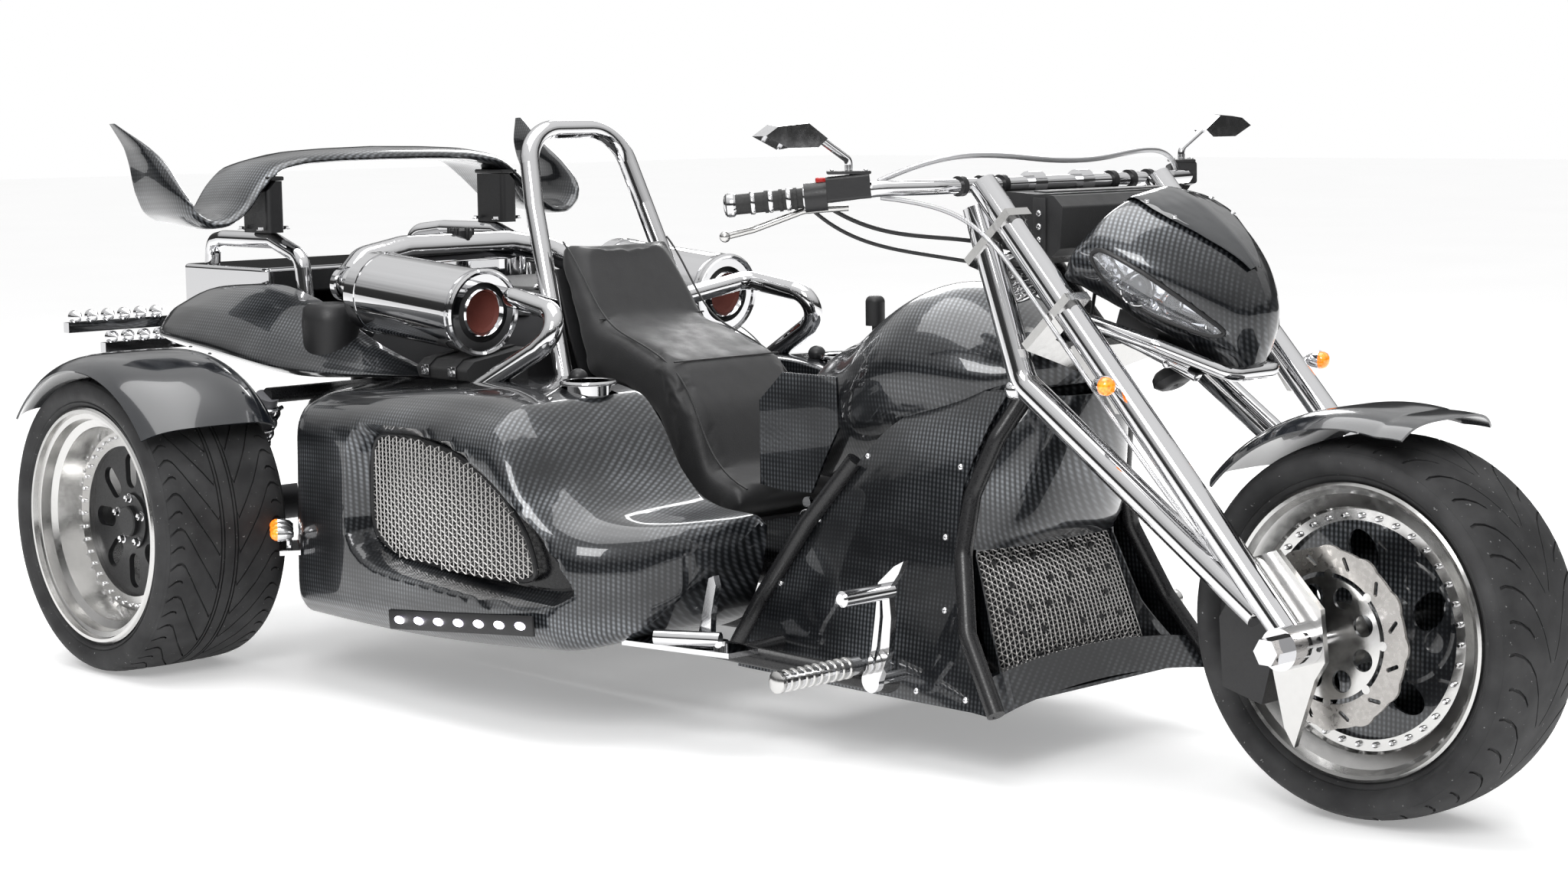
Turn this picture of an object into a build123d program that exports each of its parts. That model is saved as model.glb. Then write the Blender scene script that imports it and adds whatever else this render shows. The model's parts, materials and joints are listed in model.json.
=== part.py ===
from build123d import *
import math
import os

# A three-wheel motorcycle with two wide rear wheels, a raked fork and a carbon-look body.
# Millimetres, +X forward, +Y to the rider's left, +Z up, origin on the ground below the middle.

os.makedirs("parts", exist_ok=True)

# General sizes
overrun = 20.0
touch_gap = 0.3

# Wheel details, as shares of the sizes that they go with
disc_hole_long_share = 0.19
disc_hole_wide_share = 0.13
petal_circle_share = 0.78
petal_share = 0.22
slot_circle_share = 0.84
slot_length_share = 0.16
slot_width_share = 0.045
caliper_gap_share = 1.5

# Fork and handlebar details, as shares of the sizes that they go with
yoke_back_share = 0.06
yoke_side_share = 0.36
yoke_middle_share = 0.5
yoke_front_share = 0.3
yoke_waist_share = 0.6
riser_set_share = 1.5
riser_half = 68.0
stem_rise_share = 0.75
mirror_top_shares = (0.55, 0.5)
mirror_bend_share = 0.2
guard_crown_share = 0.9
mirror_shares = [(-0.1, 0.0), (0.25, 0.5), (0.75, 0.42), (1.0, 0.1), (0.6, -0.3), (0.1, -0.3)]

# Engine and frame details, as shares of the sizes that they go with
step_bar_share = 0.8
cover_level_share = 0.94
cover_place_share = 0.58
can_mouth_share = 0.72
can_core_share = 0.8
foot_place_share = 0.72
foot_level_share = 0.85
foot_bore_share = 0.8
stay_bend_share = 1.25

# Body details, as shares of the sizes that they go with
seat_shoulder_share = 0.64
cup_clear_share = 0.3
amber_stem_share = 0.35
tail_floor_share = 0.7
tail_edge_share = 0.25
tail_brow_share = 0.62
tail_brow_level_share = 0.8
knob_round_share = 0.7
peg_hinge_share = 0.6
running_fit = 0.05
wheelbase = 2728.0
rear_axle_x = -1258.0
front_axle_x = rear_axle_x + wheelbase

# Rear wheels
rear_tyre_radius = 328.0
rear_tyre_width = 318.0
rear_track_half = 764.0
rear_seat_radius = 243.0
rear_wheel_shares = [(0.815, 0.0), (0.825, 0.25), (0.99, 0.46), (0.985, 0.7), (0.93, 0.88), (0.7, 0.98)]
rear_cavity_shares = [(0.64, 0.83), (0.88, 0.68), (0.9, 0.42), (0.75, 0.0)]
rear_rim_half = 149.0
rear_rim_shares = [
    (-0.8859, 0.9988),
    (0.8859, 0.9988),
    (0.8993, 1.0782),
    (0.9732, 1.0782),
    (1, 1.0576),
    (1, 1.0288),
    (0.9262, 1.0165),
    (0.9128, 0.9712),
    (0.7651, 0.9547),
    (0.7114, 0.8889),
    (0.3624, 0.823),
    (0.3624, 0.6914),
    (0.2819, 0.6914),
    (0.2819, 0.8477),
    (0.6174, 0.9218),
    (0.5906, 0.9712),
    (-0.9128, 0.9712),
    (-0.9329, 1.0288),
    (-1, 1.0288),
    (-1, 1.0576),
    (-0.9732, 1.0782),
    (-0.8993, 1.0782),
]
centre_disc_radius = 200.0
centre_disc_face = 42.0
centre_disc_thickness = 12.0
centre_hole_circle = 112.0
centre_hole_length = 78.0
centre_hole_width = 44.0
centre_hole_count = 8
rear_hub_radius = 62.0
rear_hub_inner = -70.0
rear_hub_outer = 48.0
stub_radius = 20.0
hub_cap_radius = 34.0
hub_cap_depth = 12.0
rear_rotor_radius = 140.0
rear_rotor_thickness = 10.0

# Front wheel
front_tyre_radius = 330.0
front_tyre_width = 240.0
front_seat_radius = 243.0
front_wheel_shares = [(0.69, 0.0), (0.69, 0.18), (0.94, 0.34), (1.0, 0.5), (0.87, 0.76), (0.5, 0.945), (0.18, 1.0)]
front_cavity_shares = [(0.5, 0.8), (0.82, 0.6), (0.84, 0.44), (0.58, 0.0)]
front_rim_half = 98.0
front_rim_shares = [
    (-0.8571, 0.9988),
    (0.8571, 0.9988),
    (0.8776, 1.0535),
    (0.9694, 1.0535),
    (1, 1.0329),
    (0.9796, 1.0082),
    (0.8571, 0.9712),
    (0.7347, 0.8724),
    (0.6327, 0.856),
    (0.6327, 0.7737),
    (0.5102, 0.7737),
    (0.5102, 0.8889),
    (0.6122, 0.9136),
    (0.6939, 0.9712),
    (-0.6939, 0.9712),
    (-0.6122, 0.9136),
    (-0.5102, 0.8889),
    (-0.5102, 0.7737),
    (-0.6327, 0.7737),
    (-0.6327, 0.856),
    (-0.7347, 0.8724),
    (-0.8571, 0.9712),
    (-0.9796, 1.0082),
    (-1, 1.0329),
    (-0.9694, 1.0535),
    (-0.8776, 1.0535),
]
front_disc_radius = 204.0
front_disc_face = 50.0
front_disc_thickness = 6.0
front_disc_holes = 5
front_hole_circle = 135.0
front_hub_radius = 56.0
front_hub_half = 118.0
front_axle_radius = 12.5
rotor_offset = 155.0
rotor_radius = 158.0
rotor_inner_radius = 112.0
rotor_thickness = 6.0
rotor_petals = 12
rotor_petal_depth = 5.0
rotor_slots = 12
carrier_radius = 104.0
carrier_inner_radius = 40.0
carrier_window_circle = 76.0
carrier_window_radius = 19.0
carrier_windows = 8
bobbin_radius = 8.0
bobbin_circle = 109.0
bobbin_count = 8

# Steering axis and fork
steer_x = 772.0
steer_z = 850.0
rake_angle = 43.4
stem_top = -62.0
stem_bottom = 122.0
head_tube_radius = 38.0
stem_radius = 20.0
yoke_thickness = 16.0
yoke_boss_radius = 36.0
leg_track_half = 250.0
leg_radius = 26.0
leg_top_x = 780.0
leg_top_z = 1082.0
leg_drop = 752.0
leg_run = 690.0
rear_leg_shares = [
    (-0.0203, 0.0559),
    (0.142, 0.4694),
    (0.8957, 0.9441),
]
rear_leg_bend = 60.0
axle_boss_radius = 36.0
axle_boss_inner = 222.0
axle_boss_outer = 296.0
axle_cap_radius = 24.0
axle_cap_end = 332.0
caliper_plate_thickness = 12.0
caliper_plate_reach = 190.0
caliper_plate_shares = [
    (0.2105, -0.1474),
    (0.1579, 0.3158),
    (-0.3158, 0.7895),
    (-0.7895, 0.6211),
    (-0.6737, 0.2737),
    (-0.3684, 0.0947),
    (-0.3474, -0.2632),
    (-0.2105, -0.7895),
    (-0.1053, -0.9474),
    (0, -0.6316),
    (0.1053, -0.3158),
]
caliper_block_shares = [
    (-0.9368, -0.5263),
    (-0.5053, -0.6316),
    (-0.3684, -0.1053),
    (-0.4, 0.2947),
    (-0.7895, 0.4211),
    (-0.9789, 0.1053),
]
caliper_width = 78.0

# Handlebar and controls
bar_radius = 14.0
bar_x = 742.0
bar_z = 1078.0
bar_half = 620.0
bar_sweep = 230.0
bar_drop = 30.0
bar_shares = [
    (0, 0, 0),
    (0, 0.5323, 0),
    (0.1565, 0.7097, 0),
    (0.4783, 0.8145, 0.4),
    (0.9826, 0.9968, 0.8667),
]
bar_bend = 70.0
grip_radius = 18.0
grip_length = 128.0
grip_ring_radius = 20.0
grip_ring_width = 6.0
grip_ring_pitch = 26.0
grip_ring_count = 4
switch_radius = 26.0
switch_length = 40.0
cylinder_box_length = 78.0
cylinder_box_width = 52.0
cylinder_box_height = 44.0
lever_thickness = 6.0
lever_ball_radius = 10.0
lever_shares = [
    (-0.1286, 0.0105, -0.0889),
    (0.1857, 0.3684, 0),
    (0.5857, 0.7368, 0.7111),
    (0.7857, 0.9684, 0.9778),
]
mirror_stem_radius = 7.0
mirror_rise = 130.0
mirror_length = 150.0
mirror_height = 62.0
mirror_depth = 26.0
riser_radius = 17.0

# Nacelle and lamps
nacelle_rear_x = 905.0
nacelle_bottom_z = 757.0
nacelle_length = 320.0
nacelle_height = 321.0
nacelle_half = 200.0
nacelle_wall = 4.0
stay_x = 962.0
stay_z = 894.0
stay_radius = 10.0
stay_reach = 172.0
nacelle_side_shares = [
    (0.1781, 0.8692),
    (0.2781, 1),
    (0.6031, 0.8255),
    (0.8906, 0.5701),
    (1, 0.3427),
    (0.9781, 0.134),
    (0.9156, 0),
    (0.4531, 0.134),
    (0.0781, 0.3458),
    (0.0344, 0.4143),
    (0.0719, 0.5545),
]
nacelle_plan_shares = [
    (0, 0.84),
    (0.1781, 1),
    (0.4219, 0.94),
    (0.7656, 0.6),
    (0.9906, 0.22),
    (0.9906, -0.22),
    (0.7656, -0.6),
    (0.4219, -0.94),
    (0.1781, -1),
    (0, -0.84),
]
nacelle_front_shares = [
    (-0.35, 0),
    (-0.8, 0.2897),
    (-1, 0.6324),
    (-0.75, 0.8816),
    (-0.3, 1),
    (0.3, 1),
    (0.75, 0.8816),
    (1, 0.6324),
    (0.8, 0.2897),
    (0.35, 0),
]
lamp_shares = [
    (0.2188, 0.6168),
    (0.3281, 0.648),
    (0.5781, 0.5234),
    (0.8906, 0.2274),
    (0.8219, 0.1713),
    (0.5625, 0.2897),
    (0.3281, 0.4143),
]
chin_radius = 13.0
chin_shares = [
    (0.0406, -0.92, 0.296),
    (0.5781, -0.7, 0.134),
    (0.9094, -0.31, -0.028),
    (0.9094, 0.31, -0.028),
    (0.5781, 0.7, 0.134),
    (0.0406, 0.92, 0.296),
]
chin_bend = 40.0

# Front mudguard
front_guard_gap = 45.0
front_guard_thickness = 4.0
front_guard_half = 136.0
front_guard_skirt = 22.0
front_guard_start = 72.0
front_guard_arc = 66.0
guard_stay_x = 1222.0
guard_stay_z = 600.0
guard_stay_radius = 8.0

# Tank cover
tank_rear_x = 109.0
tank_base_z = 440.0
tank_length = 690.0
tank_half = 232.0
tank_height = 445.0
tank_station_shares = [
    (0.0043, 0.3017, 0.0674, 0.5169),
    (0.1754, 0.5172, 0.0629, 0.6966),
    (0.3928, 0.8448, 0.1348, 0.8719),
    (0.5957, 0.9741, 0.236, 0.9978),
    (0.7696, 0.8836, 0.3258, 0.9258),
    (0.9652, 0.4828, 0.5393, 0.809),
]
flap_thickness = 6.0
flap_half = 179.0
flap_shares = [
    (0.0043, 1.0562),
    (0.0043, 1.4382),
    (0.1029, 1.573),
    (0.3203, 1.573),
    (0.329, 1.3483),
    (0.2768, 1.2135),
    (0.2174, 1.0449),
    (0.1029, 1.0382),
]
lever_knob_radius = 20.0
lever_knob_height = 62.0
lever_stem_radius = 7.0
gear_lever_x = 175.0
gear_lever_y = 92.0
gear_lever_base = 560.0
gear_lever_top = 838.0

# Front shell
shell_rear_x = 194.0
shell_bottom_z = 126.0
shell_length = 672.0
shell_height = 574.0
shell_half = 321.0
shell_wall = 5.0
shell_side_shares = [
    (0, 0.0592),
    (1, 0),
    (0.8571, 0.2334),
    (0.7768, 0.4599),
    (0.7768, 0.6516),
    (0.8304, 0.8606),
    (0.869, 1),
    (0.753, 1),
    (0.4554, 0.8467),
    (0.3661, 0.7213),
]
shell_front_shares = [
    (-1, 0),
    (-0.9097, 0.1986),
    (-0.7664, 0.4774),
    (-0.704, 0.7213),
    (-0.4984, 1),
    (0.4984, 1),
    (0.704, 0.7213),
    (0.7664, 0.4774),
    (0.9097, 0.1986),
    (1, 0),
]
edge_tube_radius = 17.0
front_edge_shares = [
    (1.0089, -0.9969, 0.0105),
    (0.8661, -0.9034, 0.2369),
    (0.7887, -0.7601, 0.4774),
    (0.7887, -0.6791, 0.669),
    (0.8363, -0.5794, 0.8519),
    (0.875, -0.4361, 0.9826),
]
rear_edge_shares = [
    (0.3631, -0.7352, 0.7422),
    (0.2024, -0.8162, 0.5122),
    (0.0655, -0.9221, 0.2509),
    (-0.0119, -0.9844, 0.0801),
]
edge_bend = 60.0
grille_top_x = 690.0
grille_top_z = 396.0
grille_bottom_x = 772.0
grille_bottom_z = 170.0
grille_half = 208.0
grille_thickness = 6.0
grille_rib_pitch = 26.0
grille_rib_width = 4.0
grille_slot_count = 15
grille_slot_height = 196.0
duct_wall = 4.0
duct_back_shares = [
    (-1.0385, 0),
    (1.0385, 0),
    (0.9423, 1),
    (-0.9423, 1),
]
duct_mouth_shares = [
    (-0.9346, 0.0139),
    (0.9346, 0.0139),
    (0.4922, 0.9686),
    (-0.4922, 0.9686),
]
scoop_reach = 190.0
scoop_rise = 310.0
scoop_shares = [
    (0.9368, 0.9935),
    (0.6421, 0.6581),
    (0.4421, 0.271),
    (0.3789, 0.0903),
    (0.2842, 0.0129),
    (0.0526, 0.0065),
    (0.0526, 0.0516),
    (0.2526, 0.0645),
    (0.3053, 0.1097),
    (0.3684, 0.2903),
    (0.5789, 0.6774),
    (0.8526, 0.9935),
]
lip_depth = 62.0
lip_half = 303.0
lip_height = 58.0
lip_rise = 22.0

# Side pods
pod_rear_x = -1066.0
pod_bottom_z = 150.0
pod_length = 1291.0
pod_height = 520.0
pod_half = 700.0
pod_wall = 5.0
pod_side_shares = [
    (0, 0.0154),
    (0.3919, 0),
    (0.849, 0.0615),
    (0.9419, 0.125),
    (0.9915, 0.3462),
    (1, 0.5154),
    (0.9806, 0.5423),
    (0.9109, 0.5346),
    (0.8412, 0.5865),
    (0.7947, 0.7115),
    (0.7599, 0.8654),
    (0.7095, 0.9712),
    (0.5933, 0.9962),
    (0.361, 0.9577),
    (0.1541, 0.9231),
    (0, 0.8885),
]
pod_plan_shares = [
    (0, -0.3857),
    (0, -0.7114),
    (0.1177, -0.8543),
    (0.2332, -0.9943),
    (0.3919, -1),
    (0.7483, -0.9929),
    (0.8722, -0.9429),
    (0.9497, -0.8),
    (0.9923, -0.5714),
    (1, -0.4286),
    (1, -0.3857),
]
pod_section_shares = [
    (-0.3857, 0),
    (-0.8, 0),
    (-1, 0.1923),
    (-0.9857, 0.7885),
    (-0.8571, 0.9615),
    (-0.6143, 1),
    (-0.3857, 1),
]
recess_shares = [
    (0.361, 0.2808),
    (0.3749, 0.8577),
    (0.5004, 0.8654),
    (0.6243, 0.8173),
    (0.7328, 0.6923),
    (0.8257, 0.5385),
    (0.8799, 0.3654),
    (0.849, 0.2808),
    (0.7483, 0.2577),
]
recess_depth = 88.0
recess_taper = 26.0
mesh_shares = [
    (0.395, 0.3654),
    (0.3997, 0.7731),
    (0.5004, 0.7808),
    (0.6166, 0.7423),
    (0.7405, 0.6154),
    (0.8102, 0.4808),
    (0.8366, 0.3731),
]
mesh_thickness = 4.0
mesh_pitch = 24.0
led_length = 452.0
led_height = 22.0
led_depth = 8.0
led_x = -214.0
led_z = 216.0
led_y = 690.0
led_tilt = 5.5
cup_x = -190.0
cup_y = 372.0
cup_radius = 46.0
cup_depth = 70.0
cup_ring_width = 9.0
lamp_bar_length = 150.0
lamp_bar_depth = 44.0
lamp_bar_run = 149.0
lamp_bar_slant = 98.0
lamp_bar_x = -848.0
lamp_bar_y = 668.0
lamp_bar_z = 300.0
lamp_bar_thickness = 10.0
amber_radius = 15.0
amber_count = 3

# Rear body
rear_guard_gap = 42.0
rear_guard_thickness = 5.0
rear_guard_inner_y = 600.0
rear_guard_outer_y = 940.0
rear_guard_skirt = 26.0
rear_guard_start = 38.0
rear_guard_arc = 102.0
tail_shell_rear_x = -1690.0
tail_shell_bottom_z = 626.0
tail_shell_length = 970.0
tail_shell_height = 204.0
tail_shell_inner_y = 352.3
tail_shell_outer_y = 560.0
tail_shell_wall = 5.0
tail_shell_shares = [
    (0, 0.5098),
    (0.0515, 0.7647),
    (0.1959, 0.9412),
    (0.3619, 0.9902),
    (0.5258, 0.8529),
    (0.6495, 0.6176),
    (0.7835, 0.3824),
    (0.9278, 0.2059),
    (0.9979, 0.1176),
    (0.8144, 0.0686),
    (0.6433, 0.0098),
    (0.5433, 0.0098),
    (0.2784, 0.1667),
    (0.0309, 0.3627),
]
tail_box_rear_x = -1752.0
tail_box_length = 360.0
tail_box_half = 352.0
tail_box_bottom_z = 662.0
tail_box_height = 200.0
tail_box_edge = 18.0
light_bar_inner_y = 300.0
light_bar_arm = 40.0
light_bar_outer_y = 653.0
light_bar_x = -1788.0
light_bar_z = 722.0
light_bar_size = 24.0
light_bar_lower_outer_y = 557.0
light_bar_lower_z = 668.0
bullet_radius = 15.0
bullet_length = 56.0
bullet_shares = [(-0.5, 0), (-0.12, 1), (0.12, 1), (0.5, 0)]
bullet_margin = 24.0
bullet_rise = 25.0
bullet_upper_count = 6
bullet_lower_count = 4
bullet_pitch = 44.0
wing_rear_x = -1640.0
wing_length = 310.0
wing_half = 600.0
wing_bottom_z = 952.0
wing_height = 256.0
wing_front_shares = [
    (0, 0.5859),
    (-0.4, 0.5703),
    (-0.55, 0.5),
    (-0.6667, 0.2266),
    (-0.7833, 0.0312),
    (-0.9, 0.0156),
    (-0.9733, 0.1875),
    (-0.9833, 0.5),
    (-0.9567, 0.7344),
    (-1, 0.9922),
    (-0.9267, 0.7344),
    (-0.9433, 0.5),
    (-0.93, 0.2422),
    (-0.8833, 0.125),
    (-0.8, 0.1328),
    (-0.7067, 0.3047),
    (-0.5867, 0.5938),
    (-0.4167, 0.6797),
    (0, 0.6953),
]
wing_side_shares = [
    (0, 1),
    (0.0645, 0.5781),
    (0.129, 0.2656),
    (0.2581, 0),
    (1, 0),
    (0.9806, 0.2266),
    (0.9355, 0.6172),
    (0.6774, 0.7344),
    (0.2581, 0.8125),
    (0.129, 1),
]
pylon_x = -1400.0
pylon_y = 345.0
pylon_length = 110.0
pylon_width = 46.0
pylon_base_z = 946.0
pylon_top_z = 1046.0
rack_radius = 19.0
rack_shares = [
    (0.1444, -0.8523, 0.662),
    (0.1722, -0.8523, 0.8944),
    (0.4222, -0.9261, 0.932),
    (1.0333, -0.9375, 0.932),
    (1.3389, -0.9375, 0.8028),
    (1.4222, -0.9375, 0.0986),
]
rack_bend = 40.0

# Engine
engine_rear_x = -1150.0
engine_length = 600.0
engine_half = 250.0
engine_bottom_z = 250.0
engine_height = 560.0
engine_cover_length = 430.0
engine_cover_half = 190.0
engine_cover_height = 62.0
sump_height = 90.0
sump_width = 200.0
sump_inset = 60.0
sump_corner = 12.0
block_shares = [
    (-0.5, 0.1607),
    (-0.62, 0.4),
    (-0.2, 0.7),
    (0.2, 0.7),
    (0.62, 0.4),
    (0.5, 0.1607),
]
bank_shares = [
    (-0.6224, 0.4007),
    (-1, 0.7196),
    (-0.72, 0.9393),
    (-0.2024, 0.7007),
]
can_radius = 90.0
can_rear_x = -954.0
can_front_x = -560.0
can_rear_z = 826.0
can_front_z = 796.0
can_y = 352.0
can_wall = 4.0
can_core_radius = 46.0
can_mouth_depth = 60.0
pipe_radius = 34.0
cross_pipe_shares = [
    (1, -1, 0.5575),
    (0.5308, -1, 0.6106),
    (0.3462, -0.767, 0.8142),
    (0.3154, -0.4261, 0.9027),
    (0.3154, 0.4261, 0.9027),
    (0.3462, 0.767, 0.8142),
    (0.5308, 1, 0.6106),
    (1, 1, 0.5575),
]
cross_pipe_x = -1200.0
cross_pipe_z = 700.0
cross_pipe_reach = 260.0
cross_pipe_rise = 226.0
cross_pipe_bend = 70.0
filler_x = -1118.0
filler_y = 17.0
filler_radius = 28.0
filler_base = 914.0
filler_height = 34.0
filler_edge = 5.0
case_length = 178.0
case_rear_x = -718.0
case_base = (250.6, 652.0)
case_size = (165.0, 66.0)
case_shares = [
    (0, 0),
    (0.9539, 0),
    (1, 0.3636),
    (0.8691, 0.6364),
    (0, 0.9697),
]
case_edge = 8.0

# Hoop and armrests
hoop_radius = 21.0
hoop_foot_x = -470.0
hoop_foot_z = 640.0
hoop_half = 200.0
hoop_rise = 540.0
hoop_shares = [
    (0, -1.025, 0),
    (0.7143, -0.79, 0.6852),
    (1, -0.64, 1),
    (1, 0.64, 1),
    (0.7143, 0.79, 0.6852),
    (0, 1.025, 0),
]
hoop_lean = -210.0
hoop_bend = 95.0
arm_shares = [
    (0.2857, -0.95, 0.2963),
    (0.0476, -1.73, 0.3593),
    (-1.0476, -1.83, 0.2963),
    (-0.6667, -1.96, 0.1667),
    (0.2381, -2.1, -0.0185),
]
arm_bend = 42.0

# Seat
seat_half = 176.0
seat_top_half = 160.0
seat_rear_x = -560.0
seat_bottom_z = 380.0
seat_length = 620.0
seat_height = 565.0
seat_shares = [
    (0.0194, 0.9735),
    (0.0645, 0.9982),
    (0.0968, 0.9204),
    (0.2258, 0.6796),
    (0.3871, 0.6301),
    (0.6129, 0.5487),
    (0.7258, 0.3894),
    (0.8065, 0.1593),
    (0.9677, 0.1168),
    (0.9935, 0.0708),
    (0.9516, 0.0071),
    (0.7258, 0.0142),
    (0.6452, 0.1593),
    (0.5323, 0.3717),
    (0.371, 0.4602),
    (0.1855, 0.4779),
    (0.0323, 0.885),
]
pan_shares = [
    (0.9516, 0.0065),
    (0.7258, 0.0136),
    (0.6447, 0.1588),
    (0.5318, 0.3712),
    (0.371, 0.4596),
    (0.185, 0.4773),
    (0.0318, 0.885),
    (0.0226, 0.8814),
    (0.179, 0.4655),
    (0.3661, 0.4478),
    (0.5242, 0.3628),
    (0.6363, 0.154),
    (0.7194, 0.0027),
    (0.9548, -0.0044),
]

# Pegs and pedal
peg_radius = 18.0
peg_length = 205.0
peg_x = 572.0
peg_z = 190.0
peg_inner_y = 372.0
pedal_thickness = 14.0
pedal_y = 394.0
pedal_reach = 140.0
pedal_rise = 170.0
pedal_shares = [
    (0.4857, -0.1176),
    (0.6571, -0.0706),
    (0.8429, 0.2706),
    (0.8857, 0.6471),
    (0.8429, 0.9529),
    (1.0286, 1.1412),
    (1.1143, 1.2824),
    (0.9429, 1.2118),
    (0.6571, 1.0118),
    (0.6, 0.6471),
    (0.5286, 0.2706),
    (0.3714, -0.0588),
]
pedal_slot_shares = [
    (0.5714, 0.0941),
    (0.6857, 0.2941),
    (0.7429, 0.6471),
    (0.7286, 0.8588),
    (0.6857, 0.8588),
    (0.6857, 0.6471),
    (0.6286, 0.3176),
    (0.5429, 0.1176),
]
pedal_pivot_x = 642.0
pedal_pivot_z = 176.0
pedal_boss_radius = 22.0
pedal_pad_x = 682.0
pedal_pad_z = 348.0
pedal_pad_radius = 15.0
pedal_pad_length = 130.0
pillion_span = 320.0
pillion_depth = 150.0
pillion_peg_x = 324.0
pillion_peg_y = 488.0
pillion_peg_z = 222.0
pillion_peg_length = 132.0
pillion_plate_shares = [
    (0.175, -3.3333),
    (0.375, -3.7333),
    (1.1625, -3.4133),
    (1.175, -2.9333),
    (0.7375, -2.8267),
    (0.4688, -3.1333),
]
pillion_fin_shares = [
    (0.7063, 1.3467),
    (0.8187, 2.2),
    (0.8625, 2.24),
    (0.8812, 2.12),
    (0.8375, 1.7467),
    (0.825, 1.3467),
]
pillion_fin_y = 446.0
pillion_peg_lean = 28.0
pillion_plate_z = 196.0
pillion_plate_thickness = 10.0

# Frame
frame_radius = 24.0
backbone_shares = [
    (0.9643, 0, 0.9543),
    (0.8535, 0, 0.7857),
    (0.7315, 0, 0.3857),
    (0.6376, 0, 0.3571),
]
side_rail_shares = [
    (0.7014, -1.4533, 0.0571),
    (0.7362, -1.44, 0.0543),
    (0.8723, -1.0867, 0.0057),
    (0.9146, -0.9, 0.0143),
    (0.9192, -0.5, 0.06),
]
side_rail_radius = 19.0
side_rail_bend = 60.0
frame_length = 2130.0
frame_half = 300.0
frame_height = 700.0
frame_bottom = 150.0
frame_bend = 90.0
lower_rail_shares = [
    (0.9192, -0.5, 0.06),
    (0.7315, -0.6, 0.0657),
    (0.4498, -0.7667, 0.0657),
    (0.1211, -0.7667, 0.1143),
    (0.0319, -0.7667, 0.2429),
]
upper_rail_shares = [
    (0.6188, -0.68, 0.0857),
    (0.5624, -0.7167, 0.2571),
    (0.4732, -0.7167, 0.5714),
    (0.3887, -0.7167, 0.6694),
    (0.1681, -0.7733, 0.6286),
    (0.0272, -0.7733, 0.6966),
    (-0.1418, -0.7733, 0.6966),
]
axle_beam_radius = 40.0
axle_beam_half = 590.0
gearbox_radius = 120.0
gearbox_half = 110.0
shock_radius = 26.0
shock_y = 540.0
shock_foot_x = -1244.0
shock_foot_z = 340.0
shock_head_x = -1110.0
shock_head_z = 596.0
outrigger_radius = 18.0
guard_bracket_x = -1258.0
guard_bracket_radius = 8.0
guard_bracket_z = 612.0
guard_bracket_inset = 12.0
bag_half = 172.0
bag_rear_x = 742.0
bag_bottom_z = 950.0
bag_length = 160.0
bag_height = 116.0
bag_shares = [
    (0, 0.9879),
    (0.1375, 1),
    (0.8625, 0.9483),
    (1, 0.7759),
    (0.9625, 0.1379),
    (0.8375, 0),
    (0.4, 0.0172),
    (0.3, 0.2241),
    (0.2625, 0.7759),
    (0, 0.931),
]
bag_edge = 6.0
blinker_radius = 17.0
blinker_length = 40.0
blinker_y = 306.0
blinker_x = 1093.0
blinker_z = 743.0
gusset_thickness = 10.0
gusset_shares = [
    (0.86, -0.1),
    (0.96, -0.2),
    (1.16, -0.4),
    (1.1933, -0.5333),
    (1.06, -0.5333),
    (0.96, -0.4),
    (0.7933, -0.3),
    (0.7267, -0.1667),
]


def scaled(origin, size, shares):
    """Turns shares into places: each share times the size, from the origin."""
    return [tuple(o + s * k for o, s, k in zip(origin, size, row)) for row in shares]


def doubled(shares):
    """Mirrors a half section, given from its edge to its middle, across the middle."""
    return list(shares) + [(-w, d) for w, d in reversed(shares)]


def rail(points, radius, bend):
    """A round bar or tube along straight runs joined by bends of one radius."""
    with BuildPart() as made:
        with BuildLine() as path:
            if len(points) > 2:
                FilletPolyline(*points, radius=bend)
            else:
                Line(*points)
        run = path.wires()[0]
        with BuildSketch(Plane(origin=run @ 0, z_dir=run % 0)):
            Circle(radius)
        sweep(path=run)
    return made.part


def turned(axle_x, axle_z, offset_y, outline):
    """A solid of revolution about an axle along Y, from (width, radius) points."""
    plane = Plane(origin=(axle_x, offset_y, axle_z), x_dir=(0, 1, 0), z_dir=(1, 0, 0))
    with BuildPart() as made:
        with BuildSketch(plane):
            Polygon(*outline, align=None)
        revolve(axis=Axis((axle_x, offset_y, axle_z), (0, 1, 0)))
    return made.part


def steering_plane(along):
    """A plane across the steering axis, this far down it, with its x forwards."""
    lean = math.radians(rake_angle)
    up = (-math.sin(lean), 0, math.cos(lean))
    forward = (math.cos(lean), 0, math.sin(lean))
    origin = (steer_x - up[0] * along, 0, steer_z - up[2] * along)
    return Plane(origin=origin, x_dir=forward, z_dir=up)


def keep(builder, name):
    """Labels a finished piece and writes it."""
    builder.part.label = name
    export_step(builder.part, "parts/" + name + ".step")


rear_axle_z = rear_tyre_radius
front_axle_z = front_tyre_radius

# Rear tyres: an open casing that seats on the rim
rear_depth = rear_tyre_radius - rear_seat_radius
rear_half = rear_tyre_width / 2
rear_casing = [(rear_half * w, rear_seat_radius + rear_depth * d) for w, d in doubled(rear_wheel_shares)]
rear_hollow = [(rear_half * w, rear_seat_radius + rear_depth * d) for w, d in doubled(rear_cavity_shares[::-1])]
rear_section = rear_casing + rear_hollow[::-1]
with BuildPart() as rear_tyre_right:
    add(turned(rear_axle_x, rear_axle_z, -rear_track_half, rear_section))
keep(rear_tyre_right, "rear_tyre_right")
with BuildPart() as rear_tyre_left:
    mirror(rear_tyre_right.part, about=Plane.XZ)
keep(rear_tyre_left, "rear_tyre_left")

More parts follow.
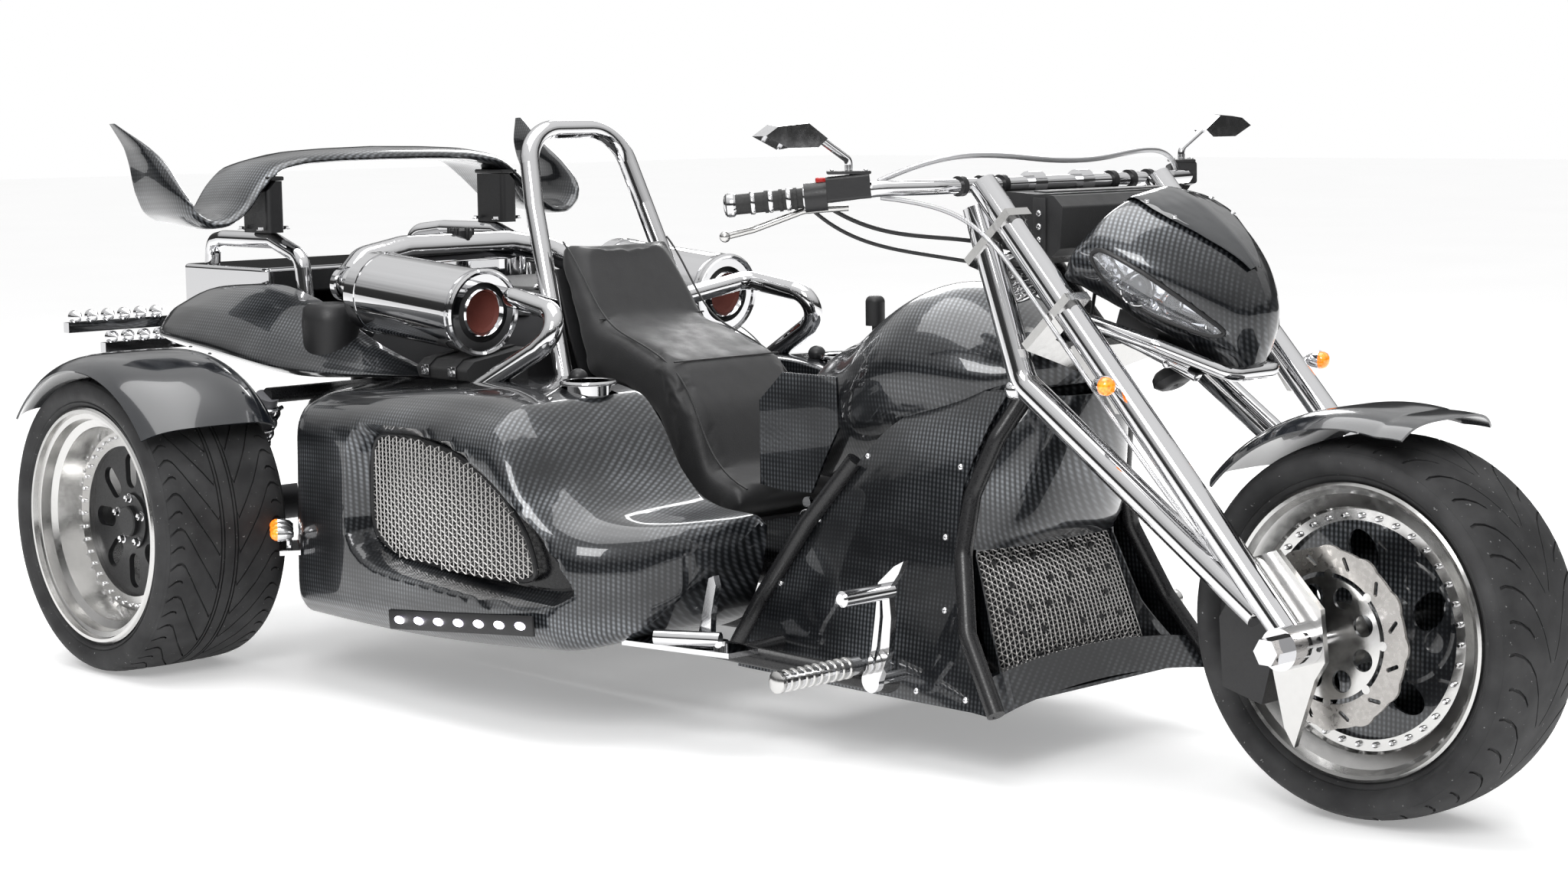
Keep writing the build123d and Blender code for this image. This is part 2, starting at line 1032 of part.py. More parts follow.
# Rear rims: a deep stepped dish with a bolted flange
rear_rim_outline = [(-rear_rim_half * w, rear_seat_radius * r) for w, r in rear_rim_shares]
with BuildPart() as rear_rim_right:
    add(turned(rear_axle_x, rear_axle_z, -rear_track_half, rear_rim_outline))
keep(rear_rim_right, "rear_rim_right")
with BuildPart() as rear_rim_left:
    mirror(rear_rim_right.part, about=Plane.XZ)
keep(rear_rim_left, "rear_rim_left")

# Rear wheel centres: dark discs with oval holes, hub and brake rotor
centre_back = -rear_track_half - centre_disc_face + centre_disc_thickness
with BuildPart() as rear_centre_right:
    with BuildSketch(Plane.XZ.offset(-centre_back)):
        with Locations((rear_axle_x, rear_axle_z)):
            Circle(centre_disc_radius)
            with PolarLocations(centre_hole_circle, centre_hole_count, rotate=True):
                SlotOverall(centre_hole_length, centre_hole_width, rotation=0, mode=Mode.SUBTRACT)
    extrude(amount=centre_disc_thickness)
    hub_depth = rear_hub_outer - rear_hub_inner
    with BuildSketch(Plane.XZ.offset(rear_track_half + rear_hub_outer)):
        with Locations((rear_axle_x, rear_axle_z)):
            Circle(rear_hub_radius)
    extrude(amount=-hub_depth)
    with BuildSketch(Plane.XZ.offset(rear_track_half + rear_hub_inner)):
        with Locations((rear_axle_x, rear_axle_z)):
            Circle(rear_rotor_radius)
    extrude(amount=rear_rotor_thickness)
    with BuildSketch(Plane.XZ.offset(rear_track_half + rear_hub_outer)):
        with Locations((rear_axle_x, rear_axle_z)):
            Circle(stub_radius + running_fit)
    extrude(amount=-hub_depth, mode=Mode.SUBTRACT)
    with BuildSketch(Plane.XZ.offset(rear_track_half + rear_hub_outer)):
        with Locations((rear_axle_x, rear_axle_z)):
            Circle(hub_cap_radius)
    extrude(amount=hub_cap_depth)
    chamfer(rear_centre_right.faces().sort_by(Axis.Y)[0].edges(), length=hub_cap_depth / 4)
keep(rear_centre_right, "rear_centre_right")
with BuildPart() as rear_centre_left:
    mirror(rear_centre_right.part, about=Plane.XZ)
keep(rear_centre_left, "rear_centre_left")

# Front tyre: a domed casing
front_depth = front_tyre_radius - front_seat_radius
front_half = front_tyre_width / 2
front_casing = [(front_half * w, front_seat_radius + front_depth * d) for w, d in doubled(front_wheel_shares)]
front_hollow = [(front_half * w, front_seat_radius + front_depth * d) for w, d in doubled(front_cavity_shares[::-1])]
front_section = front_casing + front_hollow[::-1]
with BuildPart() as front_tyre:
    add(turned(front_axle_x, front_axle_z, 0, front_section))
keep(front_tyre, "front_tyre")

# Front rim: bright lips with a bolted ring on both sides
front_rim_outline = [(front_rim_half * w, front_seat_radius * r) for w, r in front_rim_shares]
with BuildPart() as front_rim:
    add(turned(front_axle_x, front_axle_z, 0, front_rim_outline))
keep(front_rim, "front_rim")

# Front wheel discs: carbon-look plates with teardrop openings on a common hub
with BuildPart() as front_disc_plates:
    with BuildSketch(Plane.XZ.offset(front_disc_face - front_disc_thickness)):
        with Locations((front_axle_x, front_axle_z)):
            Circle(front_disc_radius)
            Circle(front_hub_radius + touch_gap, mode=Mode.SUBTRACT)
            with PolarLocations(front_hole_circle, front_disc_holes, start_angle=20):
                Ellipse(front_disc_radius * disc_hole_long_share, front_disc_radius * disc_hole_wide_share, rotation=30, mode=Mode.SUBTRACT)
    extrude(amount=front_disc_thickness - touch_gap)
    mirror(about=Plane.XZ)
keep(front_disc_plates, "front_disc_plates")

with BuildPart() as front_hub:
    with BuildSketch(Plane.XZ.offset(-front_hub_half)):
        with Locations((front_axle_x, front_axle_z)):
            Circle(front_hub_radius)
            Circle(front_axle_radius + running_fit, mode=Mode.SUBTRACT)
    extrude(amount=2 * front_hub_half)

# Front brake rotors: wavy rings with slots, notched for the bobbins
rotor_face = rotor_offset - rotor_thickness / 2
with BuildPart() as brake_rotors:
    with BuildSketch(Plane.XZ.offset(rotor_face)):
        with Locations((front_axle_x, front_axle_z)):
            Circle(rotor_radius - rotor_petal_depth)
            with PolarLocations(rotor_radius * petal_circle_share, rotor_petals):
                Circle(rotor_radius * petal_share)
            Circle(rotor_inner_radius, mode=Mode.SUBTRACT)
            with PolarLocations(bobbin_circle, bobbin_count):
                Circle(bobbin_radius + touch_gap, mode=Mode.SUBTRACT)
            with PolarLocations(rotor_radius * slot_circle_share, rotor_slots, start_angle=15):
                SlotOverall(rotor_radius * slot_length_share, rotor_radius * slot_width_share, rotation=40, mode=Mode.SUBTRACT)
    extrude(amount=rotor_thickness)
    mirror(about=Plane.XZ)
keep(brake_rotors, "brake_rotors")

# Rotor carriers: dark spiders with round windows and bobbins, on the hub's ends
carrier_depth = rotor_offset + rotor_thickness / 2 - front_hub_half
with BuildPart() as rotor_carriers:
    with BuildSketch(Plane.XZ.offset(front_hub_half)):
        with Locations((front_axle_x, front_axle_z)):
            Circle(carrier_inner_radius)
            Circle(front_axle_radius + running_fit, mode=Mode.SUBTRACT)
    extrude(amount=carrier_depth)
    with BuildSketch(Plane.XZ.offset(rotor_face)):
        with Locations((front_axle_x, front_axle_z)):
            Circle(carrier_radius)
            Circle(carrier_inner_radius / 2, mode=Mode.SUBTRACT)
            with PolarLocations(carrier_window_circle, carrier_windows, start_angle=22.5):
                Circle(carrier_window_radius, mode=Mode.SUBTRACT)
            with PolarLocations(bobbin_circle, bobbin_count):
                Circle(bobbin_radius)
    extrude(amount=rotor_thickness)
    mirror(about=Plane.XZ)
    add(front_hub.part)
keep(rotor_carriers, "front_hub")

# Fork: on each side a straight front leg and a bent rear leg that meet at the axle boss
front_leg = [(leg_top_x, -leg_track_half, leg_top_z), (front_axle_x, -leg_track_half, front_axle_z)]
rear_leg_run = [(leg_top_x + leg_run * x, -leg_track_half, leg_top_z - leg_drop * z) for x, z in rear_leg_shares]
front_leg_bar = rail(front_leg, leg_radius, rear_leg_bend)
rear_leg_bar = rail(rear_leg_run, leg_radius, rear_leg_bend)
with BuildPart() as fork_right:
    add(front_leg_bar)
    add(rear_leg_bar)
    with BuildSketch(Plane.XZ.offset(axle_boss_inner)):
        with Locations((front_axle_x, front_axle_z)):
            Circle(axle_boss_radius)
    extrude(amount=axle_boss_outer - axle_boss_inner)
    with BuildSketch(Plane.XZ.offset(axle_boss_inner - overrun)):
        with Locations((front_axle_x, front_axle_z)):
            Circle(front_axle_radius + touch_gap)
    extrude(amount=axle_boss_outer - axle_boss_inner + 2 * overrun, mode=Mode.SUBTRACT)
keep(fork_right, "fork_right")
with BuildPart() as fork_left:
    mirror(fork_right.part, about=Plane.XZ)
keep(fork_left, "fork_left")

# Front axle with a cap nut at each end
with BuildPart() as front_axle:
    with BuildSketch(Plane.XZ.offset(-axle_cap_end)):
        with Locations((front_axle_x, front_axle_z)):
            Circle(front_axle_radius)
    extrude(amount=2 * axle_cap_end)
    with BuildSketch(Plane.XZ.offset(axle_boss_outer)):
        with Locations((front_axle_x, front_axle_z)):
            RegularPolygon(axle_cap_radius, 6)
    extrude(amount=axle_cap_end - axle_boss_outer)
    with BuildSketch(Plane.XZ.offset(-axle_boss_outer)):
        with Locations((front_axle_x, front_axle_z)):
            RegularPolygon(axle_cap_radius, 6)
    extrude(amount=axle_boss_outer - axle_cap_end)
keep(front_axle, "front_axle")

# Caliper brackets: fin-shaped plates on the axle, between hub and boss
plate_points = scaled((front_axle_x, front_axle_z), (caliper_plate_reach, caliper_plate_reach), caliper_plate_shares)
with BuildPart() as caliper_brackets:
    with BuildSketch(Plane.XZ.offset(axle_boss_inner - touch_gap)):
        Polygon(*plate_points, align=None)
        with Locations((front_axle_x, front_axle_z)):
            Circle(axle_boss_radius)
            Circle(front_axle_radius + touch_gap, mode=Mode.SUBTRACT)
    extrude(amount=-caliper_plate_thickness)
    mirror(about=Plane.XZ)
keep(caliper_brackets, "caliper_brackets")

# Calipers straddle the rotors' rear edge and are carried by the bracket plates
block_points = scaled((front_axle_x, front_axle_z), (caliper_plate_reach, caliper_plate_reach), caliper_block_shares)
caliper_outer = axle_boss_inner - touch_gap - caliper_plate_thickness
with BuildPart() as calipers:
    with BuildSketch(Plane.XZ.offset(caliper_outer)):
        Polygon(*block_points, align=None)
    extrude(amount=-caliper_width)
    with BuildSketch(Plane.XZ.offset(rotor_offset + rotor_thickness * caliper_gap_share)):
        with Locations((front_axle_x, front_axle_z)):
            Circle(rotor_radius + rotor_thickness * caliper_gap_share)
    extrude(amount=-rotor_thickness * 3, mode=Mode.SUBTRACT)
    mirror(about=Plane.XZ)
keep(calipers, "calipers")

# Yokes: two plates across the steering axis that join the stem and both legs
leg_ahead = (leg_top_x - steer_x) * math.cos(math.radians(rake_angle)) + (leg_top_z - steer_z) * math.sin(math.radians(rake_angle))
yoke_edge = leg_radius + yoke_thickness / 4
yoke_side = [
    (-yoke_boss_radius, yoke_boss_radius),
    (leg_ahead * yoke_back_share, leg_track_half * yoke_waist_share),
    (leg_ahead * yoke_side_share, leg_track_half + yoke_edge),
    (leg_ahead + yoke_edge, leg_track_half + yoke_edge),
    (leg_ahead + yoke_edge, leg_track_half - yoke_edge),
    (leg_ahead * yoke_middle_share, leg_track_half - yoke_edge),
    (leg_ahead * yoke_front_share, leg_track_half * yoke_waist_share),
]
yoke_points = yoke_side + [(x, -y) for x, y in yoke_side[::-1]]
with BuildPart() as yokes:
    for along in [stem_top - yoke_thickness / 2, stem_bottom + yoke_thickness / 2]:
        with BuildSketch(steering_plane(along)):
            Polygon(*yoke_points, align=None)
        extrude(amount=yoke_thickness / 2, both=True)
    with BuildSketch(steering_plane(stem_bottom)):
        Circle(stem_radius)
    extrude(amount=stem_bottom - stem_top)
    add(fork_right.part, mode=Mode.SUBTRACT)
    add(fork_left.part, mode=Mode.SUBTRACT)
keep(yokes, "yokes")

# Gussets: shaped plates that stand between each pair of legs and carry the front blinkers
gusset_points = scaled((steer_x, steer_z), (leg_track_half + leg_radius * 2, leg_track_half + leg_radius * 2), gusset_shares)
with BuildPart() as gussets:
    with BuildSketch(Plane.XZ.offset(leg_track_half + gusset_thickness / 2)):
        Polygon(*gusset_points, align=None)
    extrude(amount=-gusset_thickness)
    add(fork_right.part, mode=Mode.SUBTRACT)
    mirror(about=Plane.XZ)
keep(gussets, "fork_gussets")

# Front blinkers on the gussets
with BuildPart() as front_blinkers:
    with BuildSketch(Plane.YZ.offset(blinker_x)):
        with Locations((-blinker_y, blinker_z)):
            Circle(blinker_radius)
    extrude(amount=blinker_length)
    with BuildSketch(Plane.XZ.offset(leg_track_half + gusset_thickness / 2)):
        with Locations((blinker_x + blinker_length / 3, blinker_z)):
            Circle(blinker_radius / 3)
    extrude(amount=blinker_y - leg_track_half - gusset_thickness / 2)
    add(fork_right.part, mode=Mode.SUBTRACT)
    mirror(about=Plane.XZ)
keep(front_blinkers, "front_blinkers")

# Handlebar: a straight centre that sweeps back to the grips, on two risers from the top yoke
bar_points_right = scaled((bar_x, 0, bar_z), (-bar_sweep, bar_half, -bar_drop), bar_shares)
bar_points = [(x, -y, z) for x, y, z in bar_points_right[:0:-1]] + bar_points_right[1:]
bar_tube = rail(bar_points, bar_radius, bar_bend)
with BuildPart() as handlebar:
    add(bar_tube)

# Risers clamp the bar to the top yoke
top_plane = steering_plane(stem_top - yoke_thickness)
riser_foot = [(bar_x + riser_radius * riser_set_share, y, steer_z + (bar_z - steer_z) / 3) for y in (-riser_half, riser_half)]
riser_bars = [rail([(x, y, z), (bar_x, y, bar_z)], riser_radius, 0) for x, y, z in riser_foot]
with BuildPart() as risers:
    for piece in riser_bars:
        add(piece)
    with BuildSketch(top_plane):
        Rectangle(overrun * 20, overrun * 20)
    extrude(amount=-overrun * 5, mode=Mode.SUBTRACT)
    for riser_y in (-riser_half, riser_half):
        with BuildSketch(Plane.XZ.offset(-riser_y - riser_radius)):
            with Locations((bar_x, bar_z)):
                Circle(bar_radius + riser_radius / 2)
        extrude(amount=riser_radius * 2)
    add(handlebar.part)
keep(risers, "handlebar")

# Fork bag: a leather roll strapped under the bar, with its flap over the top
bag_points = scaled((bag_rear_x, bag_bottom_z), (bag_length, bag_height), bag_shares)
with BuildPart() as fork_bag:
    with BuildSketch(Plane.XZ):
        Polygon(*bag_points, align=None)
    extrude(amount=bag_half, both=True)
    fillet(fork_bag.edges().filter_by(Axis.Y).sort_by(Axis.X)[-4:], radius=bag_edge)
    add(risers.part, mode=Mode.SUBTRACT)
    add(yokes.part, mode=Mode.SUBTRACT)
keep(fork_bag, "fork_bag")

# Grips: ribbed sleeves on the bar's ends with an end cap
grip_end = bar_points_right[-1]
grip_from = bar_points_right[-2]
grip_vector = Vector(*grip_end) - Vector(*grip_from)
grip_unit = grip_vector.normalized()
grip_start = Vector(*grip_end) - grip_unit * grip_length
grip_plane = Plane(origin=grip_start, z_dir=grip_unit)
with BuildPart() as grips:
    with BuildSketch(grip_plane):
        Circle(grip_radius)
    extrude(amount=grip_length + grip_ring_width)
    for ring_number in range(grip_ring_count):
        with BuildSketch(grip_plane.offset(grip_ring_pitch * (ring_number + 0.5))):
            Circle(grip_ring_radius)
        extrude(amount=grip_ring_width)
    with BuildSketch(grip_plane.offset(grip_length)):
        Circle(grip_ring_radius)
    extrude(amount=grip_ring_width * 2)
    with BuildSketch(grip_plane):
        Circle(bar_radius + touch_gap)
    extrude(amount=grip_length + touch_gap, mode=Mode.SUBTRACT)
    mirror(about=Plane.XZ)
keep(grips, "grips")

# Switch housings inboard of the grips
switch_plane = grip_plane.offset(-switch_length - touch_gap)
with BuildPart() as switches:
    with BuildSketch(switch_plane):
        Circle(switch_radius)
        Circle(bar_radius + touch_gap, mode=Mode.SUBTRACT)
    extrude(amount=switch_length)
    add(handlebar.part, mode=Mode.SUBTRACT)
    mirror(about=Plane.XZ)

# Master cylinders: boxes on the bar's front, with the lever brackets
box_plane = Plane(origin=switch_plane.origin - grip_unit * (cylinder_box_length + touch_gap), z_dir=grip_unit, x_dir=(0, 0, 1))
with BuildPart() as master_cylinders:
    with BuildSketch(box_plane):
        with Locations((cylinder_box_height / 4, 0)):
            RectangleRounded(cylinder_box_height, cylinder_box_width, cylinder_box_height / 8)
        Circle(bar_radius + touch_gap, mode=Mode.SUBTRACT)
    extrude(amount=cylinder_box_length)
    add(handlebar.part, mode=Mode.SUBTRACT)
    mirror(about=Plane.XZ)
with BuildPart() as bar_controls:
    add(switches.part)
    add(master_cylinders.part)
keep(bar_controls, "bar_controls")

# Levers: curved blades with ball ends, pivoted under the cylinder boxes
lever_reach = 140.0
lever_span = 190.0
lever_fall = 45.0
lever_pivot_x = 622.0
lever_pivot_y = 450.0
lever_pivot_z = 1040.0
lever_points = scaled((lever_pivot_x, lever_pivot_y, lever_pivot_z), (-lever_reach, lever_span, -lever_fall), lever_shares)
lever_bar = rail(lever_points, lever_thickness, lever_thickness * 4)
with BuildPart() as levers:
    add(lever_bar)
    with Locations(lever_points[-1]):
        Sphere(lever_ball_radius)
    add(master_cylinders.part, mode=Mode.SUBTRACT)
    add(switches.part, mode=Mode.SUBTRACT)
    mirror(about=Plane.XZ)
keep(levers, "levers")

# Mirrors: a stem from each cylinder box and a diamond-shaped head
stem_foot = switch_plane.origin - grip_unit * (cylinder_box_length / 2) + Vector(0, 0, cylinder_box_height * stem_rise_share + touch_gap)
mirror_top = stem_foot + Vector(0, mirror_rise * mirror_top_shares[0], mirror_rise * mirror_top_shares[1])
mirror_run = [tuple(stem_foot), tuple(stem_foot + Vector(0, 0, mirror_rise * mirror_bend_share)), tuple(mirror_top)]
mirror_stem = rail(mirror_run, mirror_stem_radius, mirror_stem_radius * 2)
mirror_head_plane = Plane(origin=mirror_top, x_dir=(0, 1, 0), z_dir=(1, 0, 0))
with BuildPart() as mirrors:
    add(mirror_stem)
    with BuildSketch(mirror_head_plane.offset(-mirror_depth / 2)):
        Polygon(*[(mirror_length * x, mirror_height * z) for x, z in mirror_shares], align=None)
    extrude(amount=mirror_depth, taper=8)
    add(master_cylinders.part, mode=Mode.SUBTRACT)
    mirror(about=Plane.XZ)
keep(mirrors, "mirrors")

# Nacelle: a hollow faceted shell, its three outlines crossed, open at the rear
nacelle_base = (nacelle_rear_x, nacelle_bottom_z)
nacelle_side = scaled(nacelle_base, (nacelle_length, nacelle_height), nacelle_side_shares)
nacelle_plan = scaled((nacelle_rear_x, 0), (nacelle_length, nacelle_half), nacelle_plan_shares)
nacelle_front = scaled((0, nacelle_bottom_z), (nacelle_half, nacelle_height), nacelle_front_shares)
with BuildPart() as nacelle_inner:
    with BuildSketch(Plane.XZ):
        Polygon(*nacelle_side, align=None)
        offset(amount=-nacelle_wall, kind=Kind.INTERSECTION)
    extrude(amount=nacelle_half, both=True)
    with BuildSketch(Plane.XY):
        Polygon(*nacelle_plan, align=None)
        offset(amount=-nacelle_wall, kind=Kind.INTERSECTION)
    extrude(amount=nacelle_bottom_z + nacelle_height + overrun, mode=Mode.INTERSECT)
    with BuildSketch(Plane.YZ):
        Polygon(*nacelle_front, align=None)
        offset(amount=-nacelle_wall, kind=Kind.INTERSECTION)
    extrude(amount=nacelle_rear_x + nacelle_length + overrun, mode=Mode.INTERSECT)
nacelle_lamps = scaled(nacelle_base, (nacelle_length, nacelle_height), lamp_shares)
with BuildPart() as nacelle_outer:
    with BuildSketch(Plane.XZ):
        Polygon(*nacelle_side, align=None)
    extrude(amount=nacelle_half, both=True)
    with BuildSketch(Plane.XY):
        Polygon(*nacelle_plan, align=None)
    extrude(amount=nacelle_bottom_z + nacelle_height + overrun, mode=Mode.INTERSECT)
    with BuildSketch(Plane.YZ):
        Polygon(*nacelle_front, align=None)
    extrude(amount=nacelle_rear_x + nacelle_length + overrun, mode=Mode.INTERSECT)
with BuildPart() as nacelle:
    add(nacelle_outer.part)
    add(nacelle_inner.part, mode=Mode.SUBTRACT)
    with BuildSketch(Plane.XZ):
        Polygon(*nacelle_lamps, align=None)
    extrude(amount=nacelle_half, both=True, mode=Mode.SUBTRACT)
    with BuildSketch(Plane.XZ.offset(leg_track_half)):
        with Locations((stay_x, stay_z)):
            Circle(stay_radius)
    extrude(amount=stay_reach - leg_track_half)
    with BuildSketch(Plane.XZ.offset(-leg_track_half)):
        with Locations((stay_x, stay_z)):
            Circle(stay_radius)
    extrude(amount=leg_track_half - stay_reach)
    add(fork_right.part, mode=Mode.SUBTRACT)
    add(fork_left.part, mode=Mode.SUBTRACT)
keep(nacelle, "nacelle")

# Headlamps: clear lenses that fill the openings in the nacelle's sides
with BuildPart() as headlamps:
    add(nacelle_outer.part)
    with BuildSketch(Plane.XZ):
        Polygon(*nacelle_lamps, align=None)
        offset(amount=-touch_gap, kind=Kind.INTERSECTION)
    extrude(amount=nacelle_half, both=True, mode=Mode.INTERSECT)
    add(nacelle_inner.part, mode=Mode.SUBTRACT)
keep(headlamps, "headlamps")

# Chin bar: a bright tube in a vee under the nacelle
chin_points = scaled((nacelle_rear_x, 0, nacelle_bottom_z), (nacelle_length, nacelle_half, nacelle_height), chin_shares)
chin_tube = rail(chin_points, chin_radius, chin_bend)
with BuildPart() as chin_bar:
    add(chin_tube)
    add(nacelle_outer.part, mode=Mode.SUBTRACT)
keep(chin_bar, "chin_bar")

# Front mudguard: a skirted arc over the tyre's rear
guard_inner = front_tyre_radius + front_guard_gap
guard_section = [
    (-front_guard_half, guard_inner - front_guard_skirt),
    (-front_guard_half, guard_inner),
    (-front_guard_half * guard_crown_share, guard_inner + front_guard_thickness),
    (front_guard_half * guard_crown_share, guard_inner + front_guard_thickness),
    (front_guard_half, guard_inner),
    (front_guard_half, guard_inner - front_guard_skirt),
    (front_guard_half - front_guard_thickness, guard_inner - front_guard_skirt),
    (front_guard_half - front_guard_thickness, guard_inner - front_guard_thickness),
    (front_guard_thickness - front_guard_half, guard_inner - front_guard_thickness),
    (front_guard_thickness - front_guard_half, guard_inner - front_guard_skirt),
]
guard_start = math.radians(front_guard_start)
guard_plane = Plane(origin=(front_axle_x, 0, front_axle_z), x_dir=(0, 1, 0), z_dir=(math.sin(guard_start), 0, -math.cos(guard_start)))
with BuildPart() as front_mudguard:
    with BuildSketch(guard_plane):
        Polygon(*guard_section, align=None)
    revolve(axis=Axis((front_axle_x, 0, front_axle_z), (0, 1, 0)), revolution_arc=-front_guard_arc)
    for guard_side in (-1, 1):
        with BuildSketch(Plane.XZ.offset(guard_side * leg_track_half)):
            with Locations((guard_stay_x, guard_stay_z)):
                Circle(guard_stay_radius)
        extrude(amount=guard_side * (front_guard_half - leg_track_half - front_guard_thickness / 2))
    add(fork_right.part, mode=Mode.SUBTRACT)
    add(fork_left.part, mode=Mode.SUBTRACT)
keep(front_mudguard, "front_mudguard")

# Head tube on the frame, round the stem
with BuildPart() as frame_neck:
    with BuildSketch(steering_plane(stem_bottom - touch_gap)):
        Circle(head_tube_radius)
    extrude(amount=stem_bottom - stem_top - 2 * touch_gap)

# Main frame: backbone, lower and upper rails, cross tubes and the axle beam
frame_origin = (rear_axle_x, 0, frame_bottom)
frame_size = (frame_length, frame_half, frame_height)
backbone_bar = rail(scaled(frame_origin, frame_size, backbone_shares), frame_radius, frame_bend)
lower_points = scaled(frame_origin, frame_size, lower_rail_shares)
upper_points = scaled(frame_origin, frame_size, upper_rail_shares)
lower_bar = rail(lower_points, frame_radius, frame_bend)
upper_bar = rail(upper_points, frame_radius, frame_bend)
backbone_points = scaled(frame_origin, frame_size, backbone_shares)
foot_bar = rail([backbone_points[-1], (lower_points[1][0], 0, lower_points[1][2])], frame_radius, frame_bend)
side_points = scaled(frame_origin, frame_size, side_rail_shares)
side_bar = rail(side_points, side_rail_radius, side_rail_bend)
step_bar = rail([side_points[1], (side_points[1][0], 0, lower_points[1][2])], side_rail_radius * step_bar_share, 0)
post_bar = rail([lower_points[-1], (lower_points[-1][0], lower_points[-1][1], upper_points[-2][2])], frame_radius, frame_bend)
with BuildPart() as main_frame:
    add(frame_neck.part)
    add(backbone_bar)
    add(foot_bar)
    for piece in (lower_bar, upper_bar, post_bar, side_bar, step_bar):
        add(piece)
        mirror(piece, about=Plane.XZ)
    for point in lower_points[:4]:
        with BuildSketch(Plane.XZ.offset(point[1])):
            with Locations((point[0], point[2])):
                Circle(frame_radius)
        extrude(amount=-2 * point[1])
    for point in upper_points[3:]:
        with BuildSketch(Plane.XZ.offset(point[1])):
            with Locations((point[0], point[2])):
                Circle(frame_radius)
        extrude(amount=-2 * point[1])
    with BuildSketch(steering_plane(stem_bottom + yoke_thickness)):
        Circle(stem_radius + running_fit)
    extrude(amount=stem_bottom - stem_top + 2 * yoke_thickness, mode=Mode.SUBTRACT)
    with BuildSketch(Plane.XZ.offset(-shock_y)):
        with Locations((shock_head_x, shock_head_z)):
            Circle(outrigger_radius)
    extrude(amount=2 * shock_y)
keep(main_frame, "main_frame")

# Rear axle: gearbox, beam tubes and the stubs that the wheels turn on
with BuildPart() as rear_axle:
    with BuildSketch(Plane.XZ.offset(-axle_beam_half)):
        with Locations((rear_axle_x, rear_axle_z)):
            Circle(axle_beam_radius)
    extrude(amount=2 * axle_beam_half)
    with BuildSketch(Plane.XZ.offset(-gearbox_half)):
        with Locations((rear_axle_x, rear_axle_z)):
            Circle(gearbox_radius)
    extrude(amount=2 * gearbox_half)
    stub_end = rear_track_half + rear_hub_outer - touch_gap
    with BuildSketch(Plane.XZ.offset(-stub_end)):
        with Locations((rear_axle_x, rear_axle_z)):
            Circle(stub_radius)
    extrude(amount=2 * stub_end)
    add(main_frame.part, mode=Mode.SUBTRACT)
keep(rear_axle, "rear_axle")

# Engine: block and sump, with two banks set on its slopes
block_points = scaled((0, engine_bottom_z), (engine_half, engine_height), block_shares)
bank_points = scaled((0, engine_bottom_z), (engine_half, engine_height), bank_shares)
with BuildPart() as engine:
    with BuildSketch(Plane.YZ.offset(engine_rear_x)):
        Polygon(*block_points, align=None)
    extrude(amount=engine_length)
    with BuildSketch(Plane.YZ.offset(engine_rear_x + touch_gap)):
        Polygon(*bank_points, align=None)
        Polygon(*[(-y, z) for y, z in bank_points[::-1]], align=None)
    extrude(amount=engine_length - 2 * touch_gap)
    with BuildSketch(Plane.YZ.offset(engine_rear_x + sump_inset)):
        with Locations((0, engine_bottom_z + sump_height / 2)):
            RectangleRounded(sump_width, sump_height + overrun, sump_corner)
    extrude(amount=engine_length - 2 * sump_inset)
    add(main_frame.part, mode=Mode.SUBTRACT)
    add(rear_axle.part, mode=Mode.SUBTRACT)
keep(engine, "engine")

# Engine cover: a rounded lid between the banks
cover_base = engine_bottom_z + engine_height * cover_level_share + touch_gap
with BuildPart() as engine_cover:
    with BuildSketch(Plane.XY.offset(cover_base)):
        with Locations((engine_rear_x + engine_length * cover_place_share, 0)):
            RectangleRounded(engine_cover_length, engine_cover_half * 2, engine_cover_half / 3)
    extrude(amount=engine_cover_height, taper=12)
    fillet(engine_cover.faces().sort_by(Axis.Z)[-1].edges(), radius=engine_cover_height / 5)
keep(engine_cover, "engine_cover")

# Air cans: open-mouthed cylinders beside the engine, with a gauze core inside
can_line = Vector(can_front_x - can_rear_x, 0, can_front_z - can_rear_z)
can_length = can_line.length
can_plane = Plane(origin=(can_rear_x, -can_y, can_rear_z), z_dir=can_line.normalized())
with BuildPart() as air_cans:
    with BuildSketch(can_plane):
        Circle(can_radius)
    extrude(amount=can_length)
    chamfer(air_cans.edges().filter_by(GeomType.CIRCLE), length=can_wall * 2)
    with BuildSketch(can_plane.offset(can_length)):
        Circle(can_radius * can_mouth_share)
    extrude(amount=-can_mouth_depth, mode=Mode.SUBTRACT)
    with BuildSketch(can_plane.offset(can_length - can_mouth_depth)):
        Circle(can_core_radius)
        Circle(can_core_radius - can_wall, mode=Mode.SUBTRACT)
    extrude(amount=can_mouth_depth * can_core_share)
    mirror(about=Plane.XZ)
keep(air_cans, "air_cans")

# Cross pipe: joins both cans over the engine's rear
pipe_points = scaled((cross_pipe_x, 0, cross_pipe_z), (cross_pipe_reach, can_y, cross_pipe_rise), cross_pipe_shares)
pipe_tube = rail(pipe_points, pipe_radius, cross_pipe_bend)
with BuildPart() as cross_pipe:
    add(pipe_tube)
    for foot_y in (-engine_half * foot_place_share, engine_half * foot_place_share):
        with BuildSketch(Plane.XY.offset(engine_bottom_z + engine_height * foot_level_share)):
            with Locations((pipe_points[3][0], foot_y)):
                Circle(pipe_radius * foot_bore_share)
        extrude(amount=pipe_points[3][2] - engine_bottom_z - engine_height * foot_level_share)
    add(engine.part, mode=Mode.SUBTRACT)
    add(air_cans.part, mode=Mode.SUBTRACT)
keep(cross_pipe, "cross_pipe")

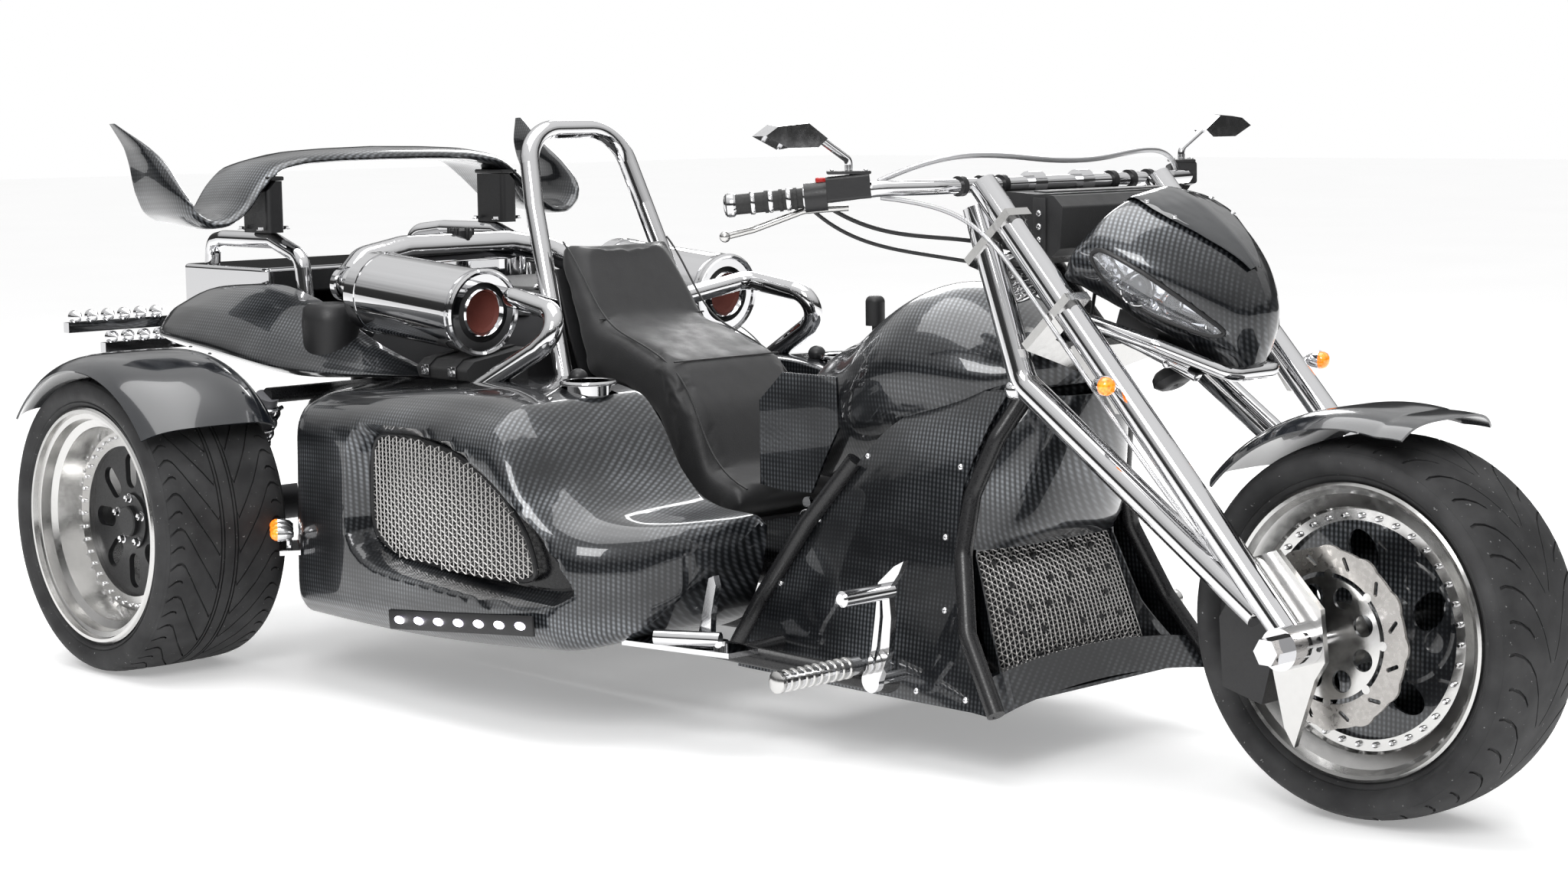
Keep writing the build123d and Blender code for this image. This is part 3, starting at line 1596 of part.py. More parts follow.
# Filler cap: a dark notched cap on the cross pipe, kept with the engine cover
with BuildPart() as filler_cap:
    with BuildSketch(Plane.XY.offset(filler_base)):
        with Locations((filler_x, filler_y)):
            Circle(filler_radius)
    extrude(amount=filler_height)
    chamfer(filler_cap.faces().sort_by(Axis.Z)[-1].edges(), length=filler_edge)
    add(cross_pipe.part, mode=Mode.SUBTRACT)
    add(engine_cover.part)
keep(filler_cap, "engine_cover")

# Hoop behind the seat
hoop_points = scaled((hoop_foot_x, 0, hoop_foot_z), (hoop_lean, hoop_half, hoop_rise), hoop_shares)
hoop_tube = rail(hoop_points, hoop_radius, hoop_bend)
with BuildPart() as hoop:
    add(hoop_tube)
    add(main_frame.part, mode=Mode.SUBTRACT)

# Seat: one padded shape in an S, for two
seat_points = scaled((seat_rear_x, seat_bottom_z), (seat_length, seat_height), seat_shares)
seat_shoulder_z = seat_bottom_z + seat_height * seat_shoulder_share
seat_front = [
    (-seat_half, seat_bottom_z - overrun),
    (-seat_half, seat_shoulder_z),
    (-seat_top_half, seat_bottom_z + seat_height),
    (seat_top_half, seat_bottom_z + seat_height),
    (seat_half, seat_shoulder_z),
    (seat_half, seat_bottom_z - overrun),
]
with BuildPart() as seat:
    with BuildSketch(Plane.XZ):
        Polygon(*seat_points, align=None)
    extrude(amount=seat_half, both=True)
    with BuildSketch(Plane.YZ.offset(seat_rear_x - overrun)):
        Polygon(*seat_front, align=None)
    extrude(amount=seat_length + 2 * overrun, mode=Mode.INTERSECT)
keep(seat, "seat")

# Seat pan: a thin tray under the seat, on the frame's cross tube
with BuildPart() as seat_pan:
    with BuildSketch(Plane.XZ):
        Polygon(*scaled((seat_rear_x, seat_bottom_z), (seat_length, seat_height), pan_shares), align=None)
    extrude(amount=seat_half, both=True)
    with BuildSketch(Plane.YZ.offset(seat_rear_x - overrun)):
        Polygon(*seat_front, align=None)
    extrude(amount=seat_length + 2 * overrun, mode=Mode.INTERSECT)
    add(main_frame.part, mode=Mode.SUBTRACT)
keep(seat_pan, "seat_pan")

# Side pods: hollow shells, three outlines crossed, with a recessed mesh bay
pod_side = scaled((pod_rear_x, pod_bottom_z), (pod_length, pod_height), pod_side_shares)
pod_plan = scaled((pod_rear_x, 0), (pod_length, pod_half), pod_plan_shares)
pod_section = scaled((0, pod_bottom_z), (pod_half, pod_height), pod_section_shares)
with BuildPart() as pod_outer:
    with BuildSketch(Plane.XZ):
        Polygon(*pod_side, align=None)
    extrude(amount=pod_half + overrun)
    with BuildSketch(Plane.XY):
        Polygon(*pod_plan, align=None)
    extrude(amount=pod_bottom_z + pod_height + overrun, mode=Mode.INTERSECT)
    with BuildSketch(Plane.YZ.offset(pod_rear_x - overrun)):
        Polygon(*pod_section, align=None)
    extrude(amount=pod_length + 2 * overrun, mode=Mode.INTERSECT)
    with BuildSketch(Plane.XZ.offset(pod_half + overrun)):
        Polygon(*scaled((pod_rear_x, pod_bottom_z), (pod_length, pod_height), recess_shares), align=None)
    extrude(amount=-recess_depth - overrun, taper=recess_taper, mode=Mode.SUBTRACT)
with BuildPart() as pod_inner:
    with BuildSketch(Plane.XZ):
        Polygon(*pod_side, align=None)
        offset(amount=-pod_wall, kind=Kind.INTERSECTION)
    extrude(amount=pod_half - recess_depth - pod_wall)
    with BuildSketch(Plane.XY):
        Polygon(*pod_plan, align=None)
        offset(amount=-pod_wall, kind=Kind.INTERSECTION)
    extrude(amount=pod_bottom_z + pod_height + overrun, mode=Mode.INTERSECT)
    with BuildSketch(Plane.YZ.offset(pod_rear_x - overrun)):
        Polygon(*pod_section, align=None)
        offset(amount=-pod_wall, kind=Kind.INTERSECTION)
    extrude(amount=pod_length + 2 * overrun, mode=Mode.INTERSECT)
mesh_points = scaled((pod_rear_x, pod_bottom_z), (pod_length, pod_height), mesh_shares)
with BuildPart() as side_pod_right:
    add(pod_outer.part)
    add(pod_inner.part, mode=Mode.SUBTRACT)
    with BuildSketch(Plane.XZ.offset(pod_half)):
        Polygon(*mesh_points, align=None)
    extrude(amount=-pod_half * cup_clear_share, mode=Mode.SUBTRACT)
    with BuildSketch(Plane.XY.offset(pod_bottom_z + pod_height + overrun)):
        with Locations((cup_x, -cup_y)):
            Circle(cup_radius + touch_gap)
    extrude(amount=-cup_depth - overrun * 2, mode=Mode.SUBTRACT)
with BuildPart() as side_pods:
    add(side_pod_right.part)
    mirror(side_pod_right.part, about=Plane.XZ)
keep(side_pods, "side_pods")

# Armrests: bent tubes from the hoop to the frame
arm_points = scaled((hoop_foot_x, 0, hoop_foot_z), (hoop_lean, hoop_half, hoop_rise), arm_shares)
arm_tube = rail(arm_points, hoop_radius, arm_bend)
with BuildPart() as armrests:
    add(arm_tube)
    mirror(arm_tube, about=Plane.XZ)
    add(hoop.part)
    add(side_pods.part, mode=Mode.SUBTRACT)
keep(armrests, "hoop_and_armrests")

# Side cases: strapped leather cases between the engine and the cans, on the pods
case_points = [(-y, z) for y, z in scaled(case_base, case_size, case_shares)]
with BuildPart() as luggage_rolls:
    with BuildSketch(Plane.YZ.offset(case_rear_x)):
        Polygon(*case_points, align=None)
    extrude(amount=case_length)
    fillet(luggage_rolls.edges().filter_by(Axis.X).sort_by(Axis.Y)[:3], radius=case_edge)
    mirror(about=Plane.XZ)
    for neighbour in (main_frame, engine, air_cans, cross_pipe, side_pods, armrests):
        add(neighbour.part, mode=Mode.SUBTRACT)
keep(luggage_rolls, "luggage_rolls")

# Pod meshes: flat grilles behind the bays' openings
mesh_y = pod_half - recess_depth - pod_wall - touch_gap
with BuildPart() as pod_meshes:
    with BuildSketch(Plane.XZ.offset(mesh_y)):
        Polygon(*mesh_points, align=None)
        offset(amount=mesh_pitch / 2, kind=Kind.INTERSECTION)
    extrude(amount=-mesh_thickness)
    mirror(about=Plane.XZ)
keep(pod_meshes, "pod_meshes")

# Light strips let into the pods' lower edges
with BuildPart() as led_strips:
    with BuildSketch(Plane.XZ.offset(led_y)):
        with Locations((led_x, led_z)):
            RectangleRounded(led_length, led_height, led_height / 3, rotation=led_tilt)
    extrude(amount=-led_depth)
    add(side_pod_right.part, mode=Mode.SUBTRACT)
    mirror(about=Plane.XZ)
keep(led_strips, "led_strips")

# Cup holders: open cups with a bright ring, in the pods' tops
with BuildPart() as cup_holders:
    cup_top = pod_bottom_z + pod_height
    with BuildSketch(Plane.XY.offset(cup_top)):
        with Locations((cup_x, -cup_y)):
            Circle(cup_radius)
    extrude(amount=-cup_depth)
    with BuildSketch(Plane.XY.offset(cup_top)):
        with Locations((cup_x, -cup_y)):
            Circle(cup_radius + cup_ring_width)
    extrude(amount=pod_wall)
    with BuildSketch(Plane.XY.offset(cup_top + overrun)):
        with Locations((cup_x, -cup_y)):
            Circle(cup_radius - pod_wall)
    extrude(amount=pod_wall - cup_depth - overrun, mode=Mode.SUBTRACT)
    mirror(about=Plane.XZ)
keep(cup_holders, "cup_holders")

# Side lamp bars: slanted shelves behind the pods, each with a row of amber lamps
bar_way = Vector(lamp_bar_run, -lamp_bar_slant, 0).normalized()
lamp_plane = Plane(origin=(lamp_bar_x, -lamp_bar_y, lamp_bar_z), x_dir=bar_way, z_dir=(0, 0, 1))
lamp_pitch = lamp_bar_length / amber_count
with BuildPart() as side_lamp_bars:
    with BuildSketch(lamp_plane):
        Rectangle(lamp_bar_length, lamp_bar_depth)
    extrude(amount=-lamp_bar_thickness)
    for lamp_number in range(amber_count):
        lamp_x = (lamp_number + 0.5) * lamp_pitch - lamp_bar_length / 2
        with BuildSketch(lamp_plane):
            with Locations((lamp_x, 0)):
                Circle(amber_radius * amber_stem_share)
        extrude(amount=amber_radius)
    add(side_pod_right.part, mode=Mode.SUBTRACT)
    mirror(about=Plane.XZ)
keep(side_lamp_bars, "side_lamp_bars")

# Rear mudguards: skirted arcs over the wide tyres
rear_guard_radius = rear_tyre_radius + rear_guard_gap
rear_guard_section = [
    (-rear_guard_inner_y, rear_guard_radius),
    (-rear_guard_inner_y, rear_guard_radius + rear_guard_thickness),
    (-rear_guard_outer_y + rear_guard_skirt / 2, rear_guard_radius + rear_guard_thickness),
    (-rear_guard_outer_y, rear_guard_radius - rear_guard_skirt / 2),
    (-rear_guard_outer_y, rear_guard_radius - rear_guard_skirt),
    (-rear_guard_outer_y + rear_guard_thickness, rear_guard_radius - rear_guard_skirt),
    (-rear_guard_outer_y + rear_guard_thickness, rear_guard_radius - rear_guard_skirt / 2),
    (-rear_guard_outer_y + rear_guard_skirt / 2 + rear_guard_thickness, rear_guard_radius),
]
rear_start = math.radians(rear_guard_start)
rear_guard_plane = Plane(
    origin=(rear_axle_x, 0, rear_axle_z), x_dir=(0, 1, 0), z_dir=(math.sin(rear_start), 0, -math.cos(rear_start))
)
tail_reach = tail_shell_outer_y - tail_shell_inner_y
guard_top_z = rear_axle_z + rear_guard_radius
guard_mid_z = guard_top_z + rear_guard_thickness / 2
guard_stay_run = [
    (guard_bracket_x, upper_points[-1][1], guard_bracket_z),
    (guard_bracket_x, -rear_guard_inner_y + guard_bracket_inset, guard_bracket_z),
    (guard_bracket_x, -rear_guard_inner_y + guard_bracket_inset, guard_mid_z),
    (guard_bracket_x, -rear_guard_inner_y - overrun, guard_mid_z),
]
guard_stay_tube = rail(guard_stay_run, guard_bracket_radius, guard_bracket_radius * stay_bend_share)
with BuildPart() as rear_mudguard_right:
    with BuildSketch(rear_guard_plane):
        Polygon(*rear_guard_section, align=None)
    revolve(axis=Axis((rear_axle_x, 0, rear_axle_z), (0, 1, 0)), revolution_arc=-rear_guard_arc)
    add(guard_stay_tube)
    add(main_frame.part, mode=Mode.SUBTRACT)
with BuildPart() as rear_mudguards:
    add(rear_mudguard_right.part)
    mirror(rear_mudguard_right.part, about=Plane.XZ)
keep(rear_mudguards, "rear_mudguards")

# Tail shells: leaf-shaped covers that run from the tail to the pods
tail_points = scaled((tail_shell_rear_x, tail_shell_bottom_z), (tail_shell_length, tail_shell_height), tail_shell_shares)
tail_section = [
    (-tail_shell_inner_y, tail_shell_bottom_z),
    (-tail_shell_inner_y - tail_reach * tail_floor_share, tail_shell_bottom_z),
    (-tail_shell_outer_y, tail_shell_bottom_z + tail_shell_height * tail_edge_share),
    (-tail_shell_inner_y - tail_reach * tail_brow_share, tail_shell_bottom_z + tail_shell_height * tail_brow_level_share),
    (-tail_shell_inner_y, tail_shell_bottom_z + tail_shell_height),
]
with BuildPart() as tail_shell_right:
    with BuildSketch(Plane.XZ.offset(tail_shell_inner_y)):
        Polygon(*tail_points, align=None)
    extrude(amount=tail_reach)
    with BuildSketch(Plane.YZ.offset(tail_shell_rear_x)):
        Polygon(*tail_section, align=None)
    extrude(amount=tail_shell_length, mode=Mode.INTERSECT)
tail_down = [(x + tail_shell_wall, z - tail_shell_wall) for x, z in tail_points]
with BuildPart() as tail_void:
    with BuildSketch(Plane.XZ.offset(tail_shell_inner_y - overrun)):
        Polygon(*tail_down, align=None)
    extrude(amount=tail_reach + overrun)
    with BuildSketch(Plane.YZ.offset(tail_shell_rear_x - overrun)):
        Polygon(*[(y + tail_shell_wall, z - tail_shell_wall) for y, z in tail_section], align=None)
        with Locations((-tail_shell_inner_y + overrun / 2, tail_shell_bottom_z + tail_shell_height / 2 - tail_shell_wall)):
            Rectangle(overrun, tail_shell_height)
    extrude(amount=tail_shell_length + 2 * overrun, mode=Mode.INTERSECT)
with BuildPart() as tail_shells:
    add(tail_shell_right.part)
    add(tail_void.part, mode=Mode.SUBTRACT)
    mirror(about=Plane.XZ)
keep(tail_shells, "tail_shells")

# Tail box: a bright rounded case between the tail shells
with BuildPart() as tail_box:
    with BuildSketch(Plane.XY.offset(tail_box_bottom_z)):
        with Locations((tail_box_rear_x + tail_box_length / 2, 0)):
            RectangleRounded(tail_box_length, tail_box_half * 2, tail_box_edge)
    extrude(amount=tail_box_height)
    fillet(tail_box.faces().sort_by(Axis.Z)[-1].edges(), radius=tail_box_edge / 2)
keep(tail_box, "tail_box")

# Rear light bars: channels along Y, each with a row of bullet lamps above
bullet_outline = [(bullet_length * x, bullet_radius * r) for x, r in bullet_shares]
with BuildPart() as light_bars:
    for bar_outer, bar_height in ((light_bar_outer_y, light_bar_z), (light_bar_lower_outer_y, light_bar_lower_z)):
        with BuildSketch(Plane.XZ.offset(light_bar_inner_y)):
            with Locations((light_bar_x, bar_height)):
                Rectangle(light_bar_size, light_bar_size)
        extrude(amount=bar_outer - light_bar_inner_y)
        with BuildSketch(Plane.XZ.offset(light_bar_inner_y)):
            with Locations(((light_bar_x + tail_box_rear_x) / 2, bar_height)):
                Rectangle(tail_box_rear_x - light_bar_x, light_bar_size / 2)
        extrude(amount=light_bar_arm)
    for bar_outer, bar_height, bullet_count in (
        (light_bar_outer_y, light_bar_z, bullet_upper_count),
        (light_bar_lower_outer_y, light_bar_lower_z, bullet_lower_count),
    ):
        for bullet_number in range(bullet_count):
            bullet_y = bullet_margin - bar_outer + bullet_number * bullet_pitch
            bullet_plane = Plane(origin=(light_bar_x, bullet_y, bar_height + bullet_rise), x_dir=(1, 0, 0), z_dir=(0, -1, 0))
            with BuildSketch(bullet_plane):
                Polygon(*bullet_outline, align=None)
            revolve(axis=Axis((light_bar_x, bullet_y, bar_height + bullet_rise), (1, 0, 0)))
    mirror(about=Plane.XZ)
keep(light_bars, "light_bars")

# Rear wing: a ribbon section with drooped, upswept ends, trimmed by its side outline
wing_right = scaled((0, wing_bottom_z), (wing_half, wing_height), wing_front_shares)
wing_outline = wing_right + [(-y, z) for y, z in wing_right[-2:0:-1]]
wing_side = scaled((wing_rear_x, wing_bottom_z), (wing_length, wing_height), wing_side_shares)
with BuildPart() as rear_wing:
    with BuildSketch(Plane.YZ.offset(wing_rear_x - overrun)):
        Polygon(*wing_outline, align=None)
    extrude(amount=wing_length + 2 * overrun)
    with BuildSketch(Plane.XZ):
        Polygon(*wing_side, align=None)
    extrude(amount=wing_half + overrun, both=True, mode=Mode.INTERSECT)
keep(rear_wing, "rear_wing")

# Wing pylons and the bright rack that carries them
with BuildPart() as wing_pylons:
    with BuildSketch(Plane.XY.offset(pylon_base_z)):
        with Locations((pylon_x, -pylon_y)):
            RectangleRounded(pylon_length, pylon_width, pylon_width / 4)
    extrude(amount=pylon_top_z - pylon_base_z + overrun)
    add(rear_wing.part, mode=Mode.SUBTRACT)
    mirror(about=Plane.XZ)
keep(wing_pylons, "wing_pylons")
rack_points = scaled((tail_box_rear_x, 0, tail_box_bottom_z), (tail_box_length, tail_box_half, pylon_base_z - tail_box_bottom_z), rack_shares)
rack_tube = rail(rack_points, rack_radius, rack_bend)
with BuildPart() as tail_rack:
    add(rack_tube)
    add(tail_box.part, mode=Mode.SUBTRACT)
    mirror(about=Plane.XZ)
keep(tail_rack, "tail_rack")

# Tank cover: a bulbous hollow shell lofted over the backbone, and its rear flaps
station_rows = [
    (tank_rear_x + tank_length * x, tank_half * w, tank_base_z + tank_height * low, tank_base_z + tank_height * high)
    for x, w, low, high in tank_station_shares
]
with BuildPart() as tank_solid:
    for station_x, half, low, high in station_rows:
        with BuildSketch(Plane.YZ.offset(station_x)):
            with Locations((0, (low + high) / 2)):
                Ellipse(half, (high - low) / 2)
    loft()
flap_points = scaled((tank_rear_x, 0), (tank_length, tank_height), flap_shares)
with BuildPart() as tank_cover:
    add(tank_solid.part)
    with BuildSketch(Plane.XZ.offset(flap_half - flap_thickness)):
        Polygon(*flap_points, align=None)
    extrude(amount=flap_thickness)
    with BuildSketch(Plane.XZ.offset(-flap_half)):
        Polygon(*flap_points, align=None)
    extrude(amount=flap_thickness)
    add(main_frame.part, mode=Mode.SUBTRACT)
keep(tank_cover, "tank_cover")

# Gear lever with a round-topped knob
with BuildPart() as gear_lever:
    with BuildSketch(Plane.XY.offset(gear_lever_base)):
        with Locations((gear_lever_x, gear_lever_y)):
            Circle(lever_stem_radius)
    extrude(amount=gear_lever_top - gear_lever_base - lever_knob_height / 2)
    with BuildSketch(Plane.XY.offset(gear_lever_top - lever_knob_height)):
        with Locations((gear_lever_x, gear_lever_y)):
            Circle(lever_knob_radius)
    extrude(amount=lever_knob_height)
    fillet(gear_lever.faces().sort_by(Axis.Z)[-1].edges(), radius=lever_knob_radius * knob_round_share)
    add(tank_cover.part, mode=Mode.SUBTRACT)
keep(gear_lever, "gear_lever")

# Front shell: hollow side panels round the air duct, open at the front
shell_side = scaled((shell_rear_x, shell_bottom_z), (shell_length, shell_height), shell_side_shares)
shell_front = scaled((0, shell_bottom_z), (shell_half, shell_height), shell_front_shares)
with BuildPart() as shell_solid:
    with BuildSketch(Plane.XZ):
        Polygon(*shell_side, align=None)
    extrude(amount=shell_half, both=True)
    with BuildSketch(Plane.YZ):
        Polygon(*shell_front, align=None)
    extrude(amount=shell_rear_x + shell_length + overrun, mode=Mode.INTERSECT)
with BuildPart() as shell_void:
    with BuildSketch(Plane.XZ):
        Polygon(*[(x + shell_wall * 4, z + shell_wall) for x, z in shell_side], align=None)
    extrude(amount=shell_half, both=True)
    with BuildSketch(Plane.YZ):
        Polygon(*shell_front, align=None)
        offset(amount=-shell_wall, kind=Kind.INTERSECTION)
    extrude(amount=shell_rear_x + shell_length + overrun, mode=Mode.INTERSECT)
grille_way = Vector(grille_top_x - grille_bottom_x, 0, grille_top_z - grille_bottom_z)
grille_rise = grille_way.length
grille_plane = Plane(origin=(grille_bottom_x, 0, grille_bottom_z), x_dir=(0, 1, 0), z_dir=Vector(0, 1, 0).cross(grille_way))
duct_plane = Plane(origin=(shell_rear_x + shell_length + overrun, 0, shell_bottom_z), x_dir=(0, 1, 0), z_dir=(1, 0, 0))
duct_back = scaled((0, 0), (grille_half, grille_rise), duct_back_shares)
duct_mouth = scaled((0, 0), (shell_half, shell_height), duct_mouth_shares)
with BuildPart() as duct_outer:
    with BuildSketch(grille_plane):
        Polygon(*duct_back, align=None)
        offset(amount=duct_wall, kind=Kind.INTERSECTION)
    with BuildSketch(duct_plane):
        Polygon(*duct_mouth, align=None)
        offset(amount=duct_wall, kind=Kind.INTERSECTION)
    loft(ruled=True)
with BuildPart() as duct_inner:
    with BuildSketch(grille_plane):
        Polygon(*duct_back, align=None)
    with BuildSketch(duct_plane):
        Polygon(*duct_mouth, align=None)
    loft(ruled=True)
scoop_points = scaled((grille_top_x, grille_top_z), (scoop_reach, scoop_rise), scoop_shares)
with BuildPart() as duct_scoop:
    with BuildSketch(Plane.XZ):
        Polygon(*scoop_points, align=None)
    extrude(amount=shell_half, both=True)
    add(duct_inner.part, mode=Mode.INTERSECT)
with BuildPart() as duct_walls:
    add(duct_outer.part)
    add(duct_inner.part, mode=Mode.SUBTRACT)
    add(duct_scoop.part)
    with BuildSketch(Plane.XZ):
        Polygon(*shell_side, align=None)
    extrude(amount=shell_half, both=True, mode=Mode.INTERSECT)
lip_x = shell_rear_x + shell_length - lip_depth
lip_foot = shell_bottom_z + touch_gap
with BuildPart() as lip_arch:
    with BuildSketch(Plane.YZ.offset(lip_x - overrun)):
        with BuildLine():
            ThreePointArc((-lip_half, shell_bottom_z), (0, shell_bottom_z + lip_rise), (lip_half, shell_bottom_z))
            Polyline(
                (lip_half, shell_bottom_z),
                (lip_half, shell_bottom_z - overrun),
                (-lip_half, shell_bottom_z - overrun),
                (-lip_half, shell_bottom_z),
            )
        make_face()
    extrude(amount=lip_depth + 2 * overrun)
with BuildPart() as front_lip:
    with BuildSketch(Plane.YZ.offset(lip_x)):
        with BuildLine():
            ThreePointArc((-lip_half, lip_foot), (0, lip_foot + lip_rise), (lip_half, lip_foot))
            Line((lip_half, lip_foot), (lip_half, lip_foot + lip_height))
            ThreePointArc(
                (lip_half, lip_foot + lip_height), (0, lip_foot + lip_height + lip_rise), (-lip_half, lip_foot + lip_height)
            )
            Line((-lip_half, lip_foot + lip_height), (-lip_half, lip_foot))
        make_face()
    extrude(amount=lip_depth)
    add(shell_solid.part, mode=Mode.INTERSECT)
with BuildPart() as front_shell:
    add(shell_solid.part)
    add(shell_void.part, mode=Mode.SUBTRACT)
    add(lip_arch.part, mode=Mode.SUBTRACT)
    add(duct_walls.part)
    add(front_lip.part)
    add(main_frame.part, mode=Mode.SUBTRACT)
    add(tank_cover.part, mode=Mode.SUBTRACT)
keep(front_shell, "front_shell")

# Front grille: a barred plate behind the duct's inner opening
with BuildPart() as front_grille:
    with BuildSketch(grille_plane.offset(-touch_gap)):
        Polygon(*duct_back, align=None)
        offset(amount=duct_wall * 2, kind=Kind.INTERSECTION)
        with Locations((0, grille_rise / 2)):
            with GridLocations(grille_rib_pitch, grille_rise, grille_slot_count, 1):
                Rectangle(grille_rib_pitch - grille_rib_width, grille_slot_height, mode=Mode.SUBTRACT)
    extrude(amount=-grille_thickness)
    add(front_shell.part, mode=Mode.SUBTRACT)
    add(main_frame.part, mode=Mode.SUBTRACT)
keep(front_grille, "front_grille")

# Edge tubes: dark beads along the shell's front and rear edges
edge_base = (shell_rear_x, 0, shell_bottom_z)
edge_size = (shell_length, shell_half, shell_height)
front_edge = rail(scaled(edge_base, edge_size, front_edge_shares), edge_tube_radius, edge_bend)
rear_edge = rail(scaled(edge_base, edge_size, rear_edge_shares), edge_tube_radius, edge_bend)
with BuildPart() as edge_tubes:
    add(front_edge)
    add(rear_edge)
    add(front_shell.part, mode=Mode.SUBTRACT)
    mirror(about=Plane.XZ)
keep(edge_tubes, "edge_tubes")

# Rider's pegs: ribbed rods out from the shell's sides
with BuildPart() as rider_pegs:
    with BuildSketch(Plane.XZ.offset(peg_inner_y)):
        with Locations((peg_x, peg_z)):
            Circle(peg_radius)
    extrude(amount=peg_length)
    with BuildSketch(Plane.XZ.offset(shell_half - peg_radius)):
        with Locations((peg_x, peg_z)):
            Circle(peg_radius * peg_hinge_share)
    extrude(amount=peg_inner_y - shell_half + peg_radius)
    add(shell_solid.part, mode=Mode.SUBTRACT)
    mirror(about=Plane.XZ)
keep(rider_pegs, "rider_pegs")

# Brake pedal: a curved arm on the shell's side with a ribbed pad
pedal_points = scaled((peg_x, peg_z), (pedal_reach, pedal_rise), pedal_shares)
with BuildPart() as brake_pedal:
    with BuildSketch(Plane.XZ.offset(pedal_y)):
        Polygon(*pedal_points, align=None)
        with Locations((pedal_pivot_x, pedal_pivot_z)):
            Circle(pedal_boss_radius)
        Polygon(*scaled((peg_x, peg_z), (pedal_reach, pedal_rise), pedal_slot_shares), align=None, mode=Mode.SUBTRACT)
    extrude(amount=pedal_thickness)
    with BuildSketch(Plane.XZ.offset(shell_half / 2)):
        with Locations((pedal_pivot_x, pedal_pivot_z)):
            Circle(pedal_boss_radius / 2)
    extrude(amount=pedal_y - shell_half / 2)
    with BuildSketch(Plane.XZ.offset(pedal_y)):
        with Locations((pedal_pad_x, pedal_pad_z)):
            Circle(pedal_pad_radius)
    extrude(amount=pedal_pad_length)
    chamfer(brake_pedal.faces().sort_by(Axis.Y)[0].edges(), length=pedal_pad_radius / 3)
    add(shell_solid.part, mode=Mode.SUBTRACT)
    add(main_frame.part, mode=Mode.SUBTRACT)
keep(brake_pedal, "brake_pedal")

# Passenger pegs: a plate on each side rail with a fin and a folding peg
plate_points = scaled((0, 0), (pillion_span, pillion_depth), pillion_plate_shares)
fin_points = scaled((0, 0), (pillion_span, pillion_depth), pillion_fin_shares)
peg_turn = math.radians(pillion_peg_lean)
peg_plane = Plane(
    origin=(pillion_peg_x, -pillion_peg_y, pillion_peg_z), x_dir=(0, 0, 1), z_dir=(-math.cos(peg_turn), -math.sin(peg_turn), 0)
)
with BuildPart() as pillion_pegs:
    with BuildSketch(Plane.XY.offset(pillion_plate_z)):
        Polygon(*plate_points, align=None)
    extrude(amount=pillion_plate_thickness)
    with BuildSketch(Plane.XZ.offset(pillion_fin_y)):
        Polygon(*fin_points, align=None)
    extrude(amount=pedal_thickness)
    with BuildSketch(peg_plane):
        Circle(pedal_pad_radius)
    extrude(amount=pillion_peg_length)
    with BuildSketch(Plane.XY.offset(pillion_plate_z)):
        with Locations((pillion_peg_x, -pillion_peg_y)):
            Circle(pedal_pad_radius)
    extrude(amount=pillion_peg_z - pillion_plate_z)
    add(main_frame.part, mode=Mode.SUBTRACT)
    add(side_pods.part, mode=Mode.SUBTRACT)
    mirror(about=Plane.XZ)
keep(pillion_pegs, "pillion_pegs")

# Shocks between the axle and the frame
shock_run = [(shock_foot_x, -shock_y, shock_foot_z), (shock_head_x, -shock_y, shock_head_z)]
shock_body = rail(shock_run, shock_radius, 0)
with BuildPart() as shocks:
    add(shock_body)
    mirror(about=Plane.XZ)
    add(rear_axle.part, mode=Mode.SUBTRACT)
    add(main_frame.part, mode=Mode.SUBTRACT)
keep(shocks, "shocks")
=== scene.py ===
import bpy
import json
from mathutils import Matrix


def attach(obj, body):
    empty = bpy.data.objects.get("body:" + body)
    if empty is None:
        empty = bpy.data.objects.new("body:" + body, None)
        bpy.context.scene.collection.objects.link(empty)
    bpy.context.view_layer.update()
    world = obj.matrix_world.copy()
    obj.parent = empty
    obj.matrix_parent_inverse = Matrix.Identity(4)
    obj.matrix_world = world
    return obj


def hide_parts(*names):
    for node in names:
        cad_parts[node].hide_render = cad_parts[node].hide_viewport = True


bl_info = {
    "name": "Three-Wheel Motorcycle",
    "version": (1, 0, 0),
    "blender": (4, 5, 0),
    "location": "View3D > Sidebar > Motorcycle",
    "description": "Dresses the three-wheel motorcycle with tread, weave, leather, lamps, meshes and small fasteners",
    "category": "Object",
}

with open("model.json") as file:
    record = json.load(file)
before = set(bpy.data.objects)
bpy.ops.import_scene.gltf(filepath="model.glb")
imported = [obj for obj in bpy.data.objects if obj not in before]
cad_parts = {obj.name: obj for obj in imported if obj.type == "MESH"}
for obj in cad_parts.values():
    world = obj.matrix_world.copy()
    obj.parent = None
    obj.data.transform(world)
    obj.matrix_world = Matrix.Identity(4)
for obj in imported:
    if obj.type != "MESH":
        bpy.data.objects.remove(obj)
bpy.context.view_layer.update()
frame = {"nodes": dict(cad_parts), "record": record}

import json
import math

import bmesh
import bpy
from mathutils import Matrix, Vector

REAR_AXLE = Vector((-1.258, 0.0, 0.328))
FRONT_AXLE = Vector((1.47, 0.0, 0.330))
HALF_TRACK = 0.764
SIDES = (-1, 1)
HANDS = (("right", -1), ("left", 1))
# Degrees between faces below which an edge is shaded smooth, unless a piece says otherwise.
SMOOTH = 40


# ---------------------------------------------------------------- materials
def shader(name, colour, metallic=0.0, roughness=0.5):
    """A new material with its principled shader set."""
    material = bpy.data.materials.new(name)
    material.use_nodes = True
    bsdf = material.node_tree.nodes["Principled BSDF"]
    bsdf.inputs["Base Color"].default_value = (*colour, 1.0)
    bsdf.inputs["Metallic"].default_value = metallic
    bsdf.inputs["Roughness"].default_value = roughness
    return material, material.node_tree, bsdf


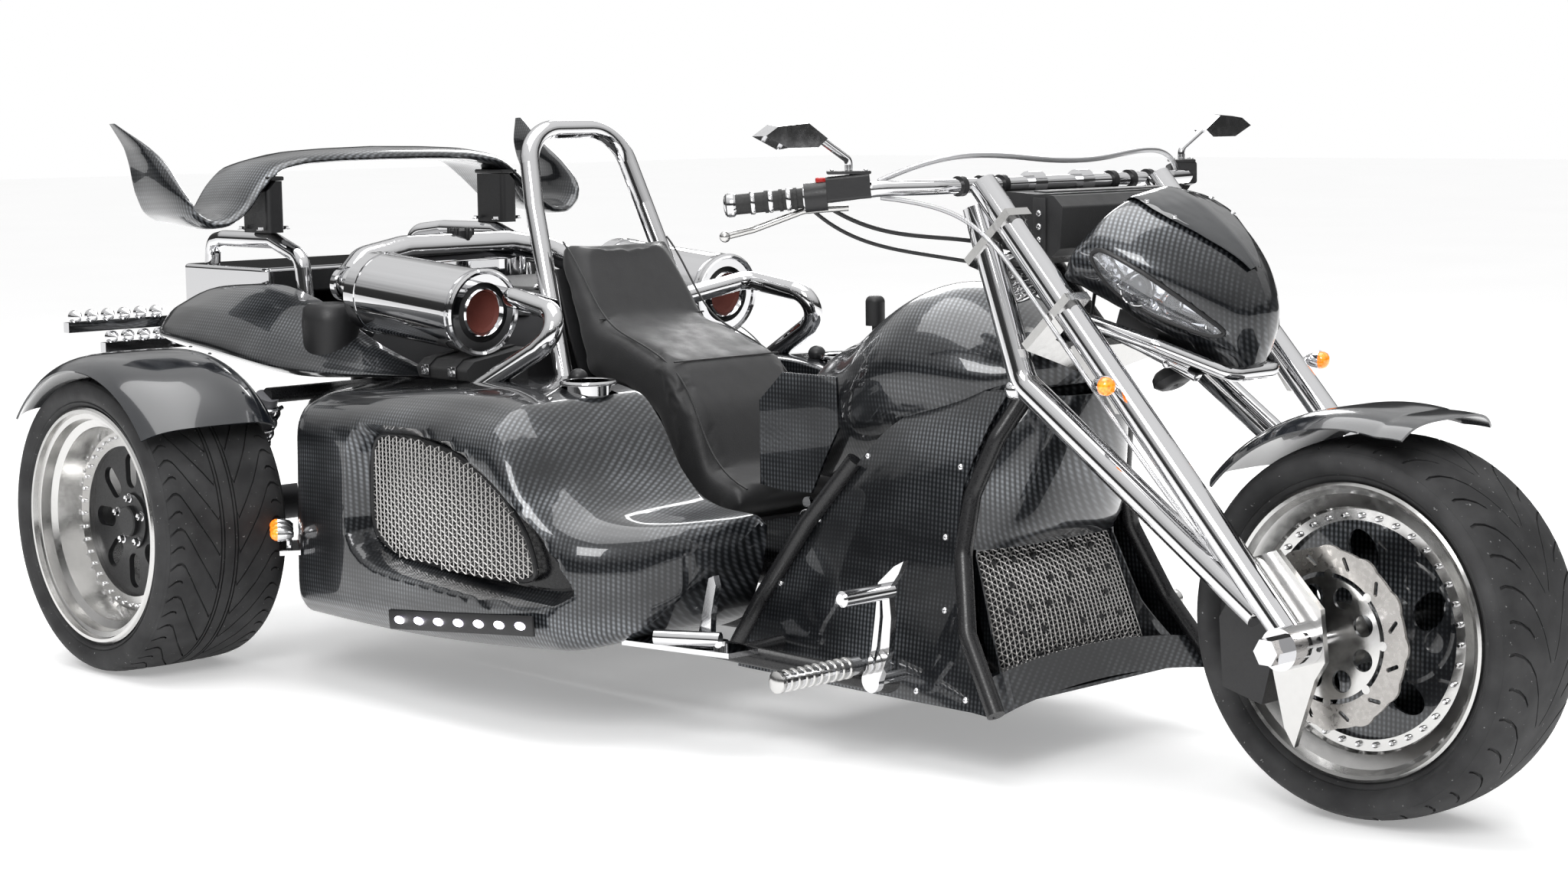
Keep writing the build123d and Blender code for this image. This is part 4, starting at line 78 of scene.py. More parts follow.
def coordinates(tree, scale=(1, 1, 1), rotation=(0, 0, 0), source="Object"):
    """Object coordinates through a mapping."""
    place = tree.nodes.new("ShaderNodeTexCoord")
    mapping = tree.nodes.new("ShaderNodeMapping")
    mapping.inputs["Scale"].default_value = scale
    mapping.inputs["Rotation"].default_value = rotation
    tree.links.new(place.outputs[source], mapping.inputs["Vector"])
    return mapping.outputs["Vector"]


def noise(tree, vector, scale, detail=4.0, rough=0.5):
    texture = tree.nodes.new("ShaderNodeTexNoise")
    texture.inputs["Scale"].default_value = scale
    texture.inputs["Detail"].default_value = detail
    texture.inputs["Roughness"].default_value = rough
    tree.links.new(vector, texture.inputs["Vector"])
    return texture.outputs["Fac"]


def ramp(tree, fac, stops):
    """A colour ramp; each stop is (position, grey or colour)."""
    node = tree.nodes.new("ShaderNodeValToRGB")
    elements = node.color_ramp.elements
    while len(elements) < len(stops):
        elements.new(0.5)
    for element, (place, colour) in zip(elements, stops):
        element.position = place
        element.color = (*colour, 1.0) if isinstance(colour, tuple) else (colour, colour, colour, 1.0)
    tree.links.new(fac, node.inputs["Fac"])
    return node.outputs["Color"]


def bump(tree, bsdf, height, strength, distance=0.001):
    """Raises the surface by a height texture."""
    node = tree.nodes.new("ShaderNodeBump")
    node.inputs["Strength"].default_value = strength
    node.inputs["Distance"].default_value = distance
    tree.links.new(height, node.inputs["Height"])
    tree.links.new(node.outputs["Normal"], bsdf.inputs["Normal"])


def mixed(tree, first, second, fac):
    """Two colours, or sockets, mixed by a factor."""
    node = tree.nodes.new("ShaderNodeMix")
    node.data_type = "RGBA"
    sockets = {"Factor": node.inputs[0], "A": node.inputs[6], "B": node.inputs[7]}
    for key, value in (("Factor", fac), ("A", first), ("B", second)):
        if isinstance(value, bpy.types.NodeSocket):
            tree.links.new(value, sockets[key])
        elif key == "Factor":
            sockets[key].default_value = value
        else:
            sockets[key].default_value = (*value, 1.0)
    return node.outputs[2]


def math_node(tree, operation, first, second):
    node = tree.nodes.new("ShaderNodeMath")
    node.operation = operation
    for index, value in enumerate((first, second)):
        if isinstance(value, bpy.types.NodeSocket):
            tree.links.new(value, node.inputs[index])
        else:
            node.inputs[index].default_value = value
    return node.outputs[0]


def coat(bsdf):
    """A smooth clear coat over the finish."""
    bsdf.inputs["Coat Weight"].default_value = 1.0
    bsdf.inputs["Coat Roughness"].default_value = 0.03


def glow(bsdf, strength):
    bsdf.inputs["Emission Strength"].default_value = strength


def wave(tree, vector, scale, direction="DIAGONAL"):
    node = tree.nodes.new("ShaderNodeTexWave")
    node.bands_direction = direction
    node.inputs["Scale"].default_value = scale
    tree.links.new(vector, node.inputs["Vector"])
    return node.outputs["Fac"]


def carbon_weave():
    """Clear-coated weave: two crossing sets of threads, painted brighter in noise patches, a painted sheen standing in
    for light off the turning cloth.
    """
    # light is the brightest grey of the painted sheen on the threads.
    dark, light = (0.006, 0.007, 0.009), (0.20, 0.215, 0.235)
    thread_pitch, thread_turn = 0.0085, 0.40
    material, tree, bsdf = shader("Carbon_weave", dark, 0.55, 0.3)
    step = math.tau / 20.0 / thread_pitch
    warp = wave(tree, coordinates(tree, rotation=(0, 0, -thread_turn)), step, "X")
    weft = wave(tree, coordinates(tree, rotation=(thread_turn, 0, 0)), step, "Z")
    over = math_node(tree, "ADD", math_node(tree, "MULTIPLY", weft, 0.6), 0.4)
    threads = math_node(tree, "MULTIPLY", warp, over)
    # Painted sheen: noise patches that lift the threads' colour towards the light grey.
    sheen_clouds = noise(tree, coordinates(tree, scale=(1.0, 1.0, 2.2)), 3.2, 3.0)
    painted_sheen_patches = ramp(tree, sheen_clouds, [(0.36, 0.10), (0.52, 0.42), (0.68, 1.0)])
    lit = math_node(tree, "MULTIPLY", threads, painted_sheen_patches)
    # The threads' colour runs from dark to the light grey, brightest where the painted sheen patches are.
    colour = ramp(tree, lit, [(0.04, dark), (0.30, tuple(c * 0.35 for c in light)), (0.85, light)])
    tree.links.new(colour, bsdf.inputs["Base Color"])
    coat(bsdf)
    bump(tree, bsdf, threads, 0.15, 0.0004)
    return material


def gloss_black():
    """Black paint with a faint fleck under its clear coat."""
    material, tree, bsdf = shader("Gloss_black_paint", (0.006, 0.007, 0.010), 0.0, 0.18)
    fleck = noise(tree, coordinates(tree), 900.0, 2.0)
    colour = ramp(tree, fleck, [(0.45, (0.004, 0.005, 0.007)), (0.75, (0.02, 0.024, 0.032))])
    tree.links.new(colour, bsdf.inputs["Base Color"])
    coat(bsdf)
    return material


def satin_black(name="Satin_black", colour=(0.012, 0.012, 0.013), roughness=0.42):
    """A satin coat with a fine grain in its gloss and height."""
    material, tree, bsdf = shader(name, colour, 0.0, roughness)
    grain = noise(tree, coordinates(tree), 260.0, 5.0)
    tree.links.new(ramp(tree, grain, [(0.3, roughness - 0.08), (0.7, roughness + 0.1)]), bsdf.inputs["Roughness"])
    bump(tree, bsdf, grain, 0.15, 0.0004)
    return material


def polished(name, colour, roughness, smear=0.03, grain=60.0):
    """Bright metal with faint handling marks in its gloss."""
    material, tree, bsdf = shader(name, colour, 1.0, roughness)
    marks = noise(tree, coordinates(tree), grain, 6.0, 0.6)
    tree.links.new(ramp(tree, marks, [(0.35, roughness), (0.8, roughness + smear)]), bsdf.inputs["Roughness"])
    return material


def brushed():
    """Steel with fine brushed lines."""
    material, tree, bsdf = shader("Brushed_steel", (0.40, 0.385, 0.37), 1.0, 0.28)
    lines = noise(tree, coordinates(tree, scale=(20, 400, 20)), 6.0, 3.0)
    tree.links.new(ramp(tree, lines, [(0.3, 0.2), (0.75, 0.42)]), bsdf.inputs["Roughness"])
    return material


def tyre_rubber():
    """Dull rubber with dust in clouds and small pale flecks."""
    material, tree, bsdf = shader("Tyre_rubber", (0.018, 0.018, 0.019), 0.0, 0.72)
    clouds = noise(tree, coordinates(tree), 14.0, 6.0)
    dust = ramp(tree, clouds, [(0.35, (0.012, 0.012, 0.013)), (0.75, (0.04, 0.04, 0.041))])
    flecks = ramp(tree, noise(tree, coordinates(tree), 120.0, 2.0, 0.7), [(0.70, 0.0), (0.76, 1.0)])
    tree.links.new(mixed(tree, dust, (0.22, 0.22, 0.22), flecks), bsdf.inputs["Base Color"])
    bump(tree, bsdf, noise(tree, coordinates(tree), 700.0, 3.0), 0.25, 0.0005)
    return material


def leather():
    """Black leather: fine cells over broad, soft creases."""
    material, tree, bsdf = shader("Black_leather", (0.014, 0.014, 0.015), 0.0, 0.55)
    cells = tree.nodes.new("ShaderNodeTexVoronoi")
    cells.inputs["Scale"].default_value = 420.0
    tree.links.new(coordinates(tree), cells.inputs["Vector"])
    crease = noise(tree, coordinates(tree), 26.0, 5.0)
    tree.links.new(ramp(tree, crease, [(0.3, 0.46), (0.75, 0.66)]), bsdf.inputs["Roughness"])
    height = math_node(tree, "ADD", math_node(tree, "MULTIPLY", cells.outputs["Distance"], 0.35), crease)
    bump(tree, bsdf, height, 0.35, 0.0012)
    bsdf.inputs["Sheen Weight"].default_value = 0.15
    return material


def cast_metal():
    material, tree, bsdf = shader("Cast_metal", (0.045, 0.045, 0.048), 0.6, 0.5)
    bump(tree, bsdf, noise(tree, coordinates(tree), 320.0, 4.0), 0.3, 0.0008)
    return material


def clear_lens():
    """Clear plastic with a faint ripple."""
    material, tree, bsdf = shader("Clear_lens", (0.95, 0.97, 1.0), 0.0, 0.02)
    bsdf.inputs["Transmission Weight"].default_value = 0.95
    bsdf.inputs["IOR"].default_value = 1.3
    coat(bsdf)
    bump(tree, bsdf, noise(tree, coordinates(tree), 60.0, 2.0), 0.05, 0.0004)
    return material


def amber_lens():
    """Lit amber plastic."""
    material, tree, bsdf = shader("Amber_lens", (1.0, 0.22, 0.01), 0.0, 0.12)
    coat(bsdf)
    bsdf.inputs["Emission Color"].default_value = (1.0, 0.2, 0.01, 1.0)
    glow(bsdf, 0.9)
    tone = noise(tree, coordinates(tree), 160.0, 2.0)
    tree.links.new(ramp(tree, tone, [(0.3, (0.9, 0.1, 0.0)), (0.7, (1.0, 0.4, 0.03))]), bsdf.inputs["Base Color"])
    return material


def braid():
    material, tree, bsdf = shader("Braided_steel", (0.55, 0.55, 0.56), 1.0, 0.3)
    bump(tree, bsdf, wave(tree, coordinates(tree), 160.0), 0.6, 0.0008)
    return material


def smoked():
    """The nacelle's dark see-through screen."""
    material, tree, bsdf = shader("Smoked_screen", (0.010, 0.012, 0.015), 0.0, 0.05)
    tone = noise(tree, coordinates(tree), 30.0, 2.0)
    tree.links.new(ramp(tree, tone, [(0.3, 0.04), (0.8, 0.10)]), bsdf.inputs["Roughness"])
    coat(bsdf)
    return material


def red_lens():
    material, tree, bsdf = shader("Red_reflector", (0.35, 0.035, 0.012), 0.0, 0.15)
    bump(tree, bsdf, noise(tree, coordinates(tree), 700.0, 1.0), 0.5, 0.0006)
    coat(bsdf)
    return material


def glow_dots():
    """Small violet-white lamps."""
    material, tree, bsdf = shader("Violet_white_light", (0.9, 0.88, 1.0), 0.0, 0.3)
    tone = noise(tree, coordinates(tree), 90.0, 1.0)
    colour = ramp(tree, tone, [(0.3, (0.70, 0.62, 1.0)), (0.6, (1.0, 0.97, 1.0))])
    tree.links.new(colour, bsdf.inputs["Emission Color"])
    glow(bsdf, 7.0)
    return material


def light_strip():
    """The record's light strips, seen where no dots stand for them."""
    material, tree, bsdf = shader("Light_strip", (0.75, 0.75, 0.95), 0.0, 0.2)
    dots = tree.nodes.new("ShaderNodeTexVoronoi")
    dots.inputs["Scale"].default_value = 22.0
    tree.links.new(coordinates(tree), dots.inputs["Vector"])
    colour = ramp(tree, dots.outputs["Distance"], [(0.1, (1.0, 1.0, 1.0)), (0.5, (0.5, 0.45, 0.8))])
    tree.links.new(colour, bsdf.inputs["Emission Color"])
    glow(bsdf, 2.2)
    return material


def gauze():
    material, tree, bsdf = shader("Red_gauze", (0.14, 0.03, 0.02), 0.2, 0.6)
    bump(tree, bsdf, noise(tree, coordinates(tree), 500.0, 2.0), 0.6, 0.001)
    return material


finishes = {}
# Finishes that go by another name in the record's slots, and the other way round.
NODE_FINISHES = {"cover_black": "satin_black"}


def finish(name):
    """Makes each finish once, when a piece first asks for it."""
    if name not in finishes:
        makers = {
            "carbon": carbon_weave,
            "gloss_black": gloss_black,
            "satin_black": satin_black,
            "frame_black": lambda: satin_black("Frame_black", (0.010, 0.010, 0.011), 0.3),
            "chrome": lambda: polished("Polished_chrome", (0.70, 0.70, 0.71), 0.04),
            "aluminium": lambda: polished("Polished_aluminium", (0.58, 0.575, 0.565), 0.16, 0.12),
            "brushed": brushed,
            "mesh": lambda: polished("Mesh_steel", (0.62, 0.61, 0.60), 0.3, 0.15, 300.0),
            "tyre": tyre_rubber,
            "leather": leather,
            "cast_metal": cast_metal,
            "clear_glass": clear_lens,
            "amber": amber_lens,
            "light_strip": light_strip,
            "gauze": gauze,
            "recess_black": lambda: satin_black("Recess_black", (0.006, 0.006, 0.007), 0.24),
            "smoked": smoked,
            "dark_glass": lambda: satin_black("Dark_glass", (0.02, 0.022, 0.026), 0.06),
            "red_lens": red_lens,
            "glow_dots": glow_dots,
            "red_plastic": lambda: satin_black("Red_plastic", (0.55, 0.01, 0.008), 0.3),
            "braid": braid,
            "grip_rubber": lambda: satin_black("Grip_rubber", (0.012, 0.012, 0.012), 0.6),
            "grey_metal": lambda: satin_black("Grey_metal", (0.16, 0.16, 0.17), 0.35),
        }
        finishes[name] = makers[name]()
    return finishes[name]


def paint_nodes():
    """Gives every CAD node the finish of its record slot."""
    slots = {part["node"]: part["material_slot"] for part in frame["record"]["subparts"]}
    for node, obj in frame["nodes"].items():
        slot = slots[node]
        obj.data.materials.clear()
        obj.data.materials.append(finish(NODE_FINISHES.get(slot, slot)))


# ---------------------------------------------------------------- bench
MERGE = 0.00002


def clear():
    bpy.ops.object.select_all(action="DESELECT")


def take(*objects):
    """Selects these objects alone and makes the first active."""
    clear()
    for obj in objects:
        obj.select_set(True)
    bpy.context.view_layer.objects.active = objects[0]
    return objects[0]


def pick(obj, kind, test):
    """In edit mode, selects the faces, edges or vertices that pass the test."""
    mesh = bmesh.from_edit_mesh(obj.data)
    bpy.ops.mesh.select_all(action="DESELECT")
    bpy.ops.mesh.select_mode(type={"faces": "FACE", "edges": "EDGE", "verts": "VERT"}[kind])
    for item in getattr(mesh, kind):
        item.select = bool(test(item))
    mesh.select_flush_mode()
    bmesh.update_edit_mesh(obj.data)


def middle(face):
    return face.calc_center_median()


def edit(on=True):
    bpy.ops.object.mode_set(mode="EDIT" if on else "OBJECT")


def cleaned(obj, merge=MERGE):
    """Merges doubles and turns the faces outwards."""
    take(obj)
    edit()
    bpy.ops.mesh.select_all(action="SELECT")
    bpy.ops.mesh.remove_doubles(threshold=merge)
    bpy.ops.mesh.normals_make_consistent(inside=False)
    edit(False)
    return obj


def modified(obj, kind, **values):
    """Adds a modifier and applies it."""
    take(obj)
    modifier = obj.modifiers.new(kind.title(), kind)
    for key, value in values.items():
        setattr(modifier, key, value)
    bpy.ops.object.modifier_apply(modifier=modifier.name)
    return obj


def settled(obj, name, material, body, smooth=SMOOTH, stands_for=()):
    """Puts the place in the mesh, names, finishes and hangs the piece on its body."""
    take(obj)
    bpy.ops.object.transform_apply(location=True, rotation=True, scale=True)
    bpy.context.scene.cursor.location = (0, 0, 0)
    bpy.ops.object.origin_set(type="ORIGIN_CURSOR")
    obj.name = name
    obj.data.name = name
    if smooth:
        bpy.ops.object.shade_smooth_by_angle(angle=math.radians(smooth))
    if material is not None:
        obj.data.materials.clear()
        obj.data.materials.append(finish(material))
        obj.data.polygons.foreach_set("material_index", [0] * len(obj.data.polygons))
    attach(obj, body)
    if stands_for:
        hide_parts(*stands_for)
    return obj


def joined(objects):
    """One object from several."""
    take(*objects)
    if len(objects) > 1:
        bpy.ops.object.join()
    return bpy.context.view_layer.objects.active


def spread(master, places):
    """Copies a modelled piece, with its own mesh, to each place, and joins the copies."""
    made = []
    for place in places:
        other = master.copy()
        other.data = master.data.copy()
        other.matrix_world = place @ master.matrix_world
        bpy.context.collection.objects.link(other)
        take(other)
        bpy.ops.object.transform_apply(location=True, rotation=True, scale=True)
        made.append(other)
    bpy.data.objects.remove(master)
    return joined(made)


def facing(spot, normal, turn=0.0):
    """A placement at a spot with its +Z along a normal."""
    upright = Vector(normal).to_track_quat("Z", "Y").to_matrix().to_4x4()
    return Matrix.Translation(spot) @ upright @ Matrix.Rotation(turn, 4, "Z")


def handed(spot, side):
    """The same place on the right (-1) or left (1)."""
    return Vector((spot[0], side * abs(spot[1]), spot[2]))


def hex_bolt(radius, height):
    """A hexagon head with a rounded rim, a dished top and its washer."""
    clear()
    bpy.ops.mesh.primitive_cylinder_add(vertices=6, radius=radius, depth=height, location=(0, 0, height / 2))
    bolt = bpy.context.object
    edit()
    pick(bolt, "faces", lambda f: f.normal.z > 0.9)
    bpy.ops.mesh.inset(thickness=radius * 0.18, depth=radius * 0.12)
    bpy.ops.mesh.inset(thickness=radius * 0.2, depth=-radius * 0.1)
    edit(False)
    bpy.ops.mesh.primitive_cylinder_add(
        vertices=16, radius=radius * 1.35, depth=height * 0.22, location=(0, 0, height * 0.1)
    )
    washer = bpy.context.object
    edit()
    pick(washer, "faces", lambda f: f.normal.z > 0.9)
    bpy.ops.mesh.inset(thickness=radius * 0.12, depth=height * 0.05)
    edit(False)
    return joined([bolt, washer])


def round_bolt(radius, height, socket=True, vertices=14):
    """A domed head, with a hexagon socket where it is large."""
    clear()
    bpy.ops.mesh.primitive_cylinder_add(
        vertices=vertices, radius=radius, depth=height * 0.5, location=(0, 0, height * 0.25)
    )
    bolt = bpy.context.object
    edit()
    pick(bolt, "faces", lambda f: f.normal.z > 0.9)
    bpy.ops.mesh.inset(thickness=radius * 0.18, depth=height * 0.3)
    bpy.ops.mesh.inset(thickness=radius * 0.3, depth=height * 0.2)
    if socket:
        bpy.ops.mesh.inset(thickness=radius * 0.1, depth=-height * 0.5)
    edit(False)
    return bolt


def ring(count, radius, spot, normal=(0, -1, 0), start=0.0):
    """Placements round an axle that lies along Y."""
    places = []
    for index in range(count):
        angle = start + math.tau * index / count
        offset = Vector((math.cos(angle) * radius, 0, math.sin(angle) * radius))
        places.append(facing(Vector(spot) + offset, normal, angle))
    return places


def hose(points, radius, sides=10, cyclic=False):
    """A round tube along a smooth line through guide points."""
    curve = bpy.data.curves.new("Hose", "CURVE")
    curve.dimensions = "3D"
    curve.bevel_depth = radius
    curve.bevel_resolution = max(1, sides // 4)
    curve.use_fill_caps = True
    spline = curve.splines.new("NURBS")
    spline.points.add(len(points) - 1)
    for point, spot in zip(spline.points, points):
        point.co = (*spot, 1.0)
    spline.use_cyclic_u = cyclic
    spline.order_u = 4 if len(points) > 3 else 3
    spline.use_endpoint_u = not cyclic
    spline.resolution_u = 8
    obj = bpy.data.objects.new("Hose", curve)
    bpy.context.collection.objects.link(obj)
    take(obj)
    bpy.ops.object.convert(target="MESH")
    return bpy.context.object


def revolved(points, spot, steps):
    """Spins an outline of (along, out) points about an axle along Y."""
    clear()
    bpy.ops.mesh.primitive_plane_add(size=0.01)
    obj = bpy.context.object
    edit()
    mesh = bmesh.from_edit_mesh(obj.data)
    bmesh.ops.delete(mesh, geom=list(mesh.verts), context="VERTS")
    corners = [mesh.verts.new((spot[0], spot[1] + along, spot[2] + out)) for along, out in points]
    for first, second in zip(corners, corners[1:]):
        mesh.edges.new((first, second))
    bmesh.update_edit_mesh(obj.data)
    bpy.ops.mesh.select_all(action="SELECT")
    bpy.ops.mesh.spin(steps=steps, angle=math.tau, center=spot, axis=(0, 1, 0))
    edit(False)
    return cleaned(obj)


def level(points, value):
    """The height of an outline at a value, on straight runs between its points."""
    for (x0, y0), (x1, y1) in zip(points, points[1:]):
        if x0 <= value <= x1:
            share = (value - x0) / (x1 - x0)
            return y0 + (y1 - y0) * share
    return points[-1][1] if value > points[-1][0] else points[0][1]


# ---------------------------------------------------------------- smooth forms
def curve(points, value):
    """A smooth height through an outline's points, without overshoot."""
    if value <= points[0][0]:
        return points[0][1]
    if value >= points[-1][0]:
        return points[-1][1]
    rises = [(b[1] - a[1]) / (b[0] - a[0]) for a, b in zip(points, points[1:])]
    leans = [rises[0]]
    for before, after in zip(rises, rises[1:]):
        leans.append(0.0 if before * after <= 0 else 2 * before * after / (before + after))
    leans.append(rises[-1])
    index = next(i for i in range(len(rises)) if value <= points[i + 1][0])
    (x0, y0), (x1, y1) = points[index], points[index + 1]
    width = x1 - x0
    t = (value - x0) / width
    near = (1 + 2 * t) * (1 - t) ** 2 * y0 + t * (1 - t) ** 2 * width * leans[index]
    far = t * t * (3 - 2 * t) * y1 + t * t * (t - 1) * width * leans[index + 1]
    return near + far


def eased(value):
    """0 to 1 with a soft start and end."""
    value = min(1.0, max(0.0, value))
    return value * value * (3 - 2 * value)


def inside_by(outline, x, z):
    """How far a point lies inside a closed outline; negative outside."""
    nearest, is_in = 1e9, False
    for (x0, z0), (x1, z1) in zip(outline, outline[1:] + outline[:1]):
        if (z0 > z) != (z1 > z) and x < (x1 - x0) * (z - z0) / (z1 - z0) + x0:
            is_in = not is_in
        run = (x1 - x0) ** 2 + (z1 - z0) ** 2
        share = min(1.0, max(0.0, ((x - x0) * (x1 - x0) + (z - z0) * (z1 - z0)) / run))
        nearest = min(nearest, math.hypot(x - x0 - share * (x1 - x0), z - z0 - share * (z1 - z0)))
    return nearest if is_in else -nearest


def softened(outline, per_corner=5):
    """A closed outline with its corners rounded off."""
    points = []
    count = len(outline)
    for index, corner in enumerate(outline):
        here = Vector(corner)
        before = here.lerp(Vector(outline[index - 1]), 0.33)
        after = here.lerp(Vector(outline[(index + 1) % count]), 0.33)
        for step in range(per_corner + 1):
            t = step / per_corner
            points.append(tuple(before * (1 - t) ** 2 + here * 2 * t * (1 - t) + after * t * t))
    return points


def inset_line(outline, distance):
    """A closed outline moved inwards."""
    moved = []
    count = len(outline)
    for index, (x, z) in enumerate(outline):
        before, after = Vector(outline[index - 2]), Vector(outline[(index + 2) % count])
        way = (after - before).normalized()
        spot = Vector((x, z)) + Vector((way.y, -way.x)) * distance
        if inside_by(outline, spot.x, spot.y) < 0:
            spot = Vector((x, z)) - Vector((way.y, -way.x)) * distance
        if inside_by(outline, spot.x, spot.y) > distance * 0.8:
            moved.append((spot.x, spot.y))
    return moved


def bent(corners, radius, runs, turn=5):
    """Points along a broken line with rounded corners, the same count for every such line."""
    places = [Vector(corners[0])]
    last = len(corners) - 1
    for index in range(1, last + 1):
        here = Vector(corners[index])
        back = places[-1] - here
        entry = here
        if index < last:
            entry = here + back.normalized() * min(radius[index], back.length * 0.45)
        start = places[-1]
        for step in range(1, runs[index - 1] + 1):
            places.append(start.lerp(entry, step / runs[index - 1]))
        if index < last:
            ahead = Vector(corners[index + 1]) - here
            leave = here + ahead.normalized() * min(radius[index], ahead.length * 0.45)
            for step in range(1, turn + 1):
                t = step / turn
                places.append(entry * (1 - t) ** 2 + here * 2 * t * (1 - t) + leave * t * t)
    return places


def laid(columns, rows, spot):
    """A grid whose corners go where spot puts each pair of shares; edges that meet are merged."""
    clear()
    bpy.ops.mesh.primitive_grid_add(x_subdivisions=columns, y_subdivisions=rows, size=2.0)
    grid = bpy.context.object
    for vert in grid.data.vertices:
        column = round((vert.co.x + 1) / 2 * columns)
        row = round((vert.co.y + 1) / 2 * rows)
        vert.co = spot(column / columns, row / rows)
    return cleaned(grid)


def capped(obj):
    """Closes the open ends of a form."""
    take(obj)
    edit()
    bpy.ops.mesh.select_all(action="SELECT")
    bpy.ops.mesh.fill_holes(sides=0)
    bpy.ops.mesh.select_all(action="SELECT")
    bpy.ops.mesh.normals_make_consistent(inside=False)
    edit(False)
    return obj


def walled(obj, thickness, offset=0.0):
    """Gives an open sheet its thickness."""
    modified(obj, "SOLIDIFY", thickness=thickness, offset=offset)
    return cleaned(obj)


def removed(obj, test):
    """Deletes the faces that pass a test."""
    take(obj)
    edit()
    pick(obj, "faces", test)
    bpy.ops.mesh.delete(type="FACE")
    edit(False)
    return obj


def parted(obj, test):
    """Takes the faces that pass a test into a piece of their own."""
    take(obj)
    edit()
    pick(obj, "faces", test)
    bpy.ops.mesh.separate(type="SELECTED")
    edit(False)
    return next(item for item in bpy.context.selected_objects if item is not obj)


def bar(start, end, radius, sides=16):
    """A straight round bar between two places."""
    start, end = Vector(start), Vector(end)
    clear()
    bpy.ops.mesh.primitive_cylinder_add(
        vertices=sides, radius=radius, depth=(end - start).length, location=(start + end) / 2
    )
    obj = bpy.context.object
    obj.rotation_mode = "QUATERNION"
    obj.rotation_quaternion = (end - start).to_track_quat("Z", "Y")
    modified(obj, "BEVEL", width=radius * 0.12, segments=2, limit_method="ANGLE")
    return obj


def box(centre, size, edge=0.002, turn=(0, 0, 0)):
    """A box with rounded edges."""
    clear()
    bpy.ops.mesh.primitive_cube_add(size=1.0, location=centre, rotation=turn)
    obj = bpy.context.object
    obj.scale = size
    bpy.ops.object.transform_apply(location=False, rotation=False, scale=True)
    modified(obj, "BEVEL", width=edge, segments=2)
    return obj


def ball(centre, radius, stretch=(1, 1, 1), segments=20, rings=10):
    """A round or stretched ball."""
    clear()
    bpy.ops.mesh.primitive_uv_sphere_add(
        segments=segments, ring_count=rings, radius=radius, location=centre, scale=stretch
    )
    return bpy.context.object


def coiled(foot, head, turns, radius, wire, sides):
    """A coil spring between two places, eight guide points to each turn."""
    way = (head - foot).normalized()
    lift = way.orthogonal().normalized() * radius
    steps = turns * 8
    points = [
        foot.lerp(head, step / steps) + Matrix.Rotation(math.tau * step / 8, 3, way) @ lift
        for step in range(steps + 1)
    ]
    return hose(points, wire, sides)


def turned(points, start, way, steps=24):
    """A turned piece: (along, out) points spun about a line through start."""
    obj = revolved(points, (0, 0, 0), steps)
    tilt = Vector((0, 1, 0)).rotation_difference(Vector(way))
    obj.matrix_world = Matrix.Translation(start) @ tilt.to_matrix().to_4x4()
    return obj


# ---------------------------------------------------------------- tyres
# Half sections of the tyres, as (across, out): the walls from the bead up, the crowns from the middle out.
REAR_WALL = [
    (0.1300, 0.2440), (0.1330, 0.2560), (0.1450, 0.2670), (0.1500, 0.2700), (0.1505, 0.2730), (0.1480, 0.2745),
    (0.1560, 0.2830), (0.1585, 0.2930), (0.1565, 0.3050), (0.1510, 0.3140), (0.1430, 0.3195),
]
REAR_CROWN = [
    (0.0, 0.3283), (0.040, 0.3280), (0.080, 0.3272), (0.111, 0.3258), (0.128, 0.3240), (0.141, 0.3210), (0.150, 0.3150)
]
FRONT_WALL = [
    (0.0835, 0.2440), (0.0860, 0.2560), (0.0950, 0.2640), (0.0975, 0.2665), (0.0965, 0.2690), (0.1080, 0.2740),
    (0.1170, 0.2840), (0.1195, 0.2940), (0.1170, 0.3030), (0.1110, 0.3095),
]
FRONT_CROWN = [
    (0.0, 0.3300), (0.020, 0.3297), (0.040, 0.3287), (0.060, 0.3266), (0.080, 0.3232), (0.095, 0.3188),
    (0.108, 0.3120), (0.113, 0.3080),
]


def casing(wall, crown, depth, spot):
    """The tyre's walls and the floor of its grooves, closed inside by its cavity."""
    top = [(along, out - depth) for along, out in reversed(crown) if along < wall[-1][0] - 0.004]
    half = wall + top
    outline = half + [(-along, out) for along, out in reversed(half[:-1])]
    inner_half = wall[0][0] - 0.012
    cavity = [(-inner_half, wall[0][1]), (-inner_half - 0.012, 0.285), (-inner_half * 0.7, 0.302)]
    cavity += [(inner_half * 0.7, 0.302), (inner_half + 0.012, 0.285), (inner_half, wall[0][1])]
    return revolved(outline + cavity + [outline[0]], spot, 120)


def tread(spot, crown, half, pitches, rows, columns, sweep, is_groove, depth):
    """Tread blocks: a grid whose blocks are raised, then laid round the tyre."""
    clear()
    count = pitches * len(columns)
    bpy.ops.mesh.primitive_grid_add(x_subdivisions=count, y_subdivisions=len(rows) - 1, size=2.0)
    grid = bpy.context.object
    mesh = grid.data
    flat = []
    for vert in mesh.vertices:
        column = round((vert.co.x + 1) / 2 * count)
        row = round((vert.co.y + 1) / 2 * (len(rows) - 1))
        pitch, station = divmod(column, len(columns))
        flat.append((pitch + columns[station] if station < len(columns) else pitch + 1.0, rows[row]))
    for vert, (along, across) in zip(mesh.vertices, flat):
        vert.co = (along, across, 0.0)
    edit()

    pick(grid, "faces", lambda f: not is_groove(middle(f).x % 1.0, middle(f).y))
    bpy.ops.mesh.extrude_region_move(TRANSFORM_OT_translate={"value": (0, 0, depth)})
    edit(False)
    for vert in mesh.vertices:
        along, across, height = vert.co
        angle = math.tau * (along + sweep(across)) / pitches
        out = level(crown, abs(across) * half) - depth + height
        if height < depth / 2:
            out -= 0.0004
        vert.co = (spot[0] + math.cos(angle) * out, spot[1] + across * half, spot[2] + math.sin(angle) * out)
    return cleaned(grid)


